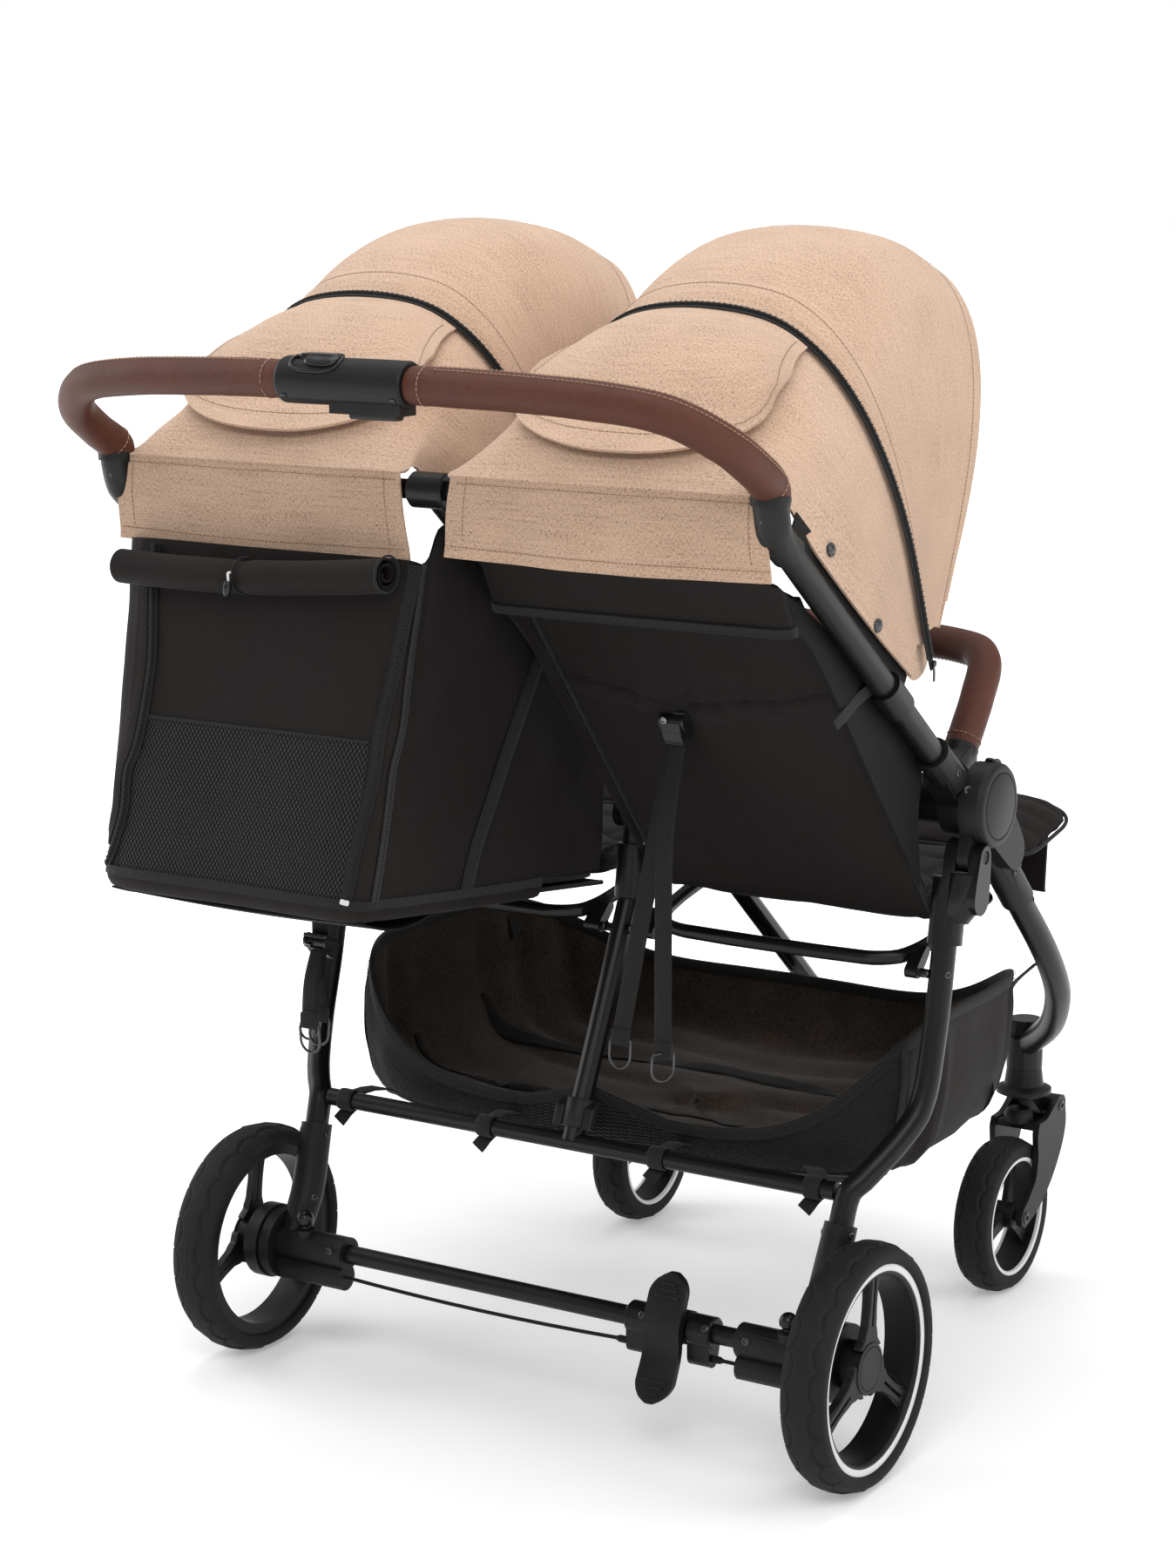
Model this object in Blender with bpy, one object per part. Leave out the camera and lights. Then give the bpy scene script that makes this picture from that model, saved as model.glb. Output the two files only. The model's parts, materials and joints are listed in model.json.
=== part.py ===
"""Side-by-side double stroller, modelled as its separate pieces at real size.

Axes: +X is the stroller's left as the pusher's view shows it on the left, -Y is
forward, +Z is up. All sizes are in metres. Places are given from the middle of the
rear axle on the floor, and one empty carries the whole model, so that the world
origin is at the middle of its footprint.
"""
import math

import bmesh
import bpy
from mathutils import Vector

for old in list(bpy.data.objects):
    bpy.data.objects.remove(old, do_unlink=True)

# Driving dimensions of the frame
CLEAR = 0.0003
REAR_AXLE_BACK = 0.1733
SIDE_X = 0.352
HINGE_Y = -0.200
HINGE_Z = 0.617
UPPER_ANGLE = 37.8
FRONT_ANGLE = 224.4
PIVOT_Y = -0.174
PIVOT_Z = 0.572
UPPER_TUBE_R = 0.0125
CENTRE_TUBE_R = 0.011
FRONT_TUBE_R = 0.0135
REAR_TUBE_R = 0.012
SLEEVE_R = 0.0168
PIN_R = 0.006

# Side hinges
CAP_R = 0.040
CAP_INNER_X = SIDE_X + 0.0105
CAP_WIDTH = 0.024
ARM_DISC_R = 0.031
ARM_INNER_X = SIDE_X - 0.0160
ARM_OUTER_X = SIDE_X + 0.0098
ARM_COLLAR_START = 0.044
ARM_COLLAR_END = 0.098
HOUSING_SLEEVE_END = 0.165
SOCKET_DEPTH = 0.030
LUG_R = 0.016
BUTTON_ANGLE = 104.0
BUTTON_TRAVEL = 0.002
LUG_OUTER_X = SIDE_X + 0.0222
EAR_INNER_X = SIDE_X - 0.0020
EAR_OUTER_X = SIDE_X + 0.0340
OUTER_EAR_R = 0.0110
REAR_SLEEVE_LENGTH = 0.086

# Handle
BRACKET_Y = 0.180
BRACKET_Z = 0.912
BRACKET_R = 0.0155
BRACKET_TOP_Y = 0.18785
BRACKET_TOP_Z = 0.9400
BRACKET_LEAN = 8.5
CROSSBAR_Y = 0.1756
CROSSBAR_Z = 0.9275
CROSSBAR_R = 0.009
T_CAP_R = 0.0165
T_CAP_HALF = 0.019
GRIP_R = 0.0165
HANDLE_BACK_Y = 0.299
HANDLE_TOP_Z = 1.032
HOUSING_HALF = 0.066
HOUSING_R = 0.0205
SLIDER_TRAVEL = 0.008
TRIGGER_TRAVEL = 0.005
CANOPY_CLAMP_AT = 0.205

# Rear wheels
WHEEL_X = SIDE_X - 0.0020
REAR_R = 0.1175
REAR_TYRE_WIDTH = 0.045
TREAD_EDGE = 0.0075
TYRE_DEPTH = 0.0183
RIM_R = REAR_R - TYRE_DEPTH
RIM_INNER_R = RIM_R - 0.0112
RIM_WIDTH = 0.036
RIM_SEGMENTS = 36
HUB_R = 0.0235
SPOKES = 3
SPOKE_SLOT = 0.0026
AXLE_PIN_R = 0.0055
AXLE_PIN_LENGTH = 0.052
CROWN_R = 0.038
CROWN_GAP = 0.0020
CROWN_WIDTH = 0.0150
NOTCH_DEPTH = 0.0080
CROWN_NOTCHES = 8
BRAKE_PIN_R = 0.0034
BRAKE_PIN_AT = 0.0305

# Rear axle and its housings
AXLE_TUBE_R = 0.0095
AXLE_TUBE_Y = 0.0053
AXLE_TUBE_Z = REAR_R + 0.0038
HOUSING_INNER_X = WHEEL_X - 0.1210
HOUSING_OUTER_X = WHEEL_X - 0.0365
FLANGE_OUTER_X = WHEEL_X - 0.0285
CABLE_Z = AXLE_TUBE_Z - 0.0243
CABLE_R = 0.0019
FERRULE_R = 0.0036
BOSS_R = 0.0170
LOBE_R = 0.0135
KNOB_X = WHEEL_X - 0.0690
KNOB_Y = 0.009
KNOB_R = 0.0092
KNOB_STEM_R = 0.0050
KNOB_TRAVEL = 0.003
KNOB_BORE_Z = AXLE_TUBE_Z + 0.0042
KNOB_POST_Z = AXLE_TUBE_Z + 0.0187

# Brake pedal
PEDAL_X = -0.154
PEDAL_WIDTH = 0.042
PEDAL_THICK = 0.0075
PEDAL_TOP_Z = AXLE_TUBE_Z + 0.0517
PEDAL_BOTTOM_Z = AXLE_TUBE_Z - 0.0643
CLAMP_WIDTH = 0.026
CLAMP_R = 0.0160

# Rear legs
LEG_FOOT_X = WHEEL_X - 0.0445
LEG_FOOT_Y = -0.0465
LEG_FOOT_Z = 0.2341
LOW_BAR_X = LEG_FOOT_X + 0.0025
LOW_BAR_Y = -0.0565
LOW_BAR_Z = 0.2618
LOW_BAR_R = 0.009

# Front legs and caster units
CASTER_X = 0.228
CASTER_Y = -0.617
FRONT_CROSS_Y = -0.592
FRONT_CROSS_Z = 0.276
FRONT_CROSS_R = 0.010
LEG_SOCKET_TOP = 0.292
LEG_SOCKET_BOTTOM = 0.238
LEG_SOCKET_R = 0.0195
CROWN_Z = 0.2065
SPINDLE_R = 0.007
FRONT_WHEEL_Y = -0.567
FRONT_R = 0.084
FRONT_WIDTH = 0.040
FORK_PIVOT_Y = -0.652
FORK_PIVOT_Z = 0.189
FORK_BOSS_R = 0.0125
FORK_CHEEK = 0.007
FRONT_AXLE_R = 0.005

# Bumper bar
BUMPER_ARM_X = SIDE_X - 0.0350
BUMPER_R = 0.0165
BUMPER_HUB_R = 0.022
BUMPER_HUB_INNER_X = SIDE_X - 0.0480
BUMPER_HUB_OUTER_X = SIDE_X - 0.0185

# Seats
SEAT_INNER_X = 0.034
SEAT_TUBE_R = 0.007
SEAT_REAR_Y = -0.135
SEAT_REAR_Z = 0.470
SEAT_FRONT_Y = -0.300
SEAT_FRONT_Z = 0.502
BACK_Y = -0.185
BACK_Z = 0.5035
FRONT_EDGE_Y = -0.425
FRONT_EDGE_Z = 0.514
SEAT_ROD_R = 0.007
RECLINED_LENGTH = 0.385
UPRIGHT_LENGTH = 0.445
BACK_THICK = 0.022
BACK_CROWN = 0.005
BACK_INNER_X = 0.0365
BACK_OUTER_X = SIDE_X - 0.0169
RECLINED_ANGLE = 7.0
UPRIGHT_ANGLE = 50.9
LEG_REST_LENGTH = 0.150
LEG_REST_THICK = 0.020
LEG_REST_ANGLE = 169.0
SIDE_CLOTH = 0.003
CLIP_X = {1: 0.186, -1: -0.150}
UPRIGHT_CLIP_AT = 0.273
RECLINED_CLIP_AT = 0.287
RECLINED_CLIP_SINK = 0.0021

# Canopies
CANOPY_Y = -0.090
CANOPY_Z = 0.761
CANOPY_CLOTH = 0.003
CANOPY_INNER_X = 0.0055
CANOPY_OUTER_X = SIDE_X + 0.0110
ZIP_ANGLE = 71.6
FRONT_BOW_ANGLE = 121.0

# Basket
BASKET_CLOTH = 0.004
BASKET_HALF_X = 0.306
BASKET_FRONT_TAPER = 0.050
BASKET_Y = -0.3075
BASKET_HALF_Y = 0.1875
BASKET_RIM_Z = 0.322
BASKET_FLOOR_Z = 0.243

root = bpy.data.objects.new("stroller", None)
bpy.context.scene.collection.objects.link(root)
root.location = (0.0, REAR_AXLE_BACK, 0.0)


# Materials

def make_material(name, colour, roughness, metallic=0.0):
    material = bpy.data.materials.new(name)
    material.use_nodes = True
    shader = material.node_tree.nodes["Principled BSDF"]
    shader.inputs["Base Color"].default_value = (*colour, 1.0)
    shader.inputs["Roughness"].default_value = roughness
    shader.inputs["Metallic"].default_value = metallic
    material.diffuse_color = (*colour, 1.0)
    return material


METAL = make_material("black_coated_tube", (0.022, 0.022, 0.023), 0.42, 0.2)
PLASTIC = make_material("black_plastic", (0.018, 0.018, 0.018), 0.5)
TYRE = make_material("tyre_foam", (0.014, 0.014, 0.014), 0.8)
LEATHER = make_material("brown_leatherette", (0.125, 0.042, 0.026), 0.5)
SAND = make_material("sand_cloth", (0.60, 0.42, 0.29), 0.9)
BLACK_CLOTH = make_material("black_cloth", (0.018, 0.016, 0.016), 0.85)
CHARCOAL = make_material("charcoal_cloth", (0.05, 0.042, 0.036), 0.9)


# Modelling helpers

def polar(angle, distance, y=HINGE_Y, z=HINGE_Z):
    """Point in the side plane at an angle in degrees from +Y, about the main hinge."""
    turn = math.radians(angle)
    return y + distance * math.cos(turn), z + distance * math.sin(turn)


def smooth_path(points, steps):
    """Points of a smooth curve through the given points."""
    knots = [Vector(p) for p in points]
    knots = [2 * knots[0] - knots[1], *knots, 2 * knots[-1] - knots[-2]]
    path = []
    for i in range(1, len(knots) - 2):
        a, b, c, d = knots[i - 1:i + 3]
        for step in range(steps):
            t = step / steps
            path.append(0.5 * (2 * b + (c - a) * t + (2 * a - 5 * b + 4 * c - d) * t * t
                               + (3 * b - a - 3 * c + d) * t ** 3))
    path.append(knots[-2])
    return path


def place(name, bm, material, origin=None, turned=False):
    """Turn a bmesh into the named object, with its origin on its joint's axis."""
    if not turned:
        bmesh.ops.remove_doubles(bm, verts=bm.verts, dist=1e-6)
        bmesh.ops.recalc_face_normals(bm, faces=bm.faces)
    if origin is not None:
        bmesh.ops.translate(bm, verts=bm.verts, vec=-Vector(origin))
    mesh = bpy.data.meshes.new(name)
    bm.to_mesh(mesh)
    bm.free()
    mesh.materials.append(material)
    mesh.shade_smooth()
    mesh.set_sharp_from_angle(angle=math.radians(35))
    obj = bpy.data.objects.new(name, mesh)
    bpy.context.scene.collection.objects.link(obj)
    obj.parent = root
    if origin is not None:
        obj.location = origin
    return obj


def sweep(path, radius, sides=10):
    """Closed round bar along a path. The radius may be one value for each point."""
    path = [Vector(p) for p in path]
    radii = radius if isinstance(radius, (list, tuple)) else [radius] * len(path)
    bm = bmesh.new()
    rings = []
    last = len(path) - 1
    side = None
    for i, point in enumerate(path):
        along = (path[min(i + 1, last)] - path[max(i - 1, 0)]).normalized()
        if side is None:
            guess = Vector((1, 0, 0))
            if abs(along.dot(guess)) > 0.9:
                guess = Vector((0, 0, 1))
            side = guess
        side = (side - along * side.dot(along)).normalized()
        up = along.cross(side)
        ring = []
        for k in range(sides):
            turn = 2 * math.pi * (k + 0.5) / sides
            offset = (side * math.cos(turn) + up * math.sin(turn)) * radii[i]
            ring.append(bm.verts.new(point + offset))
        rings.append(ring)
    for near, far in zip(rings, rings[1:]):
        for k in range(sides):
            bm.faces.new((near[k], near[(k + 1) % sides], far[(k + 1) % sides], far[k]))
    bm.faces.new(rings[0])
    bm.faces.new(rings[-1])
    return bm


def turn_profile(profile, centre, axis, segments, phase=0.0):
    """Solid of revolution. Each profile point is (distance along the axis, radius)."""
    axis = Vector(axis).normalized()
    guess = Vector((0, 0, 1)) if abs(axis.z) < 0.9 else Vector((0, 1, 0))
    side = (guess - axis * guess.dot(axis)).normalized()
    up = axis.cross(side)
    centre = Vector(centre)
    bm = bmesh.new()
    rings = []
    for along, radius in profile:
        middle = centre + axis * along
        if radius == 0:
            rings.append([bm.verts.new(middle)])
            continue
        ring = []
        for k in range(segments):
            turn = 2 * math.pi * k / segments + phase
            ring.append(bm.verts.new(middle + (side * math.cos(turn) + up * math.sin(turn)) * radius))
        rings.append(ring)
    closed = profile[0][1] > 0 and profile[-1][1] > 0
    pairs = list(zip(rings, rings[1:] + rings[:1] if closed else rings[1:]))
    for near, far in pairs:
        for k in range(segments):
            n = (k + 1) % segments
            if len(near) == 1:
                bm.faces.new((near[0], far[n], far[k]))
            elif len(far) == 1:
                bm.faces.new((near[k], near[n], far[0]))
            else:
                bm.faces.new((near[k], near[n], far[n], far[k]))
    return bm


def disc(centre, axis, radius, length, segments=16, edge=0.0):
    """Round bar along an axis from its centre point, with small chamfers."""
    if edge > 0:
        profile = [(0, 0), (0, radius - edge), (edge, radius), (length - edge, radius),
                   (length, radius - edge), (length, 0)]
    else:
        profile = [(0, 0), (0, radius), (length, radius), (length, 0)]
    return turn_profile(profile, centre, axis, segments)


def bore(centre, axis, radius, length, segments=8):
    """Cutter for a round hole, whose flats clear a shaft of the given radius."""
    return disc(centre, axis, (radius + CLEAR) / math.cos(math.pi / segments), length, segments)


def extrude_outline(outline, low, high, plane="YZ"):
    """Plate with the given outline, between two values of the third axis."""
    def lift(a, b, c):
        if plane == "YZ":
            return c, a, b
        if plane == "XZ":
            return a, c, b
        return a, b, c
    bm = bmesh.new()
    front = [bm.verts.new(lift(a, b, low)) for a, b in outline]
    back = [bm.verts.new(lift(a, b, high)) for a, b in outline]
    count = len(outline)
    for k in range(count):
        n = (k + 1) % count
        bm.faces.new((front[k], front[n], back[n], back[k]))
    bm.faces.new(front)
    bm.faces.new(back)
    return bm


def lens(first, first_r, second, second_r, steps=5):
    """Outline round two circles, as a lug or a link has."""
    dx = second[0] - first[0]
    dy = second[1] - first[1]
    distance = math.hypot(dx, dy)
    heading = math.atan2(dy, dx)
    spread = math.acos((first_r - second_r) / distance)
    outline = []
    for k in range(steps + 1):
        turn = heading + spread + (2 * math.pi - 2 * spread) * k / steps
        outline.append((first[0] + first_r * math.cos(turn), first[1] + first_r * math.sin(turn)))
    for k in range(steps + 1):
        turn = heading - spread + 2 * spread * k / steps
        outline.append((second[0] + second_r * math.cos(turn), second[1] + second_r * math.sin(turn)))
    return outline


def as_tool(bm, name):
    """Shape that only joins or cuts another one."""
    tool = place(name, bm, PLASTIC)
    tool.hide_render = True
    tool.display_type = "WIRE"
    return tool


def combine(target, operation, *shapes):
    """Join shapes to the target, or cut them from it."""
    for count, bm in enumerate(shapes):
        tool = as_tool(bm, f"tool_{target.name}_{operation.lower()}_{len(target.modifiers)}_{count}")
        modifier = target.modifiers.new(f"{operation.lower()}_{count}", "BOOLEAN")
        modifier.operation = operation
        modifier.solver = "EXACT"
        modifier.object = tool
    return target


def fuse(target, *shapes):
    return combine(target, "UNION", *shapes)


def cut(target, *shapes):
    return combine(target, "DIFFERENCE", *shapes)


def cloth(name, rows, thickness, material, inside, origin=None, extra_rows=()):
    """Closed thin solid from rows of points, which form its outer surface.

    The cloth's thickness goes towards the inside point. extra_rows holds further
    strips as (first column, rows), sewn to the first row.
    """
    bm = bmesh.new()
    grid = [[bm.verts.new(p) for p in row] for row in rows]
    for near, far in zip(grid, grid[1:]):
        for k in range(len(near) - 1):
            bm.faces.new((near[k], near[k + 1], far[k + 1], far[k]))
    for first, strip in extra_rows:
        above = grid[0][first:first + len(strip[0])]
        for row in strip:
            below = [bm.verts.new(p) for p in row]
            for k in range(len(below) - 1):
                bm.faces.new((below[k], below[k + 1], above[k + 1], above[k]))
            above = below
    bm.normal_update()
    outward = sum((f.calc_center_median() - Vector(inside)).dot(f.normal) * f.calc_area() for f in bm.faces)
    if outward < 0:
        bmesh.ops.reverse_faces(bm, faces=bm.faces)
    obj = place(name, bm, material, origin, turned=True)
    solid = obj.modifiers.new("cloth_thickness", "SOLIDIFY")
    solid.thickness = thickness
    solid.offset = -1.0
    solid.use_even_offset = True
    return obj


def pad(name, start, angle, length, low_x, high_x, thickness, crown, material, origin,
        channels=(), columns=6, rows=9, pull=0.004):
    """Cushion in the side plane: crowned faces, drawn-in sides and sewn channels.

    start is the (y, z) of its root edge's middle and angle its direction in degrees.
    """
    turn = math.radians(angle)
    along = Vector((0, math.cos(turn), math.sin(turn)))
    normal = Vector((0, -math.sin(turn), math.cos(turn)))
    if normal.z < 0:
        normal = -normal
    corner = Vector((0, start[0], start[1]))
    middle_x = (low_x + high_x) / 2
    half_x = (high_x - low_x) / 2
    bm = bmesh.new()
    faces = {}
    for side in (1, -1):
        grid = []
        for i in range(rows + 1):
            v = i / rows
            line = []
            for k in range(columns + 1):
                u = 2 * k / columns - 1
                dome = (1 - abs(u) ** 4) * (1 - abs(2 * v - 1) ** 4)
                sewn = sum(math.exp(-((v - c) / 0.05) ** 2) for c in channels)
                rise = thickness / 2 + crown * dome * (1 - 0.8 * min(1.0, sewn))
                waist = pull * (1 - abs(2 * v - 1) ** 2)
                x = middle_x + u * (half_x - waist)
                point = corner + along * (v * length) + normal * side * rise
                line.append(bm.verts.new((x, point.y, point.z)))
            grid.append(line)
        faces[side] = grid
        for i in range(rows):
            for k in range(columns):
                bm.faces.new((grid[i][k], grid[i][k + 1], grid[i + 1][k + 1], grid[i + 1][k]))
    top, under = faces[1], faces[-1]
    border = [(0, k) for k in range(columns)] + [(i, columns) for i in range(rows)]
    border += [(rows, k) for k in range(columns, 0, -1)] + [(i, 0) for i in range(rows, 0, -1)]
    for here, there in zip(border, border[1:] + border[:1]):
        bm.faces.new((top[here[0]][here[1]], top[there[0]][there[1]],
                      under[there[0]][there[1]], under[here[0]][here[1]]))
    return place(name, bm, material, origin)


def side_name(base, sign):
    return f"{base}_{'left' if sign > 0 else 'right'}"


def mirrored(sign, points):
    return [(sign * x, y, z) for x, y, z in points]


# Side hinges and the tubes they join

def hinge_arm(sign):
    """Upper half of a side hinge, which carries the upper tube in its collar."""
    end_y, end_z = polar(UPPER_ANGLE, 0.062)
    bridge = lens((HINGE_Y, HINGE_Z), 0.019, (end_y, end_z), 0.0160)
    low, high = sorted((sign * (ARM_INNER_X + 0.001), sign * (ARM_OUTER_X - 0.0004)))
    arm = place(side_name("hinge_arm", sign), extrude_outline(bridge, low, high), PLASTIC,
                (sign * ARM_INNER_X, HINGE_Y, HINGE_Z))
    collar_low = (sign * SIDE_X, *polar(UPPER_ANGLE, ARM_COLLAR_START))
    collar_high = (sign * SIDE_X, *polar(UPPER_ANGLE, ARM_COLLAR_END))
    fuse(arm,
         disc((sign * ARM_INNER_X, HINGE_Y, HINGE_Z), (sign, 0, 0), ARM_DISC_R,
              ARM_OUTER_X - ARM_INNER_X, 20),
         sweep([collar_low, collar_high], SLEEVE_R, 12))
    socket_low = (sign * SIDE_X, *polar(UPPER_ANGLE, ARM_COLLAR_END - SOCKET_DEPTH))
    socket_high = (sign * SIDE_X, *polar(UPPER_ANGLE, ARM_COLLAR_END + 0.01))
    cut(arm,
        sweep([socket_low, socket_high], UPPER_TUBE_R + CLEAR),
        bore((sign * (ARM_INNER_X - 0.01), HINGE_Y, HINGE_Z), (sign, 0, 0), PIN_R, 0.05))
    return arm


def bracket_point(distance):
    """Point on the line on which the bracket's top and the grip's foot meet."""
    lean = math.radians(BRACKET_LEAN)
    return (SIDE_X, BRACKET_TOP_Y + distance * math.sin(lean), BRACKET_TOP_Z + distance * math.cos(lean))


def upper_tube(sign):
    """Side tube from the hinge arm to the handle, with the canopy clamp and end bracket."""
    foot = (sign * SIDE_X, *polar(UPPER_ANGLE, ARM_COLLAR_END - SOCKET_DEPTH + CLEAR))
    bend = (sign * SIDE_X, BRACKET_Y, BRACKET_Z)
    top = (sign * SIDE_X, 0.1872, 0.9355)
    tube = place(side_name("upper_tube", sign), sweep([foot, bend, top], UPPER_TUBE_R), METAL,
                 (sign * SIDE_X, HINGE_Y, HINGE_Z))
    clamp = [(sign * SIDE_X, *polar(UPPER_ANGLE, CANOPY_CLAMP_AT + step)) for step in (-0.019, 0.019)]
    bracket = [(sign * SIDE_X, *polar(UPPER_ANGLE, 0.452)), bend,
               *mirrored(sign, [bracket_point(-0.007), bracket_point(0.0)])]
    fuse(tube, sweep(clamp, UPPER_TUBE_R + 0.0035, 12), sweep(bracket, BRACKET_R, 12))
    return tube


def upper_tube_centre():
    """Tube between the seats, its T cap and the crossbar that joins the three upper tubes."""
    angle = math.degrees(math.atan2(CROSSBAR_Z - HINGE_Z, CROSSBAR_Y - HINGE_Y))
    foot = (0, *polar(angle, 0.016))
    top = (0, CROSSBAR_Y, CROSSBAR_Z)
    tube = place("upper_tube_centre", sweep([foot, top], CENTRE_TUBE_R), METAL,
                 (0, HINGE_Y, HINGE_Z))
    reach = SIDE_X - BRACKET_R - CLEAR
    fuse(tube,
         disc((-reach, CROSSBAR_Y, CROSSBAR_Z), (1, 0, 0), CROSSBAR_R, 2 * reach, 10),
         disc((-T_CAP_HALF, CROSSBAR_Y, CROSSBAR_Z), (1, 0, 0), T_CAP_R, 2 * T_CAP_HALF, 16, 0.002),
         disc((-0.0100, HINGE_Y, HINGE_Z), (1, 0, 0), 0.022, 0.0200))
    cut(tube, bore((-0.03, HINGE_Y, HINGE_Z), (1, 0, 0), PIN_R, 0.06))
    return tube


def hinge_housing(sign):
    """Lower half of a side hinge: round cap, pin, front leg sleeve and rear leg lug."""
    centre = (sign * CAP_INNER_X, HINGE_Y, HINGE_Z)
    rim = 0.005
    dish = [(0, 0), (0, CAP_R), (CAP_WIDTH - rim, CAP_R), (CAP_WIDTH, CAP_R - rim), (CAP_WIDTH, 0)]
    housing = place(side_name("hinge_housing", sign), turn_profile(dish, centre, (sign, 0, 0), 24), PLASTIC)
    neck_y, neck_z = polar(FRONT_ANGLE, 0.078)
    neck_low, neck_high = sorted((sign * (CAP_INNER_X + 0.0002), sign * (CAP_INNER_X + 0.0165)))
    neck = extrude_outline(lens((HINGE_Y, HINGE_Z), 0.030, (neck_y, neck_z), 0.0185), neck_low, neck_high)
    lug_low, lug_high = sorted((sign * (CAP_INNER_X + 0.0001), sign * LUG_OUTER_X))
    lug = extrude_outline(lens((HINGE_Y, HINGE_Z), 0.022, (PIVOT_Y, PIVOT_Z), LUG_R), lug_low, lug_high)
    sleeve_low = (sign * SIDE_X, *polar(FRONT_ANGLE, 0.050))
    sleeve_high = (sign * SIDE_X, *polar(FRONT_ANGLE, HOUSING_SLEEVE_END))
    hinge_pin = disc((sign * (CAP_INNER_X + 0.002), HINGE_Y, HINGE_Z), (-sign, 0, 0), PIN_R,
                     CAP_INNER_X + 0.002 - BUMPER_HUB_INNER_X, 10)
    pivot_pin = disc((sign * EAR_INNER_X, PIVOT_Y, PIVOT_Z), (sign, 0, 0), PIN_R,
                     EAR_OUTER_X - EAR_INNER_X - 0.001, 10)
    fuse(housing, neck, lug, sweep([sleeve_low, sleeve_high], SLEEVE_R, 12), hinge_pin, pivot_pin)
    mouth_low = (sign * SIDE_X, *polar(FRONT_ANGLE, HOUSING_SLEEVE_END - SOCKET_DEPTH))
    mouth_high = (sign * SIDE_X, *polar(FRONT_ANGLE, HOUSING_SLEEVE_END + 0.01))
    cut(housing, sweep([mouth_low, mouth_high], FRONT_TUBE_R + CLEAR),
        button_block(sign, CLEAR, BUTTON_TRAVEL))
    return housing


def button_block(sign, gap, travel):
    """Bumper bar's release button on the cap's rim, or its pocket when a gap is given."""
    low, high = sorted((sign * (CAP_INNER_X + 0.006 - gap), sign * (CAP_INNER_X + 0.017 + gap)))
    block = extrude_outline([(-0.0075 - gap, -0.008 - gap - travel), (0.0075 + gap, -0.008 - gap - travel),
                             (0.0075 + gap, 0.0035), (-0.0075 - gap, 0.0035)], low, high)
    tilt = math.radians(BUTTON_ANGLE - 90)
    middle = Vector((0, *polar(BUTTON_ANGLE, CAP_R)))
    for vert in block.verts:
        y, z = vert.co.y, vert.co.z
        vert.co.y = middle.y + y * math.cos(tilt) - z * math.sin(tilt)
        vert.co.z = middle.z + y * math.sin(tilt) + z * math.cos(tilt)
    return block


def bumper_button(sign):
    button = place(side_name("bumper_button", sign), button_block(sign, 0.0, 0.0), PLASTIC,
                   (sign * (CAP_INNER_X + 0.0115), *polar(BUTTON_ANGLE, CAP_R)))
    bevel = button.modifiers.new("soft_edges", "BEVEL")
    bevel.width = 0.0012
    bevel.segments = 1
    return button


# Front legs

def front_leg(sign):
    """Side front leg: straight below the hinge, curved inward to the caster socket."""
    start = HOUSING_SLEEVE_END - SOCKET_DEPTH + CLEAR
    points = [(SIDE_X, *polar(FRONT_ANGLE, start)), (SIDE_X, *polar(FRONT_ANGLE, 0.200)),
              (SIDE_X - 0.0015, -0.392, 0.430), (SIDE_X - 0.0150, -0.455, 0.374),
              (CASTER_X + 0.0710, -0.528, 0.318), (CASTER_X + 0.0240, -0.592, 0.279), (CASTER_X, CASTER_Y, 0.262)]
    leg = place(side_name("front_leg", sign), sweep(smooth_path(mirrored(sign, points), 2), FRONT_TUBE_R), METAL)
    height = LEG_SOCKET_TOP - LEG_SOCKET_BOTTOM
    socket = turn_profile([(0, 0), (0, LEG_SOCKET_R), (height * 0.62, LEG_SOCKET_R),
                           (height * 0.72, LEG_SOCKET_R - 0.0015), (height, LEG_SOCKET_R - 0.0025),
                           (height, 0)], (sign * CASTER_X, CASTER_Y, LEG_SOCKET_BOTTOM), (0, 0, 1), 16)
    tongue_box = box(sign * CASTER_X - 0.009, sign * CASTER_X + 0.009, CASTER_Y - LEG_SOCKET_R - 0.007,
                     CASTER_Y - LEG_SOCKET_R + 0.006, LEG_SOCKET_BOTTOM + 0.006, LEG_SOCKET_TOP - 0.008)
    fuse(leg, socket, tongue_box)
    cut(leg,
        bore((sign * CASTER_X, CASTER_Y, LEG_SOCKET_BOTTOM - 0.01), (0, 0, 1), SPINDLE_R, 0.036, 10),
        box(sign * CASTER_X - 0.0060 - CLEAR, sign * CASTER_X + 0.0060 + CLEAR,
            CASTER_Y - LEG_SOCKET_R - 0.010, CASTER_Y - LEG_SOCKET_R - 0.0018,
            LEG_SOCKET_BOTTOM + 0.012 - CLEAR, LEG_SOCKET_TOP - 0.014 + CLEAR))
    return leg


def box(x0, x1, y0, y1, z0, z1):
    outline = [(x0, y0), (x1, y0), (x1, y1), (x0, y1)]
    return extrude_outline(outline, z0, z1, "XY")


def caster_button(sign):
    """Release tab in the front of the caster socket."""
    button = place(side_name("caster_button", sign),
                   box(sign * CASTER_X - 0.0060, sign * CASTER_X + 0.0060,
                       CASTER_Y - LEG_SOCKET_R - 0.0100, CASTER_Y - LEG_SOCKET_R - 0.0042,
                       LEG_SOCKET_BOTTOM + 0.012, LEG_SOCKET_TOP - 0.014), PLASTIC,
                   (sign * CASTER_X, CASTER_Y - LEG_SOCKET_R, (LEG_SOCKET_BOTTOM + LEG_SOCKET_TOP) / 2))
    bevel = button.modifiers.new("soft_edges", "BEVEL")
    bevel.width = 0.0010
    bevel.segments = 1
    return button


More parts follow.
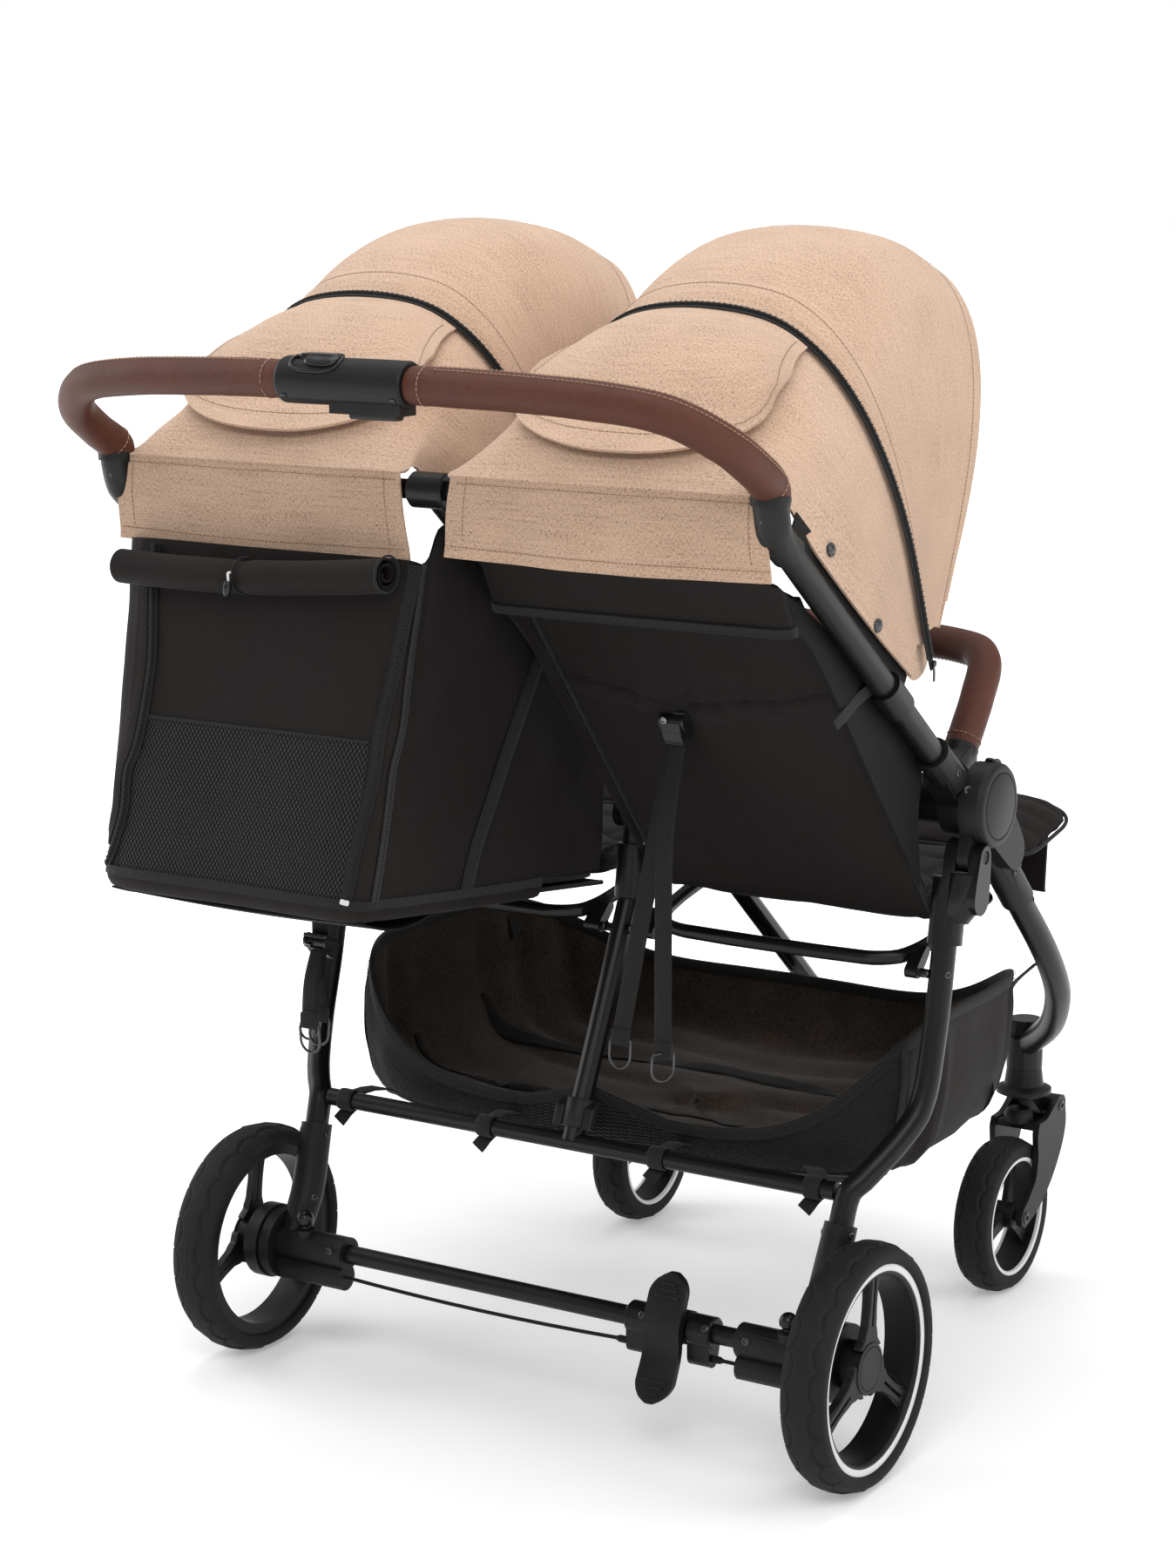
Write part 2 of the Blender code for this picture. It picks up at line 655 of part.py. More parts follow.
def front_leg_centre():
    """Centre front leg with the cross tube to both leg sockets and the centre hinge cheeks."""
    foot = (0, FRONT_CROSS_Y, FRONT_CROSS_Z)
    knee = (0, *polar(FRONT_ANGLE - 2, 0.036))
    leg = place("front_leg_centre", sweep([knee, foot], CENTRE_TUBE_R), METAL)
    cross = [(CASTER_X - LEG_SOCKET_R - 0.0030, CASTER_Y, FRONT_CROSS_Z),
             (CASTER_X - LEG_SOCKET_R - 0.016, CASTER_Y + 0.006, FRONT_CROSS_Z),
             (0.150, FRONT_CROSS_Y, FRONT_CROSS_Z)]
    path = cross + [(-x, y, z) for x, y, z in reversed(cross)]
    cheeks = []
    for sign in (1, -1):
        low, high = sorted((sign * 0.0114, sign * 0.0180))
        cheeks.append(extrude_outline(lens((HINGE_Y, HINGE_Z), 0.020, (PIVOT_Y, PIVOT_Z), 0.014), low, high))
        cheeks.append(extrude_outline(lens((HINGE_Y, HINGE_Z), 0.018, polar(FRONT_ANGLE - 2, 0.056), 0.010),
                                      low, high))
    reach = SEAT_INNER_X - SEAT_TUBE_R - CLEAR
    seat_lug = lens(polar(FRONT_ANGLE - 2, 0.130), 0.0095, (SEAT_FRONT_Y, SEAT_FRONT_Z), 0.0070)
    knuckle = [(0, *polar(FRONT_ANGLE - 2, 0.041)), (0, *polar(FRONT_ANGLE - 2, 0.066))]
    fuse(leg, sweep(path, FRONT_CROSS_R, 10), sweep(knuckle, 0.0150, 12), *cheeks,
         extrude_outline(seat_lug, -0.0080, 0.0080),
         disc((-reach, SEAT_FRONT_Y, SEAT_FRONT_Z), (1, 0, 0), 0.0055, 2 * reach, 8),
         disc((-0.013, HINGE_Y, HINGE_Z), (1, 0, 0), PIN_R, 0.026, 10),
         disc((-0.013, PIVOT_Y, PIVOT_Z), (1, 0, 0), PIN_R - 0.001, 0.026, 10))
    return leg


# Rear legs

def rear_leg_path():
    """Middle line of the left rear leg's tube, from below the sleeve to its foot."""
    bends = [(SIDE_X, -0.1500, 0.440), (0.3515, -0.1360, 0.380), (0.3480, -0.1170, 0.330),
             (0.3260, -0.0780, 0.287), (LOW_BAR_X, LOW_BAR_Y, LOW_BAR_Z)]
    return [*smooth_path(bends, 2), Vector((LEG_FOOT_X, LEG_FOOT_Y, LEG_FOOT_Z)),
            Vector((LEG_FOOT_X - 0.0013, LEG_FOOT_Y + 0.0070, 0.2140))]


def rear_leg(sign):
    """Side rear leg: clevis and sleeve of plastic, tube bent in to the wheel housing."""
    down = math.degrees(math.atan2(0.489 - PIVOT_Z, -0.159 - PIVOT_Y))
    def at(distance, x=SIDE_X):
        return (x, *polar(down, distance, PIVOT_Y, PIVOT_Z))
    path = [at(0.060), at(REAR_SLEEVE_LENGTH), *rear_leg_path()]
    leg = place(side_name("rear_leg", sign), sweep(mirrored(sign, path), REAR_TUBE_R), METAL,
                (sign * SIDE_X, PIVOT_Y, PIVOT_Z))
    block_end = polar(down, 0.040, PIVOT_Y, PIVOT_Z)
    inner = extrude_outline(lens((PIVOT_Y, PIVOT_Z), LUG_R, block_end, 0.0155),
                            *sorted((sign * EAR_INNER_X, sign * (CAP_INNER_X - CLEAR))))
    outer = extrude_outline(lens((PIVOT_Y, PIVOT_Z), OUTER_EAR_R, block_end, 0.0155),
                            *sorted((sign * (LUG_OUTER_X + CLEAR), sign * EAR_OUTER_X)))
    block = sweep([(sign * 0.3670, *polar(down, 0.0175, PIVOT_Y, PIVOT_Z)),
                   (sign * 0.3670, *polar(down, 0.044, PIVOT_Y, PIVOT_Z)),
                   (sign * 0.3600, *polar(down, 0.058, PIVOT_Y, PIVOT_Z))],
                  [0.0186, 0.0186, 0.0150], 12)
    sleeve = sweep(mirrored(sign, [at(0.022), at(REAR_SLEEVE_LENGTH)]), SLEEVE_R, 12)
    low = (sign * (SIDE_X - 0.010), -0.1476, 0.4594)
    stud = disc(low, (-sign, 0, 0), 0.0045, 0.0095, 8)
    fuse(leg, sleeve, block, inner, outer, stud)
    cut(leg,
        bore((sign * 0.34, PIVOT_Y, PIVOT_Z), (sign, 0, 0), PIN_R, 0.06),
        bore((sign * (CAP_INNER_X - CLEAR), PIVOT_Y, PIVOT_Z), (sign, 0, 0), LUG_R,
             LUG_OUTER_X - CAP_INNER_X + 2 * CLEAR, 20))
    return leg


def rear_leg_centre():
    """Centre rear leg with its sleeve, welded to the crossbar between the side legs."""
    down = math.degrees(math.atan2(0.489 - PIVOT_Z, -0.1636 - PIVOT_Y))
    top = (0, *polar(down, 0.010, PIVOT_Y, PIVOT_Z))
    sleeve_end = (0, -0.1636, 0.489)
    foot = (0, LOW_BAR_Y, LOW_BAR_Z)
    leg = place("rear_leg_centre", sweep([top, sleeve_end, foot], CENTRE_TUBE_R), METAL,
                (0, PIVOT_Y, PIVOT_Z))
    bore_gap = LOW_BAR_X - REAR_TUBE_R - 0.0012
    sleeve = [(0, *polar(down, 0.030, PIVOT_Y, PIVOT_Z)), sleeve_end]
    fuse(leg,
         sweep(sleeve, 0.0152, 12),
         disc((-bore_gap, LOW_BAR_Y, LOW_BAR_Z), (1, 0, 0), LOW_BAR_R, 2 * bore_gap, 10),
         disc((-0.0099, PIVOT_Y, PIVOT_Z), (1, 0, 0), 0.0135, 0.0198),
         disc((-0.0215, -0.1476, 0.4594), (1, 0, 0), 0.0045, 0.0430, 8))
    cut(leg, box(0.0100, 0.03, -0.22, -0.13, 0.552, 0.62), box(-0.03, -0.0100, -0.22, -0.13, 0.552, 0.62),
        bore((-0.03, PIVOT_Y, PIVOT_Z), (1, 0, 0), PIN_R - 0.001, 0.06))
    return leg


# Rear axle, wheel housings and brake

def rear_axle():
    """Axle tube with the two clamps that carry the brake pedal and the cable ends."""
    reach = HOUSING_INNER_X + 0.022
    centre = (AXLE_TUBE_Y, AXLE_TUBE_Z)
    axle = place("rear_axle", disc((-reach, *centre), (1, 0, 0), AXLE_TUBE_R, 2 * reach, 12), METAL)
    shapes = []
    for low in (PEDAL_X - PEDAL_WIDTH / 2 - CLAMP_WIDTH, PEDAL_X + PEDAL_WIDTH / 2):
        shapes.append(disc((low, *centre), (1, 0, 0), CLAMP_R, CLAMP_WIDTH, 16, 0.0015))
        lobe = lens(centre, 0.0120, (AXLE_TUBE_Y + 0.003, CABLE_Z), 0.0088)
        shapes.append(extrude_outline(lobe, low + 0.001, low + CLAMP_WIDTH - 0.001))
    fuse(axle, *shapes)
    return axle


def pedal_face(z):
    """Y of the pedal's rear face at a height; the treads lean in opposite ways."""
    lean = (z - AXLE_TUBE_Z) / 0.06
    return AXLE_TUBE_Y + 0.0240 + 0.004 * lean - 0.006 * lean * abs(lean)


def brake_pedal():
    """See-saw pedal on the axle tube: two treads, one up and one down."""
    half = PEDAL_WIDTH / 2 - 0.0006
    top = PEDAL_TOP_Z - half
    bottom = PEDAL_BOTTOM_Z + half
    tread = []
    for k in range(5):
        turn = math.radians(8 + 82 * (k / 4))
        tread.append((half * math.cos(turn), half * math.sin(turn)))
    rows = [(w, bottom - rise) for w, rise in reversed(tread)]
    rows.append((half * 0.95, (top + bottom) / 2))
    rows += [(w, top + rise) for w, rise in tread]
    bm = bmesh.new()
    rings = []
    for w, z in rows:
        w = max(w, 0.0040)
        y = pedal_face(z)
        rings.append([bm.verts.new((PEDAL_X + x, depth, z))
                      for x, depth in ((-w, y), (w, y), (w, y - PEDAL_THICK), (-w, y - PEDAL_THICK))])
    for near, far in zip(rings, rings[1:]):
        for k in range(4):
            bm.faces.new((near[k], near[(k + 1) % 4], far[(k + 1) % 4], far[k]))
    bm.faces.new(rings[0])
    bm.faces.new(rings[-1])
    pedal = place("brake_pedal", bm, PLASTIC, (PEDAL_X, AXLE_TUBE_Y, AXLE_TUBE_Z))
    ribs = []
    for sign, height in ((1, top), (-1, bottom)):
        for count in range(3):
            z = height + sign * (0.001 + 0.0055 * count)
            face = pedal_face(z)
            reach = 0.0135 - 0.0032 * count
            ribs.append(box(PEDAL_X - reach, PEDAL_X + reach, face - 0.003, face + 0.0011,
                            z - 0.0012, z + 0.0012))
    hub = disc((PEDAL_X - half + 0.001, AXLE_TUBE_Y, AXLE_TUBE_Z), (1, 0, 0), 0.0158, 2 * half - 0.002)
    web = box(PEDAL_X - half + 0.003, PEDAL_X + half - 0.003, AXLE_TUBE_Y + 0.006, AXLE_TUBE_Y + 0.0190,
              AXLE_TUBE_Z - 0.013, AXLE_TUBE_Z + 0.013)
    fuse(pedal, hub, web, *ribs)
    cut(pedal, bore((PEDAL_X - 0.05, AXLE_TUBE_Y, AXLE_TUBE_Z), (1, 0, 0), AXLE_TUBE_R, 0.1, 12))
    return pedal


def brake_cable(sign):
    """Cable from a pedal clamp to the wheel housing, with the ferrule at the clamp."""
    clamp_left = PEDAL_X + PEDAL_WIDTH / 2 + CLAMP_WIDTH - 0.001
    clamp_right = PEDAL_X - PEDAL_WIDTH / 2 - CLAMP_WIDTH + 0.001
    y = AXLE_TUBE_Y + 0.003
    if sign > 0:
        start, end, ferrule, sag = clamp_left + CLEAR, HOUSING_INNER_X - CLEAR, 0.016, 0.0035
    else:
        start, end, ferrule, sag = clamp_right - CLEAR, -HOUSING_INNER_X + CLEAR, 0.011, 0.0
    path = []
    radii = []
    ferrule_end = start + sign * ferrule
    for x, r in ((start, FERRULE_R), (ferrule_end - sign * 0.004, FERRULE_R), (ferrule_end, CABLE_R)):
        path.append((x, y, CABLE_Z))
        radii.append(r)
    steps = 8 if sign > 0 else 2
    for k in range(1, steps + 1):
        t = k / steps
        path.append((ferrule_end + (end - ferrule_end) * t, y, CABLE_Z - sag * 4 * t * (1 - t)))
        radii.append(CABLE_R)
    return place(side_name("brake_cable", sign), sweep(path, radii, 8), PLASTIC)


def wheel_housing(sign):
    """Housing at the axle's end: leg sleeve, axle socket, cable lobe, flange and knob post."""
    inner = sign * HOUSING_INNER_X
    length = HOUSING_OUTER_X - HOUSING_INNER_X
    housing = place(side_name("wheel_housing", sign),
                    disc((inner, AXLE_TUBE_Y, AXLE_TUBE_Z), (sign, 0, 0), BOSS_R, length), PLASTIC)
    lobe = disc((inner + sign * 0.0008, AXLE_TUBE_Y + 0.003, CABLE_Z), (sign, 0, 0), LOBE_R, length, 12)
    foot_x = sign * (LEG_FOOT_X - 0.004)
    sleeve = sweep([(sign * LEG_FOOT_X, LEG_FOOT_Y, LEG_FOOT_Z),
                    (sign * (LEG_FOOT_X - 0.0013), LEG_FOOT_Y + 0.0070, 0.2140),
                    (foot_x, -0.0235, AXLE_TUBE_Z + 0.0487), (foot_x, 0.0045, AXLE_TUBE_Z - 0.0013)],
                   [0.0160, 0.0162, 0.0170, 0.0150], 12)
    flange = disc((sign * (HOUSING_OUTER_X - 0.004), 0, REAR_R), (sign, 0, 0), 0.036,
                  FLANGE_OUTER_X - HOUSING_OUTER_X + 0.004, 20)
    post = disc((sign * KNOB_X, KNOB_Y, AXLE_TUBE_Z), (0, 0, 1), 0.0105,
                KNOB_POST_Z - AXLE_TUBE_Z, 12)
    fuse(housing, lobe, sleeve, flange, post)
    pin_y, pin_z = brake_pin_place()
    socket = rear_leg_path()[-3:]
    socket[-1] = socket[-1] + (socket[-1] - socket[-2]).normalized() * CLEAR
    cut(housing,
        sweep(mirrored(sign, socket), (REAR_TUBE_R + CLEAR) / math.cos(math.pi / 12), 12),
        disc((sign * (HOUSING_INNER_X - 0.01), AXLE_TUBE_Y, AXLE_TUBE_Z), (sign, 0, 0), AXLE_TUBE_R + CLEAR,
             0.0323, 12),
        bore((sign * (FLANGE_OUTER_X + 0.01), 0, REAR_R), (-sign, 0, 0), AXLE_PIN_R,
             0.01 + AXLE_PIN_LENGTH + 0.001),
        bore((sign * (FLANGE_OUTER_X + 0.01), pin_y, pin_z), (-sign, 0, 0), BRAKE_PIN_R, 0.032),
        bore((sign * KNOB_X, KNOB_Y, KNOB_BORE_Z), (0, 0, 1), KNOB_STEM_R, 0.04))
    return housing


def brake_pin_place():
    """Where the brake pin runs, on the circle of the wheel's brake crown."""
    step = 2 * math.pi / CROWN_NOTCHES
    turn = math.pi / 2 + step
    return BRAKE_PIN_AT * math.cos(turn), REAR_R + BRAKE_PIN_AT * math.sin(turn)


def brake_pin(sign):
    y, z = brake_pin_place()
    return place(side_name("brake_pin", sign),
                 disc((sign * (FLANGE_OUTER_X - 0.021), y, z), (sign, 0, 0), BRAKE_PIN_R, 0.0212, 8), METAL,
                 (sign * FLANGE_OUTER_X, y, z))


def wheel_button(sign):
    """Knob that frees the rear wheel when it is pressed."""
    foot = KNOB_BORE_Z + KNOB_TRAVEL + 0.0005
    top = KNOB_POST_Z + KNOB_TRAVEL + 0.0005
    profile = [(0, 0), (0, KNOB_STEM_R), (top - foot, KNOB_STEM_R)]
    centre_z = top + 0.0068 - foot
    for k in range(1, 5):
        turn = -math.pi / 2 + 0.55 + (math.pi - 0.55) * k / 4
        profile.append((centre_z + KNOB_R * math.sin(turn), KNOB_R * math.cos(turn)))
    profile[-1] = (centre_z + KNOB_R, 0)
    return place(side_name("wheel_button", sign),
                 turn_profile(profile, (sign * KNOB_X, KNOB_Y, foot), (0, 0, 1), 12), PLASTIC,
                 (sign * KNOB_X, KNOB_Y, top))


# Wheels

def spoke_outline(angle, inner_r, outer_r, root, waist, tip, steps=4):
    """Outline of one spoke: wide at the hub, narrow in the middle, wide at the rim."""
    turn = math.radians(angle)
    sides = ([], [])
    for k in range(steps + 1):
        t = k / steps
        radius = inner_r + (outer_r - inner_r) * t
        half = waist + (root - waist) * (1 - t) ** 3 + (tip - waist) * t ** 3
        for side, row in zip((1, -1), sides):
            row.append((radius * math.cos(turn) - side * half * math.sin(turn),
                        radius * math.sin(turn) + side * half * math.cos(turn)))
    return sides[0] + sides[1][::-1]


def spoked_rim(name, sign, centre, outer_r, inner_r, width, hub_r, hub_low, spoke_low, spoke_high,
               hub_high, first_angle, segments, slot):
    """Rim barrel, hub and spokes, each spoke with one long slot."""
    half = width / 2
    barrel = [(-half, outer_r), (-half, inner_r), (half - 0.003, inner_r), (half, inner_r + 0.0025),
              (half, outer_r)]
    rim = place(name, turn_profile(barrel, centre, (sign, 0, 0), segments), PLASTIC, centre)
    x, y, z = centre
    shapes = [disc((x + sign * hub_low, y, z), (sign, 0, 0), hub_r, hub_high - hub_low, 20)]
    slots = []
    for k in range(SPOKES):
        angle = first_angle + 360 * k / SPOKES
        outline = spoke_outline(angle, hub_r * 0.7, inner_r + 0.003, hub_r * 0.52, hub_r * 0.27, hub_r * 0.50)
        low, high = sorted((x + sign * spoke_low, x + sign * spoke_high))
        shapes.append(extrude_outline([(y + a, z + b) for a, b in outline], low, high))
        turn = math.radians(angle)
        ends = [(y + r * math.cos(turn), z + r * math.sin(turn)) for r in (hub_r + 0.012, inner_r - 0.005)]
        slots.append(extrude_outline(lens(ends[0], slot / 2, ends[1], slot / 2, 1), low - 0.001, high + 0.001))
    fuse(rim, *shapes)
    cut(rim, *slots)
    return rim


def tyre(name, sign, centre, outer_r, inner_r, width, segments):
    """Foam tyre with a flat tread between rounded shoulders, one facet on the floor."""
    half = width / 2
    step = math.pi / segments
    outer_r = outer_r / math.cos(step)
    profile = [(-half + 0.002, inner_r), (-half, outer_r - TREAD_EDGE), (-half + TREAD_EDGE, outer_r),
               (half - TREAD_EDGE, outer_r), (half, outer_r - TREAD_EDGE), (half - 0.002, inner_r)]
    return place(name, turn_profile(profile, centre, (sign, 0, 0), segments, step), TYRE, centre)


def rear_wheel(sign):
    centre = (sign * WHEEL_X, 0, REAR_R)
    rim = spoked_rim(side_name("rear_rim", sign), sign, centre, RIM_R, RIM_INNER_R, RIM_WIDTH, HUB_R,
                     -0.0150, 0.0030, 0.0105, 0.0125, 97.0, RIM_SEGMENTS, SPOKE_SLOT)
    inner_x = sign * (FLANGE_OUTER_X + CROWN_GAP)
    crown = disc((inner_x, 0, REAR_R), (sign, 0, 0), CROWN_R, CROWN_WIDTH)
    axle_pin = disc((sign * (WHEEL_X - 0.010), 0, REAR_R), (-sign, 0, 0), AXLE_PIN_R,
                    WHEEL_X - 0.010 - FLANGE_OUTER_X + AXLE_PIN_LENGTH, 10)
    fuse(rim, crown, axle_pin)
    notches = []
    for k in range(CROWN_NOTCHES):
        turn = 2 * math.pi * k / CROWN_NOTCHES
        y = BRAKE_PIN_AT * math.cos(turn)
        z = REAR_R + BRAKE_PIN_AT * math.sin(turn)
        notches.append(disc((inner_x - sign * 0.002, y, z), (sign, 0, 0), BRAKE_PIN_R + 0.0018,
                            NOTCH_DEPTH + 0.002, 5))
    cut(rim, *notches)
    seat_r = (RIM_R + CLEAR) / math.cos(math.pi / RIM_SEGMENTS)
    tyre(side_name("rear_tyre", sign), sign, centre, REAR_R, seat_r, REAR_TYRE_WIDTH, RIM_SEGMENTS)
    return rim


def front_wheel(sign):
    """Small wheel: spoked rim with its tyre bonded on."""
    centre = (sign * CASTER_X, FRONT_WHEEL_Y, FRONT_R)
    wheel = tyre(side_name("front_wheel", sign), sign, centre, FRONT_R, 0.0610, FRONT_WIDTH, 32)
    x, y, z = centre
    shapes = [disc((x - sign * 0.0180, y, z), (sign, 0, 0), 0.0140, 0.0360)]
    for k in range(SPOKES):
        outline = spoke_outline(101 + 360 * k / SPOKES, 0.0100, 0.0640, 0.0085, 0.0048, 0.0085)
        low, high = sorted((x + sign * 0.0020, x + sign * 0.0085))
        shapes.append(extrude_outline([(y + a, z + b) for a, b in outline], low, high))
    fuse(wheel, *shapes)
    cut(wheel, bore((x - 0.03, y, z), (1, 0, 0), FRONT_AXLE_R, 0.06))
    return wheel


# Swivel crown and sprung fork of the front wheels

def caster(sign):
    """Swivel crown: spindle, flange, and the arm that carries the fork's pivot in front."""
    x = sign * CASTER_X
    neck = LEG_SOCKET_BOTTOM - CROWN_Z - 0.0005
    profile = [(0, 0), (0, 0.0215), (0.0035, 0.0300), (0.0080, 0.0300), (0.0120, 0.0215), (neck, 0.0190),
               (neck, SPINDLE_R), (neck + 0.0245, SPINDLE_R), (neck + 0.0245, 0)]
    crown = place(side_name("caster", sign),
                  turn_profile(profile, (x, CASTER_Y, CROWN_Z), (0, 0, 1), 16), PLASTIC,
                  (x, CASTER_Y, CROWN_Z))
    arm = lens((CASTER_Y - 0.006, CROWN_Z + 0.002), 0.0085, (FORK_PIVOT_Y, FORK_PIVOT_Z), FORK_BOSS_R)
    web = extrude_outline(arm, x - 0.0095, x + 0.0095)
    pin = disc((x - 0.0175, FORK_PIVOT_Y, FORK_PIVOT_Z), (1, 0, 0), FRONT_AXLE_R, 0.0350, 10)
    fuse(crown, web, pin)
    return crown


def fork(sign):
    """Sprung fork: two cheeks from the pivot to the axle, a bridge and the spring cover."""
    x = sign * CASTER_X
    inner = FRONT_WIDTH / 2 + 0.0022
    outer = inner + FORK_CHEEK
    pivot = (FORK_PIVOT_Y, FORK_PIVOT_Z)
    axle = (FRONT_WHEEL_Y, FRONT_R)
    outline = fork_outline(pivot, axle)
    cheek = extrude_outline(outline, *sorted((x + inner, x + outer)))
    body = place(side_name("fork", sign), cheek, PLASTIC, (x, FORK_PIVOT_Y, FORK_PIVOT_Z))
    other = extrude_outline(outline, *sorted((x - inner, x - outer)))
    axle_pin = disc((x - outer + 0.001, *axle), (1, 0, 0), FRONT_AXLE_R, 2 * outer - 0.002, 10)
    shapes = [other, axle_pin]
    for side in (1, -1):
        low = x + side * 0.0100
        shapes.append(disc((low, *pivot), (side, 0, 0), FORK_BOSS_R - 0.0005, outer - 0.0105))
    bridge = [(x - outer + 0.002, -0.6520, 0.1710), (x + outer - 0.002, -0.6520, 0.1710)]
    shapes.append(sweep([bridge[0], bridge[1]], 0.0052, 10))
    spring = [(0, 0), (0, 0.0120), (0.005, 0.0160), (0.014, 0.0155), (0.0190, 0.0115), (0.0190, 0)]
    shapes.append(turn_profile(spring, (x, -0.6060, 0.1745), (0, 0, 1), 12))
    shapes.append(box(x - outer + 0.001, x + outer - 0.001, -0.6140, -0.5980, 0.1725, 0.1800))
    fuse(body, *shapes)
    cut(body, bore((x - 0.05, *pivot), (1, 0, 0), FRONT_AXLE_R, 0.1))
    return body


def fork_outline(pivot, axle):
    """Side view of a fork cheek: round boss at the pivot, arched shoulder, slim foot."""
    front = [(-0.6640, 0.1860), (-0.6660, 0.1650), (-0.6560, 0.1400), (-0.6300, 0.1080), (-0.6000, 0.0860)]
    foot = []
    for k in range(5):
        turn = math.radians(225 + 200 * k / 4)
        foot.append((axle[0] + 0.0115 * math.cos(turn), axle[1] + 0.0115 * math.sin(turn)))
    back = [(-0.5900, 0.1180), (-0.5960, 0.1450), (-0.5940, 0.1700), (-0.5980, 0.1815), (-0.6180, 0.1830)]
    crown = []
    for k in range(4):
        turn = math.radians(40 + 120 * k / 3)
        crown.append((pivot[0] + FORK_BOSS_R * math.cos(turn), pivot[1] + FORK_BOSS_R * math.sin(turn)))
    return front + foot + back + crown


# Handlebar

def handle_path(start_x):
    """Middle line of the handlebar on the left, from a bracket to the given X."""
    foot = Vector(bracket_point(2 * CLEAR))
    points = [bracket_point(0.012), (SIDE_X + 0.0010, 0.2150, BRACKET_TOP_Z + 0.0280),
              (SIDE_X - 0.0080, HANDLE_BACK_Y - 0.0470, HANDLE_TOP_Z - 0.0400),
              (SIDE_X - 0.0440, HANDLE_BACK_Y - 0.0180, HANDLE_TOP_Z - 0.0160),
              (SIDE_X - 0.1070, HANDLE_BACK_Y - 0.0060, HANDLE_TOP_Z - 0.0060),
              (0.1500, HANDLE_BACK_Y - 0.0015, HANDLE_TOP_Z - 0.0015), (start_x, HANDLE_BACK_Y, HANDLE_TOP_Z)]
    return [foot, *smooth_path(points, 2)]


def grip(sign):
    """Leatherette covered bar from the end bracket to the centre housing."""
    path = mirrored(sign, [tuple(p) for p in handle_path(HOUSING_HALF + 2 * CLEAR)])
    return place(side_name("grip", sign), sweep(path, GRIP_R), LEATHER)


def handle_housing():
    """Centre housing of the handlebar, with the slider's recess and the trigger's slot."""
    profile = [(0, 0), (0, HOUSING_R - 0.0015), (0.003, HOUSING_R), (2 * HOUSING_HALF - 0.003, HOUSING_R),
               (2 * HOUSING_HALF, HOUSING_R - 0.0015), (2 * HOUSING_HALF, 0)]
    housing = place("handle_housing", turn_profile(profile, (-HOUSING_HALF, HANDLE_BACK_Y, HANDLE_TOP_Z),
                                                   (1, 0, 0), 16), PLASTIC)
    chin = box(-HOUSING_HALF + 0.004, 0.012, HANDLE_BACK_Y - 0.012, HANDLE_BACK_Y + 0.012,
               HANDLE_TOP_Z - 0.0265, HANDLE_TOP_Z)
    fuse(housing, chin)
    cut(housing, slider_shape(CLEAR, SLIDER_TRAVEL),
        trigger_shape(CLEAR, TRIGGER_TRAVEL))
    return housing


def slider_shape(gap, travel):
    """Slider block on top of the housing, or its recess when a gap is given."""
    x0, x1 = 0.008 - gap, 0.046 + gap + travel
    y0, y1 = HANDLE_BACK_Y - 0.0085 - gap, HANDLE_BACK_Y + 0.0085 + gap
    z0 = HANDLE_TOP_Z + 0.0125 - gap
    z1 = HANDLE_TOP_Z + HOUSING_R + (0.0030 if gap == 0 else 0.01)
    return box(x0, x1, y0, y1, z0, z1)


def trigger_shape(gap, travel):
    """Trigger block under the housing, or its slot when a gap is given."""
    z0 = HANDLE_TOP_Z - 0.0310 - (0.01 if gap else 0.0)
    return box(-0.054 - gap, -0.004 + gap, HANDLE_BACK_Y - 0.0065 - gap, HANDLE_BACK_Y + 0.0065 + gap,
               z0, HANDLE_TOP_Z - 0.0150 + gap + travel)


def fold_slider():
    slider = place("fold_slider", slider_shape(0.0, 0.0), PLASTIC, (0.027, HANDLE_BACK_Y, HANDLE_TOP_Z))
    bevel = slider.modifiers.new("soft_edges", "BEVEL")
    bevel.width = 0.0025
    bevel.segments = 2
    return slider


def fold_trigger():
    trigger = place("fold_trigger", trigger_shape(0.0, 0.0), PLASTIC, (-0.029, HANDLE_BACK_Y, HANDLE_TOP_Z))
    bevel = trigger.modifiers.new("soft_edges", "BEVEL")
    bevel.width = 0.0020
    bevel.segments = 2
    return trigger


# Bumper bar

def bumper_bar():
    """One bar across both seats, turning on the hinge pins at its two hubs."""
    points = [(BUMPER_ARM_X, -0.2560, 0.6550), (BUMPER_ARM_X, -0.2900, 0.7000),
              (0.3080, -0.3230, 0.7330), (0.2700, -0.3430, 0.7420), (0.1600, -0.3560, 0.7450)]
    mirror = [(-x, y, z) for x, y, z in reversed(points)]
    path = smooth_path(points + [(0, -0.3600, 0.7460)] + mirror, 2)
    bar = place("bumper_bar", sweep(path, BUMPER_R), LEATHER, (0, HINGE_Y, HINGE_Z))
    hubs = []
    bores = []
    for sign in (1, -1):
        low, high = sorted((sign * BUMPER_HUB_INNER_X, sign * BUMPER_HUB_OUTER_X))
        hubs.append(extrude_outline(lens((HINGE_Y, HINGE_Z), BUMPER_HUB_R, (-0.2490, 0.6480), 0.0145),
                                    low + 0.0002, high - 0.0002))
        bores.append(bore((low - 0.02, HINGE_Y, HINGE_Z), (1, 0, 0), PIN_R, 0.07))
    fuse(bar, *hubs)
    cut(bar, *bores)
    return bar


# Seats

